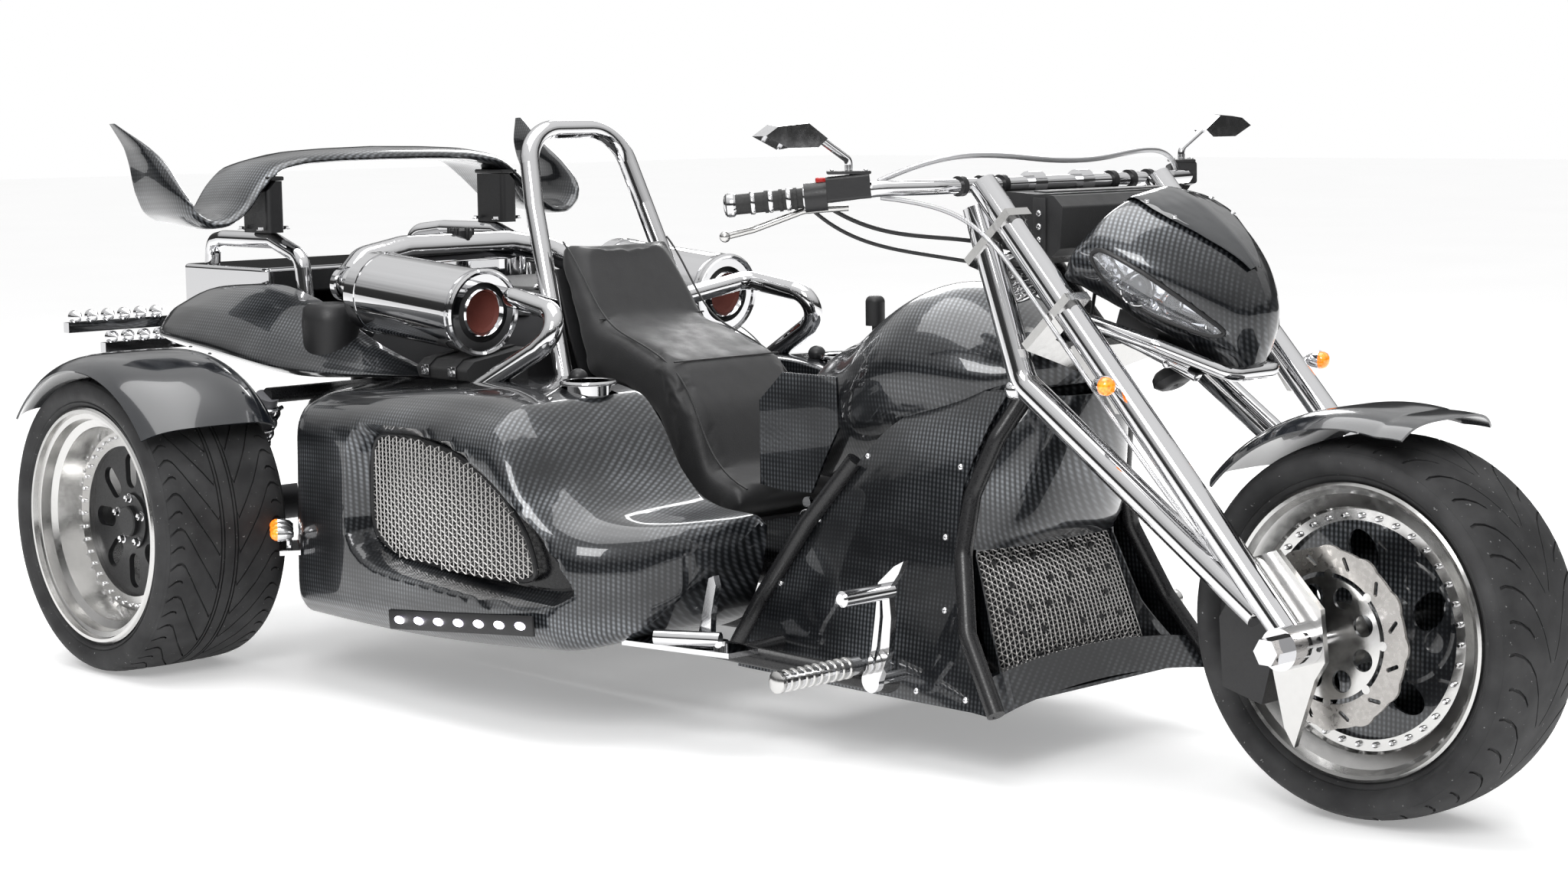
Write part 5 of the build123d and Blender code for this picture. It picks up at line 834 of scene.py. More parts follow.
def rear_sweep(across):
    """Rear grooves rise from the shoulder, turn, and run down to the middle rib."""
    line = [
        (0.0, -1.35), (0.13, -1.35), (0.17, -1.62), (0.5, -0.62), (0.72, 0.16), (0.78, 0.26), (0.84, 0.25), (1.0, 0.0)
    ]
    return level(line, abs(across))


def front_sweep(across):
    """Front grooves leave the shoulder straight and curl along the middle."""
    line = [
        (0.0, -1.30), (0.12, -1.02), (0.25, -0.66), (0.40, -0.34), (0.55, -0.14), (0.70, -0.03), (0.85, 0.03),
        (1.0, 0.0)
    ]
    return level(line, abs(across))


def rear_groove(along, across):
    """Two ribs' grooves round the tyre, an arrow groove in each pitch, and a short one between two."""
    side = abs(across)
    if 0.075 < side < 0.10 or 0.125 < side < 0.15:
        return True
    if along < 0.085:
        return side > 0.15
    return 0.5 < along < 0.57 and side > 0.74


def front_groove(along, across):
    """A curled groove in each pitch and a short one between two."""
    side = abs(across)
    if along < 0.05:
        return 0.05 < side < 0.93
    return 0.48 < along < 0.53 and 0.45 < side < 0.90


class TRIKE_PG_tyres(bpy.types.PropertyGroup):
    """Tread of the three tyres"""

    rear_pitches: bpy.props.IntProperty(
        name="Rear Pitches", description="Arrow grooves round a rear tyre", default=27, min=12
    )
    front_pitches: bpy.props.IntProperty(
        name="Front Pitches", description="Curled grooves round the front tyre", default=18, min=8
    )
    rear_depth: bpy.props.FloatProperty(
        name="Rear Depth", description="Depth of the rear grooves", default=0.005, subtype="DISTANCE", unit="LENGTH"
    )
    front_depth: bpy.props.FloatProperty(
        name="Front Depth", description="Depth of the front grooves", default=0.0042, subtype="DISTANCE", unit="LENGTH"
    )


class TRIKE_OT_tyres(bpy.types.Operator):
    """Makes the three tyres with their grooved tread"""

    bl_idname = "trike.tyres"
    bl_label = "Tyres"

    def execute(self, context):
        sizes = context.scene.trike_tyres
        rear_stations = [0.0, 0.075, 0.10, 0.125, 0.15, 0.17, 0.3, 0.5, 0.62, 0.72, 0.74, 0.78, 0.84, 0.92, 1.0]
        rear = (rear_stations, [0.0, 0.085, 0.29, 0.5, 0.57, 0.8], rear_sweep, rear_groove, sizes.rear_depth)
        for hand, side in HANDS:
            spot = REAR_AXLE + Vector((0, side * HALF_TRACK, 0))
            self.tyre(
                f"rear_tyre_{hand}", f"rear_wheel_{hand}", spot, REAR_WALL, REAR_CROWN, 0.1495, sizes.rear_pitches, rear
            )
        front_stations = [0.0, 0.05, 0.12, 0.18, 0.25, 0.32, 0.40, 0.45, 0.55, 0.62, 0.70, 0.78, 0.85, 0.90, 0.93, 1.0]
        front = (front_stations, [0.0, 0.05, 0.26, 0.48, 0.53, 0.76], front_sweep, front_groove, sizes.front_depth)
        self.tyre("front_tyre", "front_wheel", FRONT_AXLE, FRONT_WALL, FRONT_CROWN, 0.1125, sizes.front_pitches, front)
        return {"FINISHED"}

    def tyre(self, node, body, spot, wall, crown, half, pitches, pattern):
        """One tyre from its section and its pattern: stations across and round, sweep, grooves and their depth."""
        stations, columns, sweep, is_groove, depth = pattern
        rows = [-value for value in reversed(stations[1:])] + stations
        shell = casing(wall, crown, depth, spot)
        blocks = tread(spot, crown, half, pitches, rows, columns, sweep, is_groove, depth)
        settled(joined([shell, blocks]), f"{node}_tread", "tyre", body, 32, (node,))


# ---------------------------------------------------------------- wheels
class TRIKE_PG_wheels(bpy.types.PropertyGroup):
    """Bolts round the rims"""

    rear_bolts: bpy.props.IntProperty(
        name="Rear Bolts", description="Bolts round a rear rim's flange", default=40, min=8
    )
    front_bolts: bpy.props.IntProperty(
        name="Front Bolts", description="Bolts round the front rim's ring", default=36, min=8
    )
    bolt_radius: bpy.props.FloatProperty(
        name="Bolt Radius", description="Radius of a rim bolt", default=0.0048, subtype="DISTANCE", unit="LENGTH"
    )


class TRIKE_OT_wheel_bolts(bpy.types.Operator):
    """Adds the rims' bolts and the rear wheels' nuts"""

    bl_idname = "trike.wheel_bolts"
    bl_label = "Wheel Fasteners"

    def execute(self, context):
        sizes = context.scene.trike_wheels
        flange, centre_face, front_face = HALF_TRACK + 0.0535, HALF_TRACK + 0.0475, 0.0618
        for hand, side in HANDS:
            wheel = f"rear_wheel_{hand}"
            places = ring(sizes.rear_bolts, 0.188, REAR_AXLE + Vector((0, side * flange, 0)), (0, side, 0))
            bolts = spread(round_bolt(sizes.bolt_radius, 0.008, False), places)
            settled(bolts, f"rear_rim_bolts_{hand}", "chrome", wheel, 35)
            places = ring(5, 0.052, REAR_AXLE + Vector((0, side * centre_face, 0)), (0, side, 0), 0.3)
            settled(spread(hex_bolt(0.008, 0.012), places), f"rear_wheel_nuts_{hand}", "chrome", wheel, 35)
        for hand, side in HANDS:
            places = ring(sizes.front_bolts, 0.197, FRONT_AXLE + Vector((0, side * front_face, 0)), (0, side, 0))
            bolts = spread(round_bolt(sizes.bolt_radius * 1.1, 0.009, False), places)
            settled(bolts, f"front_rim_bolts_{hand}", "chrome", "front_wheel", 35)
        return {"FINISHED"}


# ---------------------------------------------------------------- fork and wheel hardware
class TRIKE_OT_fork_hardware(bpy.types.Operator):
    """Adds the fork's elbow balls and the damper's spring"""

    bl_idname = "trike.fork_hardware"
    bl_label = "Fork Hardware"

    def execute(self, context):
        for hand, side in HANDS:
            elbow = ball((0.866, side * 0.262, 0.716), 0.018, segments=24, rings=12)
            edit()
            pick(elbow, "faces", lambda f: f.normal.x > 0.97)
            bpy.ops.mesh.inset(thickness=0.002, depth=-0.002)
            edit(False)
            settled(elbow, f"fork_elbow_ball_{hand}", "chrome", "steering", 35)
        head, foot = Vector((0.712, -0.115, 0.948)), Vector((0.756, -0.115, 0.862))
        settled(coiled(head, foot, 7, 0.030, 0.0055, 12), "damper_spring", "chrome", "steering")
        return {"FINISHED"}


# ---------------------------------------------------------------- wire meshes
def wire_sheet(width, height, cell):
    """A sheet of wavy crossing wires, flat in X and Z, with its lower corner at the origin."""
    across = max(2, round(width / cell))
    upward = max(2, round(height / (cell * 0.62)))
    clear()
    bpy.ops.mesh.primitive_grid_add(x_subdivisions=across, y_subdivisions=upward, size=1.0)
    sheet = bpy.context.object
    mesh = sheet.data
    for vert in mesh.vertices:
        column = round((vert.co.x + 0.5) * across)
        row = round((vert.co.y + 0.5) * upward)
        shift = 0.35 * (1 if (row + column) % 2 else -1)
        vert.co = ((column / across) * width, 0.0, ((row + shift) / upward) * height)
    return sheet


# ---------------------------------------------------------------- side pods
# Lines of the pods: reach, top and foot over the stations; the recess and its mesh in side view, as (x, z).
POD_OUT = [
    (-1.066, 0.500), (-0.914, 0.600), (-0.765, 0.690), (-0.56, 0.702), (-0.10, 0.697), (0.06, 0.66), (0.16, 0.56),
    (0.215, 0.40), (0.226, 0.30)
]
POD_TOP = [
    (-1.066, 0.612), (-0.867, 0.630), (-0.60, 0.650), (-0.30, 0.669), (-0.15, 0.650), (-0.085, 0.596), (-0.02, 0.50),
    (0.05, 0.448), (0.12, 0.432), (0.20, 0.428), (0.226, 0.412)
]
POD_LOW = [(-1.066, 0.156), (-0.56, 0.149), (0.03, 0.180), (0.15, 0.215), (0.214, 0.33), (0.226, 0.40)]
RECESS = [
    (-0.606, 0.290), (-0.594, 0.588), (-0.420, 0.594), (-0.250, 0.572), (-0.100, 0.506), (0.01, 0.408), (0.095, 0.300),
    (0.030, 0.262), (-0.100, 0.262)
]
MESH_PANEL = [
    (-0.578, 0.314), (-0.568, 0.562), (-0.430, 0.568), (-0.280, 0.545), (-0.150, 0.488), (-0.060, 0.400),
    (-0.020, 0.300)
]


# How far out the mesh sits, and the middle of a cup holder's rim.
MESH_OUT = 0.642
CUP = Vector((-0.190, 0.372, 0.668))


def pod_ring(x):
    """The pod's section at a station, from its inner foot round to its inner foot again."""
    out, top, low = curve(POD_OUT, x), curve(POD_TOP, x), curve(POD_LOW, x)
    sill = low + max(0.0, out - 0.560) * 0.40 + 0.004
    brow = max(sill + 0.012, min(0.598, top - 0.040))
    corners = [
        (0.270, low), (max(0.28, min(0.64, out - 0.03)), low), (out, sill), (out - 0.010, brow),
        (max(0.285, out - 0.105), top - 0.006), (0.280, top), (0.270, top - 0.004), (0.270, low),
    ]
    radii, runs = (0, 0.03, 0.045, 0.06, 0.05, 0.006, 0.004, 0), (4, 9, 62, 8, 6, 1, 2)
    return bent(corners, radii, runs, 6)


class TRIKE_PG_pods(bpy.types.PropertyGroup):
    """Form of the side pods"""

    recess_depth: bpy.props.FloatProperty(
        name="Recess Depth", description="How far the mesh panel sits back", default=0.066, subtype="DISTANCE",
        unit="LENGTH"
    )
    recess_slope: bpy.props.FloatProperty(
        name="Recess Slope", description="Width of the sloping wall round the mesh", default=0.034, min=0.005,
        subtype="DISTANCE", unit="LENGTH"
    )
    mesh_cell: bpy.props.FloatProperty(
        name="Mesh Cell", description="Width of one opening of the mesh", default=0.0135, min=0.005, subtype="DISTANCE",
        unit="LENGTH"
    )
    wire_width: bpy.props.FloatProperty(
        name="Wire Width", description="Thickness of the mesh wires", default=0.0036, min=0.0005, subtype="DISTANCE",
        unit="LENGTH"
    )


class TRIKE_OT_pods(bpy.types.Operator):
    """Makes the smooth side pods with their meshes, light strips, reflectors and cup holders' rims"""

    bl_idname = "trike.pods"
    bl_label = "Side Pods"

    def execute(self, context):
        sizes = context.scene.trike_pods
        start, length = POD_OUT[0][0], POD_OUT[-1][0] - POD_OUT[0][0]
        recess = softened(RECESS)
        outline = softened(MESH_PANEL, 4)
        columns = 250
        rings = [pod_ring(start + length * index / columns) for index in range(columns + 1)]
        rows = len(rings[0]) - 1
        shells, floors, meshes, frames = [], [], [], []
        for side in SIDES:

            def spot(u, v):
                column = round(u * columns)
                x = start + length * column / columns
                y, z = rings[column][round(v * rows)]
                if y > 0.5 and -0.65 < x < 0.12:
                    y -= sizes.recess_depth * eased(inside_by(recess, x, z) / sizes.recess_slope)
                return Vector((x, side * y, z))

            shell = capped(laid(columns, rows, spot))

            def over_cup(face):
                spot = middle(face)
                return math.hypot(spot.x - CUP.x, abs(spot.y) - CUP.y) < 0.050 and spot.z > 0.55

            def is_floor(face):
                spot = middle(face)
                return abs(spot.y) > 0.5 and inside_by(recess, spot.x, spot.z) > sizes.recess_slope * 0.95

            removed(shell, over_cup)
            floors.append(parted(shell, is_floor))
            shells.append(shell)
            sheet = wire_sheet(0.58, 0.28, sizes.mesh_cell)
            for vert in sheet.data.vertices:
                x, z = vert.co.x - 0.584, vert.co.z + 0.298
                bulge = 0.010 * math.sin(math.pi * min(1.0, max(0.0, (x + 0.57) / 0.55)))
                vert.co = (x, side * (MESH_OUT + bulge), z)
            removed(sheet, lambda f: inside_by(outline, middle(f).x, middle(f).z) < 0.003)
            modified(sheet, "WIREFRAME", thickness=sizes.wire_width, use_even_offset=False)
            meshes.append(sheet)
            crease = inset_line(recess, sizes.recess_slope * 0.93)
            back = sizes.recess_depth + 0.008
            line = [(x, side * (curve(POD_OUT, x) - back), z) for x, z in crease]
            frames.append(hose(line, 0.0065, 8, True))
            frames.append(hose([(x, side * MESH_OUT, z) for x, z in outline], 0.0055, 8, True))
        settled(joined(shells), "side_pod_shells", "carbon", "chassis", 38, ("side_pods",))
        settled(joined(floors), "side_pod_recesses", "recess_black", "chassis", 38)
        settled(joined(meshes), "side_pod_wire_meshes", "mesh", "chassis", 30, ("pod_meshes",))
        settled(joined(frames), "side_pod_mesh_frames", "satin_black", "chassis")
        self.lamps()
        return {"FINISHED"}

    def lamps(self):
        """The light strips' channels and dots, the reflectors, the cup holders' rims and the caps by them."""
        dots, channels, caps, reflectors, rims = [], [], [], [], []
        strip_x, strip_z, tilt = -0.214, 0.216, math.radians(5.5)
        lens_outline = [(0, 0.0), (0, 0.014), (0.004, 0.0135), (0.0065, 0.009), (0.0075, 0.0)]
        ring_outline = [
            (0.0, 0.046), (0.005, 0.046), (0.008, 0.050), (0.008, 0.056), (0.004, 0.059), (0.0, 0.059), (0.0, 0.046)
        ]
        lens_x = -0.905
        for side in SIDES:
            channels.append(box((strip_x, side * 0.6965, strip_z), (0.472, 0.006, 0.040), 0.002, (0, -tilt, 0)))
            for index in range(7):
                along = -0.198 + 0.066 * index
                x, z = strip_x + along * math.cos(tilt), strip_z + along * math.sin(tilt)
                dots.append(ball((x, side * 0.7005, z), 0.0085, (1.9, 0.4, 0.9), 16, 8))
            for z in (0.300, 0.262):
                start = (lens_x, side * (curve(POD_OUT, lens_x) - 0.004), z)
                reflectors.append(turned(lens_outline, start, (-0.5, side * 0.85, 0)))
            rims.append(turned(ring_outline, handed(CUP, side), (0, 0, 1), 48))
            caps.append(ball((-0.255, side * 0.345, 0.676), 0.020, (1, 1, 0.9)))
        settled(joined(channels), "light_strip_channels", "satin_black", "chassis", 30)
        settled(joined(dots), "light_strip_dots", "glow_dots", "chassis", 60, ("led_strips",))
        settled(joined(reflectors), "pod_reflectors", "red_lens", "chassis")
        settled(joined(rims), "cup_holder_rims", "chrome", "chassis")
        settled(joined(caps), "pod_caps", "satin_black", "chassis", 60)


# ---------------------------------------------------------------- seat
# The seat's upper edge in side view, as (x, z), and half the seat's width.
SEAT_HALF = 0.150
SEAT_EDGE = [
    (-0.540, 0.935), (-0.500, 0.905), (-0.420, 0.770), (-0.322, 0.738), (-0.182, 0.692), (-0.112, 0.602),
    (-0.062, 0.474), (0.036, 0.446)
]


class TRIKE_PG_seat(bpy.types.PropertyGroup):
    """Padding of the seat"""

    voxel: bpy.props.FloatProperty(
        name="Voxel", description="Grain of the cushion's mesh", default=0.0065, min=0.004, subtype="DISTANCE",
        unit="LENGTH"
    )
    swell: bpy.props.FloatProperty(
        name="Swell", description="Most that the padding may rise", default=0.010, subtype="DISTANCE", unit="LENGTH"
    )
    pressure: bpy.props.FloatProperty(name="Pressure", description="Pressure of the filling", default=4.0)


class TRIKE_OT_seat(bpy.types.Operator):
    """Pads the leather seat and sews its edges"""

    bl_idname = "trike.seat"
    bl_label = "Seat"

    def execute(self, context):
        sizes = context.scene.trike_seat
        source = frame["nodes"]["seat"]
        pad = source.copy()
        pad.data = source.data.copy()
        context.collection.objects.link(pad)
        cleaned(pad, 0.00005)
        modified(pad, "REMESH", mode="VOXEL", voxel_size=sizes.voxel)
        modified(pad, "SMOOTH", factor=0.8, iterations=60)
        self.filled(context, pad, sizes)
        modified(pad, "SUBSURF", levels=1, render_levels=1)
        settled(pad, "seat_cushion", "leather", "chassis", 0, ("seat",))
        take(pad)
        bpy.ops.object.shade_smooth()
        seams = [hose([(x + 0.006, side * SEAT_HALF, z + 0.003) for x, z in SEAT_EDGE], 0.0022, 8) for side in SIDES]
        across = (-SEAT_HALF, -SEAT_HALF / 3, SEAT_HALF / 3, SEAT_HALF)
        for x, z in (SEAT_EDGE[2], SEAT_EDGE[4]):
            seams.append(hose([(x + 0.006, y, z + 0.005) for y in across], 0.0018, 8))
        settled(joined(seams), "seat_seams", "leather", "chassis", 50)
        return {"FINISHED"}

    def filled(self, context, pad, sizes):
        """Blows the cushion up a little and holds it within its swell."""
        before = [vert.co.copy() for vert in pad.data.vertices]
        take(pad)
        cloth = pad.modifiers.new("Cloth", "CLOTH")
        cloth.settings.quality = 4
        cloth.settings.use_pressure = True
        cloth.settings.uniform_pressure_force = sizes.pressure
        cloth.settings.tension_stiffness = 15
        cloth.settings.effector_weights.gravity = 0.0
        for step in range(1, 21):
            context.scene.frame_set(step)
        bpy.ops.object.modifier_apply(modifier=cloth.name)
        context.scene.frame_set(1)
        for vert, old in zip(pad.data.vertices, before):
            way = vert.co - old
            if way.length > sizes.swell:
                vert.co = old + way.normalized() * sizes.swell


# ---------------------------------------------------------------- nacelle
# Lines of the nacelle over its stations: top, foot and half width; and the lamp's opening in side view.
NACELLE_TOP = [
    (0.905, 0.942), (0.930, 0.990), (0.962, 1.040), (0.994, 1.068), (1.050, 1.052), (1.098, 1.024), (1.190, 0.942),
    (1.220, 0.886), (1.228, 0.860)
]
NACELLE_LOW = [
    (0.905, 0.885), (0.930, 0.868), (1.050, 0.802), (1.150, 0.768), (1.198, 0.758), (1.218, 0.792), (1.228, 0.842)
]
NACELLE_HALF = [
    (0.905, 0.170), (0.950, 0.198), (1.000, 0.196), (1.060, 0.180), (1.150, 0.122), (1.200, 0.070), (1.222, 0.034),
    (1.228, 0.0)
]
LENS = [
    (0.984, 0.958), (1.010, 0.970), (1.050, 0.950), (1.090, 0.925), (1.150, 0.872), (1.196, 0.822), (1.170, 0.814),
    (1.085, 0.850), (1.020, 0.888)
]


NACELLE_SECTION = [(0.0, 0.34), (0.18, 0.70), (0.45, 0.97), (0.60, 1.0), (0.78, 0.84), (0.92, 0.52), (1.0, 0.0)]
SCREEN_HALF = [(0.955, 0.088), (1.05, 0.104), (1.12, 0.074), (1.20, 0.016)]


def within(value, low, high):
    """Where a value lies between two others, from 0 to 1."""
    return min(1.0, max(0.0, (value - low) / (high - low)))


def nacelle_face(x, z):
    """Half width of the nacelle at a station and height."""
    share = within(z, curve(NACELLE_LOW, x), curve(NACELLE_TOP, x))
    return curve(NACELLE_HALF, x) * curve(NACELLE_SECTION, share)


def lens_sheet(low_line, high_line, side):
    """A sheet laid on the nacelle between a lower and an upper line."""
    first, last = low_line[0][0], low_line[-1][0]

    def spot(u, v):
        x = first + (last - first) * u
        low, high = curve(low_line, x), curve(high_line, x)
        z = low + (high - low) * v
        return Vector((x, side * (nacelle_face(x, z) + 0.0015), z))

    return laid(40, 14, spot)


class TRIKE_PG_nacelle(bpy.types.PropertyGroup):
    """Form of the lamp nacelle"""

    lens_depth: bpy.props.FloatProperty(
        name="Lens Depth", description="Depth of the lamp bowls", default=0.030, subtype="DISTANCE", unit="LENGTH"
    )
    screen_lift: bpy.props.FloatProperty(
        name="Screen Lift", description="How far the screen stands off the shell", default=0.005, subtype="DISTANCE",
        unit="LENGTH"
    )


class TRIKE_OT_nacelle(bpy.types.Operator):
    """Makes the nacelle with its lenses, smoked screen, intake, tray and screws"""

    bl_idname = "trike.nacelle"
    bl_label = "Nacelle and Lamps"

    def execute(self, context):
        sizes = context.scene.trike_nacelle
        lens = softened(LENS, 3)
        first, last = NACELLE_TOP[0][0], NACELLE_TOP[-1][0]

        def spot(u, v):
            x = first + (last - first) * u
            top, low = curve(NACELLE_TOP, x), curve(NACELLE_LOW, x)
            turn = v * math.tau
            share = (1 - math.cos(turn)) / 2
            z = low + (top - low) * share
            y = nacelle_face(x, z) * (1 if turn < math.pi else -1)
            if v in (0.0, 1.0, 0.5):
                y = 0.0
            sunk = eased(inside_by(lens, x, z) / 0.007) * sizes.lens_depth if abs(y) > 0.02 else 0.0
            return Vector((x, y - math.copysign(min(abs(y), sunk), y), z))

        shell = laid(110, 96, spot)
        bowls = parted(shell, lambda f: abs(middle(f).y) > 0.005 and inside_by(lens, middle(f).x, middle(f).z) > 0.004)
        walled(shell, 0.003, -1.0)
        settled(shell, "nacelle_shell", "carbon", "steering", SMOOTH, ("nacelle",))
        walled(bowls, 0.0012)
        settled(bowls, "headlamp_bowls", "chrome", "steering")

        glasses, borders, projectors, rings = [], [], [], []
        bezel = [(0, 1.0), (0.006, 1.08), (0.014, 1.22), (0.012, 1.3), (0, 1.2), (0, 1.0)]
        low_line = [(0.984, 0.946), (1.020, 0.888), (1.085, 0.850), (1.170, 0.814), (1.196, 0.820)]
        high_line = [(0.984, 0.962), (1.010, 0.970), (1.050, 0.950), (1.090, 0.925), (1.150, 0.872), (1.196, 0.824)]
        for side in SIDES:
            glasses.append(walled(lens_sheet(low_line, high_line, side), 0.002))
            rim = [(x, side * (nacelle_face(x, z) + 0.002), z) for x, z in lens]
            borders.append(hose(rim, 0.0042, 8, True))
            for x, z, radius in ((1.060, 0.898, 0.024), (1.112, 0.872, 0.017)):
                y = side * (nacelle_face(x, z) - 0.016)
                projectors.append(ball((x, y, z), radius, (0.8, 0.55, 1.0)))
                outline = [(along, radius * share) for along, share in bezel]
                rings.append(turned(outline, (x - 0.006, y - side * 0.008, z), (0.55, side * 0.8, 0.1)))
        settled(joined(glasses), "headlamp_glasses", "clear_glass", "steering", SMOOTH, ("headlamps",))
        settled(joined(borders), "headlamp_borders", "satin_black", "steering")
        settled(joined(projectors), "headlamp_projectors", "dark_glass", "steering", 60)
        settled(joined(rings), "headlamp_rings", "chrome", "steering")
        self.screen(sizes)
        self.tray()
        return {"FINISHED"}

    def screen(self, sizes):
        """The smoked screen over the top, the black intake's lips in front, and the screen's screws."""

        def over(u, v):
            x = 0.955 + 0.245 * u
            y = (v * 2 - 1) * curve(SCREEN_HALF, x)
            z = curve(NACELLE_TOP, x)
            for _ in range(24):
                z -= 0.002
                if nacelle_face(x, z) >= abs(y):
                    break
            z = max(z, curve(NACELLE_LOW, x))
            return Vector((x + 0.003, y, z + 0.002 + sizes.screen_lift))

        screen = walled(laid(40, 28, over), 0.0025)
        modified(screen, "SMOOTH", factor=0.5, iterations=6)
        settled(screen, "smoked_screen", "smoked", "steering", 60)
        mouths, studs = [], []
        for side in SIDES:
            mouth = [
                (1.150, side * 0.052, 0.934), (1.196, side * 0.030, 0.900), (1.216, side * 0.024, 0.862),
                (1.205, side * 0.058, 0.846), (1.172, side * 0.094, 0.872), (1.150, side * 0.094, 0.902),
            ]
            mouths.append(hose(mouth, 0.0055, 8, True))
            for x in (0.975, 1.030, 1.085):
                place = (x, side * curve(SCREEN_HALF, x) * 0.9, curve(NACELLE_TOP, x) - 0.012)
                studs.append(facing(place, (0.3, side * 0.35, 1.0)))
        settled(joined(mouths), "intake_lips", "satin_black", "steering")
        settled(spread(round_bolt(0.0052, 0.006), studs), "screen_bolts", "chrome", "steering")

    def tray(self):
        """What hangs under the nacelle: plate, box, bars and horn."""
        lean = (0, 0.32, 0)
        plates = [
            box((1.075, 0.0, 0.772), (0.150, 0.200, 0.004), 0.0015, lean),
            box((0.995, 0.0, 0.826), (0.100, 0.150, 0.050), 0.006, lean),
        ]
        settled(joined(plates), "nacelle_tray", "satin_black", "steering", 30)
        bars = [bar((0.985, side * 0.130, 0.815), (1.130, side * 0.095, 0.757), 0.010) for side in SIDES]
        bars += [bar((1.000, side * 0.070, 0.792), (1.120, side * 0.058, 0.742), 0.013) for side in SIDES]
        bars.append(bar((1.090, -0.115, 0.765), (1.090, 0.115, 0.765), 0.007))
        settled(joined(bars), "nacelle_tray_bars", "chrome", "steering")
        outline = [
            (0, 0), (0, 0.030), (0.008, 0.038), (0.020, 0.040), (0.030, 0.030), (0.034, 0.018), (0.030, 0.006),
            (0.036, 0.0),
        ]
        horn = turned(outline, (1.010, 0.0, 0.742), (0.5, 0, -0.86), 28)
        settled(horn, "horn", "satin_black", "steering")


# ---------------------------------------------------------------- wing
# The wing: its line seen from behind, as (y, z), and its edges over the share of that line's length.
WING_LINE = [
    (0.0, 1.116), (0.150, 1.115), (0.250, 1.111), (0.330, 1.096), (0.385, 1.050), (0.430, 1.000), (0.480, 0.972),
    (0.530, 0.972), (0.565, 1.000), (0.580, 1.050), (0.574, 1.110), (0.578, 1.150), (0.602, 1.203)
]
WING_REAR = [
    (0.0, -1.600), (0.30, -1.600), (0.45, -1.592), (0.62, -1.565), (0.78, -1.575), (0.90, -1.612), (1.0, -1.640)
]
WING_FRONT = [
    (0.0, -1.352), (0.25, -1.350), (0.45, -1.342), (0.62, -1.330), (0.76, -1.345), (0.86, -1.420), (0.94, -1.530),
    (1.0, -1.615)
]


class TRIKE_PG_wing(bpy.types.PropertyGroup):
    """Form of the rear wing"""

    thickness: bpy.props.FloatProperty(
        name="Thickness", description="Thickness of the plank", default=0.044, subtype="DISTANCE", unit="LENGTH"
    )


class TRIKE_OT_wing(bpy.types.Operator):
    """Makes the rear wing with its scooped, upswept ends"""

    bl_idname = "trike.wing"
    bl_label = "Rear Wing"

    def execute(self, context):
        thickness = context.scene.trike_wing.thickness
        half = bent(WING_LINE, [0.03] * 13, [8] + [3] * 11, 3)
        lengths = [0.0]
        for a, b in zip(half, half[1:]):
            lengths.append(lengths[-1] + (b - a).length)
        total = lengths[-1]
        count = len(half) - 1

        def spot(u, v):
            column = round(u * count * 2) - count
            index, side = abs(column), -1 if column < 0 else 1
            here = half[index]
            ahead, behind = half[min(count, index + 1)], half[max(0, index - 1)]
            way = (ahead - behind).normalized()
            across = Vector((-way.y, way.x))
            share = lengths[index] / total
            rear, front = curve(WING_REAR, share), curve(WING_FRONT, share)
            turn = v * math.tau
            thinned = 1 - eased((share - 0.86) / 0.14) * 0.85
            body = thickness / 2 * math.sin(turn) * (0.55 + 0.45 * math.cos(turn)) * thinned
            camber = 0.012 * (1 - math.cos(turn) ** 2) * (1 - share)
            x = (rear + front) / 2 + (front - rear) / 2 * math.cos(turn)
            y, z = here + across * (body + camber)
            return Vector((x, side * y, z))

        wing = capped(laid(count * 2, 28, spot))
        settled(wing, "wing_plank", "carbon", "chassis", 50, ("rear_wing",))
        pylon_x, pylon_y = -1.400, 0.345
        pads = [box((pylon_x, side * pylon_y, 1.072), (0.112, 0.048, 0.010), 0.003) for side in SIDES]
        settled(joined(pads), "wing_pads", "satin_black", "chassis", 30)
        places = [
            facing((pylon_x + dx, side * pylon_y + dy, 0.953), (0, 0, 1))
            for side in SIDES for dx in (-0.04, 0.04) for dy in (-0.035, 0.035)
        ]
        settled(spread(hex_bolt(0.007, 0.007), places), "pylon_bolts", "chrome", "chassis", 30)
        return {"FINISHED"}


# ---------------------------------------------------------------- tail shells
# Lines of the tail shells over their stations: top, foot and reach.
TAIL_TOP = [
    (-1.690, 0.738), (-1.640, 0.782), (-1.500, 0.820), (-1.339, 0.828), (-1.180, 0.802), (-1.060, 0.756),
    (-0.930, 0.708), (-0.790, 0.671), (-0.722, 0.655)
]
TAIL_LOW = [
    (-1.690, 0.722), (-1.660, 0.700), (-1.420, 0.668), (-1.163, 0.640), (-1.066, 0.634), (-0.900, 0.641),
    (-0.722, 0.650)
]
TAIL_OUT = [
    (-1.690, 0.400), (-1.640, 0.490), (-1.540, 0.548), (-1.400, 0.560), (-1.180, 0.556), (-1.000, 0.520),
    (-0.850, 0.455), (-0.760, 0.400), (-0.722, 0.362)
]


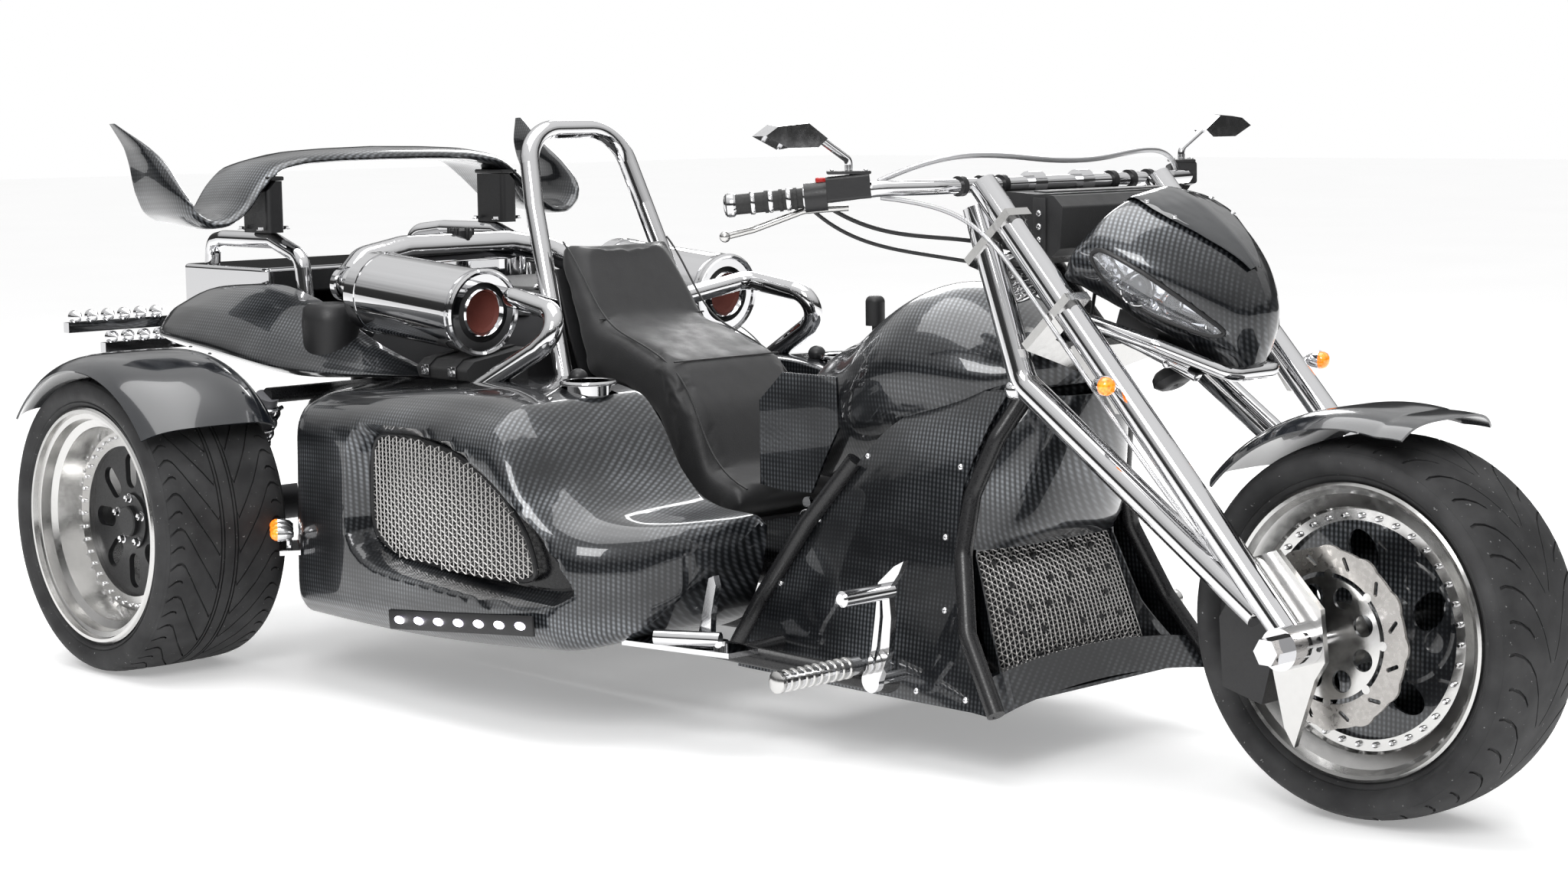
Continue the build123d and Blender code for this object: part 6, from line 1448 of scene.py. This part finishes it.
class TRIKE_OT_tail(bpy.types.Operator):
    """Makes the creased tail shells and the pots between them and the cans"""

    bl_idname = "trike.tail"
    bl_label = "Tail Shells"

    def execute(self, context):
        shells = []
        inner, runs, turn = 0.3535, (5, 5, 6, 3, 6, 5, 3), 4
        rows = sum(runs) + (len(runs) - 1) * turn
        for side in SIDES:

            def spot(u, v):
                x = TAIL_TOP[0][0] + 0.968 * u
                top, low, out = curve(TAIL_TOP, x), curve(TAIL_LOW, x), curve(TAIL_OUT, x)
                tall, reach = top - low, out - inner
                crease = 0.62 - 0.25 * u
                corners = [
                    (inner, low), (inner + reach * 0.75, low + tall * 0.02), (out, low + tall * 0.22),
                    (inner + reach * 0.80, low + tall * crease), (inner + reach * 0.70, low + tall * (crease + 0.13)),
                    (inner + reach * 0.30, top), (inner, top), (inner, low),
                ]
                radii = (0, reach * 0.2, reach * 0.25, reach * 0.05, reach * 0.06, reach * 0.35, 0.002, 0)
                y, z = bent(corners, radii, runs, turn)[round(v * rows)]
                return Vector((x, side * y, z))

            shells.append(capped(laid(90, rows, spot)))
        settled(joined(shells), "tail_shell_skins", "carbon", "chassis", 32, ("tail_shells",))
        outline = [(0, 0), (0, 0.060), (0.10, 0.064), (0.13, 0.060), (0.14, 0.050), (0.14, 0.0)]
        pots = [turned(outline, (-1.030, side * 0.420, 0.660), (0, 0, 1), 32) for side in SIDES]
        settled(joined(pots), "dark_pots", "satin_black", "chassis")
        return {"FINISHED"}


# ---------------------------------------------------------------- front shell
# Lines of the front shell over its height: half width, rear edge and front edge.
SHELL_HALF = [(0.126, 0.3215), (0.240, 0.294), (0.400, 0.250), (0.540, 0.226), (0.630, 0.198), (0.700, 0.160)]
SHELL_REAR = [
    (0.126, 0.196), (0.160, 0.196), (0.300, 0.256), (0.420, 0.330), (0.540, 0.436), (0.612, 0.500), (0.700, 0.640)
]
SHELL_FRONT = [
    (0.126, 0.862), (0.180, 0.826), (0.260, 0.772), (0.320, 0.742), (0.390, 0.718), (0.500, 0.714), (0.620, 0.744),
    (0.700, 0.768)
]


# The shell's lowest and highest point.
SHELL_ENDS = (0.126, 0.700)


def shell_face(x, z):
    """Half width of the front shell's bulged side."""
    rear, front = curve(SHELL_REAR, z), curve(SHELL_FRONT, z)
    bulge = math.sin(math.pi * within(x, rear, front)) * math.sin(math.pi * within(z, *SHELL_ENDS)) ** 0.6
    return curve(SHELL_HALF, z) + 0.003 + 0.020 * bulge


GRILLE_TOP = Vector((0.694, 0.0, 0.400))
GRILLE_FOOT = Vector((0.778, 0.0, 0.172))
SCOOP_LINE = [(0.404, 0.748), (0.440, 0.768), (0.500, 0.782), (0.600, 0.806), (0.690, 0.830)]
SCOOP_HALF = [(0.404, 0.222), (0.510, 0.204), (0.615, 0.172), (0.690, 0.130)]
GRILLE_WIDTH = 0.424
GRILLE_BELLY = 0.012


class TRIKE_OT_front_shell(bpy.types.Operator):
    """Lays the bulged carbon sides on the front shell, with their screws"""

    bl_idname = "trike.front_shell"
    bl_label = "Front Shell"

    def execute(self, context):
        panels, spots = [], []
        for side in SIDES:

            def spot(u, v):
                z = 0.130 + 0.566 * v
                rear, front = curve(SHELL_REAR, z), curve(SHELL_FRONT, z)
                x = rear + (front - rear) * u
                return Vector((x, side * shell_face(x, z), z))

            panels.append(walled(laid(60, 60, spot), 0.004))
            for z in (0.150, 0.300, 0.430, 0.560):
                rear, front = curve(SHELL_REAR, z), curve(SHELL_FRONT, z)
                spots += [self.screw(rear + (front - rear) * u, z, side) for u in (0.045, 0.93)]
            spots += [self.screw(x, 0.150, side) for x in (0.36, 0.52, 0.68)]
        settled(joined(panels), "front_shell_sides", "carbon", "chassis", 50)
        self.grille()

        def scoop(u, v):
            z = 0.404 + 0.286 * v
            across = u * 2 - 1
            brow = 1 - (1 - v) ** 4
            x = curve(SCOOP_LINE, z) + 0.030 * (1 - across * across) * brow - 0.050 * across ** 4
            return Vector((x, across * curve(SCOOP_HALF, z), z))

        settled(walled(laid(40, 40, scoop), 0.004), "scoop_panel", "carbon", "chassis", 60)
        settled(spread(round_bolt(0.0062, 0.005), spots), "front_shell_screws", "chrome", "chassis")
        return {"FINISHED"}

    def screw(self, x, z, side):
        return facing((x, side * (shell_face(x, z) + 0.0015), z), (0, side, 0.25))

    def grille(self):
        """The woven grille with its dark backing and the dark studs that hold it."""
        tall = (GRILLE_TOP - GRILLE_FOOT).length
        sheet = wire_sheet(GRILLE_WIDTH, tall, 0.0125)
        for vert in sheet.data.vertices:
            share = vert.co.z / tall
            place = GRILLE_FOOT.lerp(GRILLE_TOP, share)
            across = (vert.co.x / GRILLE_WIDTH * 2 - 1) * (0.216 - 0.020 * share)
            belly = GRILLE_BELLY * math.sin(math.pi * within(share, 0, 1)) * (1 - (across / 0.22) ** 2)
            vert.co = (place.x + 0.004 + belly, across, place.z)
        modified(sheet, "WIREFRAME", thickness=0.0036, use_even_offset=False)
        settled(sheet, "front_wire_grille", "mesh", "chassis", 30, ("front_grille",))
        centre = GRILLE_FOOT.lerp(GRILLE_TOP, 0.5)
        lean = math.atan2(GRILLE_FOOT.x - GRILLE_TOP.x, GRILLE_TOP.z - GRILLE_FOOT.z)
        backing = box(centre - Vector((0.008, 0, 0)), (0.003, 0.40, tall - 0.006), 0.001, (0, -lean, 0))
        settled(backing, "grille_backing", "satin_black", "chassis", 30)
        studs = []
        for row in range(5):
            share = 0.12 + 0.19 * row
            place = GRILLE_FOOT.lerp(GRILLE_TOP, share)
            belly = GRILLE_BELLY * math.sin(math.pi * share)
            for column in range(6):
                across = -0.150 + 0.056 * column + (0.026 if row % 2 else 0.0)
                if (row * 3 + column) % 5:
                    spot = (place.x + 0.006 + belly, across, place.z)
                    studs.append(facing(spot, (math.cos(lean), 0, math.sin(lean))))
        settled(spread(round_bolt(0.0062, 0.004, False, 10), studs), "grille_studs", "satin_black", "chassis")


# ---------------------------------------------------------------- mudguards
def guard(spot, inner, outer, radius, start, arc, sag, tip=0.0):
    """A smooth mudguard: a crowned band laid round a wheel, its edges turned in."""

    def place(u, v):
        across = v * 2 - 1
        angle = math.radians(start + arc * u)
        rim = abs(across) ** 6
        out = radius - sag * (abs(across) ** 3 * 0.35 + rim * 0.65) + tip * max(0.0, 0.12 - u) / 0.12
        y = (inner + outer) / 2 + (outer - inner) / 2 * across * (1 - 0.012 * rim)
        return Vector((spot[0] + math.cos(angle) * out, y, spot[2] + math.sin(angle) * out))

    return walled(laid(80, 32, place), 0.0045)


class TRIKE_OT_guards(bpy.types.Operator):
    """Makes the crowned mudguards with their rivets"""

    bl_idname = "trike.guards"
    bl_label = "Mudguards"

    def execute(self, context):
        front = guard(FRONT_AXLE, -0.136, 0.136, 0.379, 70.0, 69.0, 0.030, 0.012)
        settled(front, "front_guard", "gloss_black", "steering", SMOOTH, ("front_mudguard",))
        rear, rivets = [], []
        for side in SIDES:
            rear.append(guard(REAR_AXLE, side * 0.600, side * 0.938, 0.376, 38.0, 102.0, 0.034))
            for index in range(7):
                angle = math.radians(52 + 12.0 * index)
                way = Vector((math.cos(angle), 0, math.sin(angle)))
                rivets.append(facing(REAR_AXLE + way * 0.3775 + Vector((0, side * 0.650, 0)), way))
        settled(joined(rear), "rear_guards", "gloss_black", "chassis", SMOOTH, ("rear_mudguards",))
        settled(spread(round_bolt(0.0042, 0.003, False, 10), rivets), "guard_rivets", "satin_black", "chassis")
        return {"FINISHED"}


# ---------------------------------------------------------------- fittings of the steering
BAR_GRIP = Vector((0.516, 0.618, 1.052))
BAR_ELBOW = Vector((0.632, 0.505, 1.066))


class TRIKE_OT_bar_fittings(bpy.types.Operator):
    """Adds grip rings, clamps, switches, hoses, blinkers and the bag's strap"""

    bl_idname = "trike.bar_fittings"
    bl_label = "Handlebar Fittings"

    def execute(self, context):
        rings, clamps, switches, lids, lid_screws = [], [], [], [], []
        band = [(0, 0.016), (0, 0.0192), (0.002, 0.0206), (0.006, 0.0206), (0.008, 0.0192), (0.008, 0.016), (0, 0.016)]
        cap = [(0, 0), (0, 0.018), (0.004, 0.0215), (0.014, 0.0215), (0.020, 0.017), (0.022, 0.010), (0.0215, 0)]
        clamp = [(0, 0.0135), (0, 0.0185), (0.013, 0.0185), (0.013, 0.0135), (0, 0.0135)]
        for side in SIDES:
            across = side * 0.75
            lid = (0.664, side * 0.474)
            end, elbow = handed(BAR_GRIP, side), handed(BAR_ELBOW, side)
            way = (end - elbow).normalized()
            rings.append(turned(cap, end - way * 0.006, way))
            for back in (0.040, 0.072, 0.104, 0.134):
                rings.append(turned(band, end - way * back, way))
            for y in (0.150, 0.205, 0.262):
                clamps.append(turned(clamp, (0.742, side * y, 1.078), (0, side, 0)))
            switches.append(box((0.628, side * 0.505, 1.094), (0.018, 0.024, 0.010), 0.003, (0, 0, across)))
            lids.append(box((*lid, 1.1075), (0.050, 0.078, 0.006), 0.002, (0, 0, across)))
            for dx, dy in ((-0.018, -0.030), (-0.018, 0.030), (0.018, -0.030), (0.018, 0.030)):
                offset = Matrix.Rotation(across, 3, "Z") @ Vector((dx, dy, 0))
                lid_screws.append(facing(Vector((*lid, 1.1105)) + offset, (0, 0, 1)))
        settled(joined(rings), "grip_rings", "chrome", "steering")
        settled(joined(clamps), "bar_clamps", "satin_black", "steering")
        settled(joined(switches[:1]), "red_switch", "red_plastic", "steering")
        settled(joined(switches[1:]), "black_switch", "satin_black", "steering")
        settled(joined(lids), "reservoir_lids", "satin_black", "steering")
        settled(spread(round_bolt(0.003, 0.003, False, 8), lid_screws), "reservoir_screws", "chrome", "steering")
        self.hoses()
        self.blinkers()
        bands = [
            box((0.850, -0.1745, 1.006), (0.030, 0.003, 0.100), 0.001),
            box((0.850, 0.0, 1.0665), (0.030, 0.345, 0.003), 0.001, (0, 0.055, 0)),
        ]
        settled(joined(bands), "bag_strap", "leather", "steering", 30)
        studs = [facing((0.850, -0.176, 0.980 + 0.024 * index), (0, -1, 0)) for index in range(3)]
        settled(spread(round_bolt(0.0058, 0.004, False), studs), "bag_studs", "chrome", "steering")
        return {"FINISHED"}

    def hoses(self):
        """The braided hose over the bar, the brake hose down the fork and the control cables."""
        braided = hose([
            (0.690, -0.425, 1.090), (0.735, -0.350, 1.128), (0.775, -0.240, 1.140), (0.800, -0.100, 1.120),
            (0.800, 0.060, 1.118), (0.775, 0.220, 1.140), (0.735, 0.350, 1.128), (0.690, 0.425, 1.090),
        ], 0.0052, 10)
        line = hose([
            (0.700, -0.430, 1.062), (0.760, -0.350, 1.050), (0.815, -0.292, 1.010), (0.900, -0.288, 0.920),
            (1.040, -0.286, 0.765), (1.200, -0.286, 0.590), (1.330, -0.268, 0.448), (1.362, -0.214, 0.400),
        ], 0.0042, 10)
        settled(joined([braided, line]), "braided_hoses", "braid", "steering", 50)
        runs = (
            (
                0.0040,
                [
                    (0.620, 0.470, 1.040), (0.640, 0.400, 1.000), (0.700, 0.300, 0.985), (0.770, 0.180, 0.975),
                    (0.800, 0.090, 0.930)
                ]
            ),
            (
                0.0036,
                [
                    (0.600, 0.495, 1.036), (0.615, 0.430, 0.985), (0.680, 0.320, 0.955), (0.760, 0.200, 0.935),
                    (0.830, 0.110, 0.905)
                ]
            ),
            (0.0034, [(0.905, 0.080, 0.905), (0.950, 0.150, 0.840), (1.000, 0.235, 0.780), (1.080, 0.270, 0.745)]),
        )
        cables = [hose([handed(spot, side) for spot in spots], radius, 8) for side in SIDES for radius, spots in runs]
        settled(joined(cables), "control_cables", "satin_black", "steering", 50)

    def blinkers(self):
        """The front blinkers on their stems."""
        bodies, lenses = [], []
        shape = [
            (0, 0), (0.0, 0.006), (0.006, 0.013), (0.016, 0.0168), (0.026, 0.0180), (0.029, 0.0180), (0.029, 0.0150),
            (0.029, 0)
        ]
        dome = [(0, 0), (0, 0.0160), (0.006, 0.0160), (0.012, 0.0135), (0.016, 0.008), (0.0175, 0)]
        for side in SIDES:
            start, way = Vector((1.090, side * 0.306, 0.743)), (1, side * 0.25, 0)
            bodies.append(turned(shape, start, way))
            lenses.append(turned(dome, start + Vector((0.0275, side * 0.007, 0)), way))
            bodies.append(bar((1.098, side * 0.262, 0.743), (1.098, side * 0.300, 0.743), 0.006))
        settled(joined(bodies), "blinker_bodies", "chrome", "steering")
        settled(joined(lenses), "blinker_lenses", "amber", "steering", SMOOTH, ("front_blinkers",))


# ---------------------------------------------------------------- fittings of the body
# The strap's line over a case, seen from behind.
CASE_LINE = [(0.2525, 0.7185), (0.330, 0.7070), (0.394, 0.6970), (0.4135, 0.6810), (0.4175, 0.672), (0.4130, 0.6550)]


def strap(points, x, width, side):
    """A flat strap over a line of (across, height) points."""

    def spot(u, v):
        y, z = points[round(v * (len(points) - 1))]
        return Vector((x - width / 2 + width * u, side * y, z))

    return walled(laid(2, len(points) - 1, spot), 0.0025)


class TRIKE_OT_body_fittings(bpy.types.Operator):
    """Adds lamps, pegs' ribs, springs, can cores, straps, bolts and the key"""

    bl_idname = "trike.body_fittings"
    bl_label = "Body Fittings"

    def execute(self, context):
        self.side_lamps()
        self.pegs()
        self.cans()
        self.cases()
        self.engine_bolts()
        coils = []
        for side in SIDES:
            foot, head = Vector((-1.244, side * 0.540, 0.372)), Vector((-1.116, side * 0.540, 0.584))
            coils.append(coiled(foot, head, 9, 0.038, 0.0055, 8))
        settled(joined(coils), "shock_springs", "chrome", "chassis")
        self.key()
        return {"FINISHED"}

    def key(self):
        """The ignition lock with its key on two rings."""
        x, y = 0.262, -0.196
        lock = [(0, 0), (0, 0.010), (0.005, 0.012), (0.010, 0.011), (0.010, 0)]
        pieces = [turned(lock, (x, -0.186, 0.448), (0, -1, 0))]
        clear()
        for z, radius in ((0.420, 0.014), (0.396, 0.011)):
            bpy.ops.mesh.primitive_torus_add(
                major_radius=radius, minor_radius=0.0013, major_segments=24, minor_segments=8,
                location=(x, y, z), rotation=(math.pi / 2, 0, 0.4),
            )
            pieces.append(bpy.context.object)
        pieces.append(box((x, y, 0.372), (0.016, 0.0022, 0.026), 0.001))
        pieces.append(box((x, y, 0.346), (0.005, 0.0020, 0.030), 0.0008))
        settled(joined(pieces), "ignition_key", "chrome", "chassis")

    def side_lamps(self):
        """Three small amber lamps on each bar behind a pod."""
        bodies, lenses = [], []
        shell = [(0, 0), (0, 0.005), (0.008, 0.0120), (0.022, 0.0150), (0.030, 0.0165), (0.034, 0.0165), (0.034, 0)]
        dome = [(0, 0), (0, 0.0145), (0.007, 0.0140), (0.013, 0.0105), (0.017, 0.005), (0.018, 0)]
        for side in SIDES:
            first, last = Vector((-0.912, side * 0.630, 0.334)), Vector((-0.786, side * 0.712, 0.334))
            way = Vector((-0.55, side * 0.83, 0.05)).normalized()
            for share in (0.08, 0.5, 0.92):
                spot = first.lerp(last, share)
                bodies.append(turned(shell, spot - way * 0.012, way))
                lenses.append(turned(dome, spot + way * 0.0205, way))
                bodies.append(bar(spot + Vector((0, 0, -0.024)), spot + Vector((0, 0, -0.008)), 0.005, 12))
        settled(joined(bodies), "side_lamp_bodies", "chrome", "chassis")
        settled(joined(lenses), "side_lamp_lenses", "amber", "chassis")

    def pegs(self):
        """Ribs and caps of the rider's pegs."""
        ribs = []
        rib = [(0, 0.017), (0.003, 0.0208), (0.010, 0.0208), (0.013, 0.017)]
        cap = [(0, 0.0), (0, 0.0185), (0.004, 0.0212), (0.012, 0.0205), (0.017, 0.014), (0.019, 0.0)]
        x, z = 0.572, 0.190
        for side in SIDES:
            for index in range(9):
                ribs.append(turned(rib + [rib[0]], (x, side * (0.395 + 0.019 * index), z), (0, side, 0)))
            ribs.append(turned(cap, (x, side * 0.568, z), (0, side, 0)))
        settled(joined(ribs), "peg_ribs", "aluminium", "chassis")

    def cans(self):
        """Rims, dished faces and gauze cores of the air cans, and the bands round them."""
        rims, cores, faces = [], [], []
        rim = [(-0.004, 0.084), (0.002, 0.093), (0.008, 0.0945), (0.012, 0.090), (0.010, 0.084), (-0.004, 0.084)]
        lip = [(0.0, 0.044), (0.006, 0.047), (0.010, 0.050), (0.006, 0.053), (0.0, 0.050), (0, 0.044)]
        dish = [
            (0.0, 0.046), (-0.010, 0.064), (0.0, 0.083), (-0.004, 0.084), (-0.016, 0.064), (-0.006, 0.046), (0, 0.046)
        ]
        core = [(-0.030, 0.0), (-0.026, 0.020), (-0.012, 0.036), (0.0, 0.0445), (-0.004, 0.0445), (-0.034, 0.0)]
        band = [(0, 0.0895), (0.001, 0.0925), (0.013, 0.0925), (0.014, 0.0895), (0, 0.0895)]
        way = Vector((0.394, 0.0, -0.030)).normalized()
        for side in SIDES:
            mouth = Vector((-0.560, side * 0.352, 0.796))
            rims.append(turned(rim, mouth - way * 0.006, way, 48))
            faces.append(turned(dish, mouth - way * 0.004, way, 48))
            rims.append(turned(lip, mouth - way * 0.004, way, 40))
            cores.append(turned(core, mouth - way * 0.002, way, 32))
            for along in (0.030, 0.360):
                rims.append(turned(band, mouth - way * along, way, 48))
        settled(joined(rims), "can_rims", "chrome", "chassis")
        settled(joined(faces), "can_faces", "satin_black", "chassis")
        settled(joined(cores), "can_cores", "gauze", "chassis")

    def cases(self):
        """Straps and buckles of the cases on the pods."""
        straps, buckles = [], []
        for side in SIDES:
            for x in (-0.682, -0.588):
                straps.append(strap(CASE_LINE, x, 0.018, side))
                buckles.append(box((x, side * 0.4185, 0.672), (0.026, 0.003, 0.022), 0.001))
                buckles.append(bar((x, side * 0.4205, 0.662), (x, side * 0.4205, 0.682), 0.0016, 8))
        settled(joined(straps), "case_straps", "leather", "chassis")
        settled(joined(buckles), "case_buckles", "chrome", "chassis", 30)

    def engine_bolts(self):
        """The engine cover's bolts, the filler cap's lobes and the bands on the cross pipe."""
        places = [facing((x, y, 0.8385), (0, 0, 1)) for x in (-0.994, -0.802, -0.610) for y in (-0.165, 0.165)]
        settled(spread(round_bolt(0.0075, 0.006), places), "engine_cover_bolts", "chrome", "chassis")
        lobes = []
        for index in range(6):
            turn = math.tau * index / 6
            x, y = -1.118 + 0.026 * math.cos(turn), 0.017 + 0.026 * math.sin(turn)
            lobes.append(bar((x, y, 0.922), (x, y, 0.9495), 0.0062, 12))
        settled(joined(lobes), "filler_lobes", "satin_black", "chassis")
        band = [(-0.008, 0.034), (-0.008, 0.0395), (0.008, 0.0395), (0.008, 0.034), (-0.008, 0.034)]
        bands = []
        for side in SIDES:
            for x, z in ((-1.062, 0.838), (-0.985, 0.828)):
                bands.append(turned(band, (x, side * 0.352, z), (1, 0, -0.06), 32))
        settled(joined(bands), "pipe_bands", "chrome", "chassis")


# ---------------------------------------------------------------- stage
class TRIKE_OT_stage(bpy.types.Operator):
    """Sets up the floor, the sky light, the lamps and the camera"""

    bl_idname = "trike.stage"
    bl_label = "Stage and Camera"

    def execute(self, context):
        settings = context.scene.trike_stage
        clear()
        bpy.ops.mesh.primitive_plane_add(size=90.0, location=(0, 0, -0.0005))
        floor = context.object
        floor.name = "Floor"
        material, tree, bsdf = shader("Pale_floor", tuple(settings.floor_colour), 0.0, 0.75)
        tone = noise(tree, coordinates(tree), 0.8, 3.0)
        shade = [(0.3, tuple(c * 0.97 for c in settings.floor_colour)), (0.7, tuple(settings.floor_colour))]
        tree.links.new(ramp(tree, tone, shade), bsdf.inputs["Base Color"])
        bsdf.inputs["Emission Color"].default_value = (1.0, 1.0, 1.0, 1.0)
        bsdf.inputs["Emission Strength"].default_value = settings.floor_glow
        floor.data.materials.append(material)

        world = bpy.data.worlds.new("Sky")
        context.scene.world = world
        world.use_nodes = True
        tree = world.node_tree
        tree.nodes.clear()
        place = tree.nodes.new("ShaderNodeTexCoord")
        parts = tree.nodes.new("ShaderNodeSeparateXYZ")
        tree.links.new(place.outputs["Generated"], parts.inputs["Vector"])
        rise = tree.nodes.new("ShaderNodeMapRange")
        rise.inputs["From Min"].default_value = -1.0
        rise.inputs["From Max"].default_value = 1.0
        tree.links.new(parts.outputs["Z"], rise.inputs["Value"])
        uneven = math_node(tree, "SUBTRACT", noise(tree, place.outputs["Generated"], 7.0, 6.0, 0.62), 0.5)
        shifted = math_node(tree, "ADD", rise.outputs["Result"], math_node(tree, "MULTIPLY", uneven, 0.22))
        sky = ramp(tree, shifted, [
            (0.0, 0.30), (0.46, 0.34), (0.49, 0.035), (0.60, 0.06), (0.645, 0.55), (0.78, 0.95), (1.0, 1.15),
        ])
        lit = tree.nodes.new("ShaderNodeBackground")
        lit.inputs["Strength"].default_value = settings.sky_strength
        tree.links.new(sky, lit.inputs["Color"])
        plain = tree.nodes.new("ShaderNodeBackground")
        plain.inputs["Color"].default_value = (1.0, 1.0, 1.0, 1.0)
        path = tree.nodes.new("ShaderNodeLightPath")
        blend = tree.nodes.new("ShaderNodeMixShader")
        tree.links.new(path.outputs["Is Camera Ray"], blend.inputs["Fac"])
        tree.links.new(lit.outputs["Background"], blend.inputs[1])
        tree.links.new(plain.outputs["Background"], blend.inputs[2])
        out = tree.nodes.new("ShaderNodeOutputWorld")
        tree.links.new(blend.outputs["Shader"], out.inputs["Surface"])

        for name, spot, aim, size, power in (
            ("Key", (3.5, -5.5, 5.0), (0.2, 0.0, 0.5), 3.0, settings.key_power),
            ("Top", (-0.5, 0.0, 6.0), (0.0, 0.0, 0.0), 5.0, settings.key_power * 0.8),
            ("Rim", (-4.0, 4.5, 3.5), (0.0, 0.0, 0.8), 2.5, settings.key_power * 0.6),
        ):
            bpy.ops.object.light_add(type="AREA", location=spot)
            lamp = context.object
            lamp.name = name
            lamp.data.size = size
            lamp.data.energy = power
            lamp.rotation_euler = (Vector(aim) - Vector(spot)).to_track_quat("-Z", "Y").to_euler()

        bpy.ops.object.camera_add()
        camera = context.object
        camera.name = "Photo_view"
        right = Vector((0.69304, 0.72080, -0.01212))
        forward = Vector((-0.71660, 0.68698, -0.12056)).normalized()
        up = right.cross(forward).normalized()
        right = forward.cross(up).normalized()
        turn = Matrix((right, up, -forward)).transposed()
        camera.matrix_world = Matrix.Translation((4.1213, -3.9552, 1.2251)) @ turn.to_4x4()
        camera.data.lens = settings.lens
        camera.data.sensor_width = 36.0
        camera.data.sensor_fit = "HORIZONTAL"
        camera.data.clip_end = 200.0
        context.scene.camera = camera
        context.scene.view_settings.view_transform = "Standard"
        return {"FINISHED"}


class TRIKE_PG_stage(bpy.types.PropertyGroup):
    """Floor, light and lens"""

    floor_colour: bpy.props.FloatVectorProperty(
        name="Floor Colour", description="Colour of the pale floor", subtype="COLOR", size=3, default=(0.88, 0.88, 0.88)
    )
    floor_glow: bpy.props.FloatProperty(
        name="Floor Glow", description="Light that the floor gives of its own", default=0.30, min=0.0
    )
    sky_strength: bpy.props.FloatProperty(
        name="Sky Strength", description="Brightness of the sky light", default=0.85, min=0.0
    )
    key_power: bpy.props.FloatProperty(
        name="Key Power", description="Power of the key lamp", subtype="POWER", default=260.0
    )
    lens: bpy.props.FloatProperty(
        name="Lens", description="Focal length of the camera", subtype="DISTANCE_CAMERA", default=63.28
    )


groups = {
    "trike_stage": TRIKE_PG_stage,
    "trike_tyres": TRIKE_PG_tyres,
    "trike_wheels": TRIKE_PG_wheels,
    "trike_pods": TRIKE_PG_pods,
    "trike_seat": TRIKE_PG_seat,
    "trike_nacelle": TRIKE_PG_nacelle,
    "trike_wing": TRIKE_PG_wing,
}
operators = [
    TRIKE_OT_stage, TRIKE_OT_tyres, TRIKE_OT_wheel_bolts, TRIKE_OT_fork_hardware, TRIKE_OT_pods, TRIKE_OT_seat,
    TRIKE_OT_nacelle,
    TRIKE_OT_wing, TRIKE_OT_tail, TRIKE_OT_front_shell, TRIKE_OT_guards, TRIKE_OT_bar_fittings, TRIKE_OT_body_fittings,
]


class TRIKE_PT_panel(bpy.types.Panel):
    """Buttons and sizes of the motorcycle's dressing"""

    bl_idname = "TRIKE_PT_panel"
    bl_label = "Three-Wheel Motorcycle"
    bl_space_type = "VIEW_3D"
    bl_region_type = "UI"
    bl_category = "Motorcycle"

    def draw(self, context):
        for item in operators:
            self.layout.operator(item.bl_idname)
        for name, group in groups.items():
            settings = getattr(context.scene, name)
            column = self.layout.column(align=True)
            column.label(text=group.__doc__)
            for key in group.__annotations__:
                column.prop(settings, key)


def register():
    for item in (*groups.values(), *operators, TRIKE_PT_panel):
        bpy.utils.register_class(item)
    for name, group in groups.items():
        setattr(bpy.types.Scene, name, bpy.props.PointerProperty(type=group))


def unregister():
    for name in groups:
        delattr(bpy.types.Scene, name)
    for item in reversed((*groups.values(), *operators, TRIKE_PT_panel)):
        bpy.utils.unregister_class(item)


def main():
    register()
    paint_nodes()
    bpy.ops.trike.stage()
    bpy.ops.trike.tyres()
    bpy.ops.trike.wheel_bolts()
    bpy.ops.trike.fork_hardware()
    bpy.ops.trike.pods()
    bpy.ops.trike.seat()
    bpy.ops.trike.nacelle()
    bpy.ops.trike.wing()
    bpy.ops.trike.tail()
    bpy.ops.trike.front_shell()
    bpy.ops.trike.guards()
    bpy.ops.trike.bar_fittings()
    bpy.ops.trike.body_fittings()


if __name__ == "__main__":
    main()
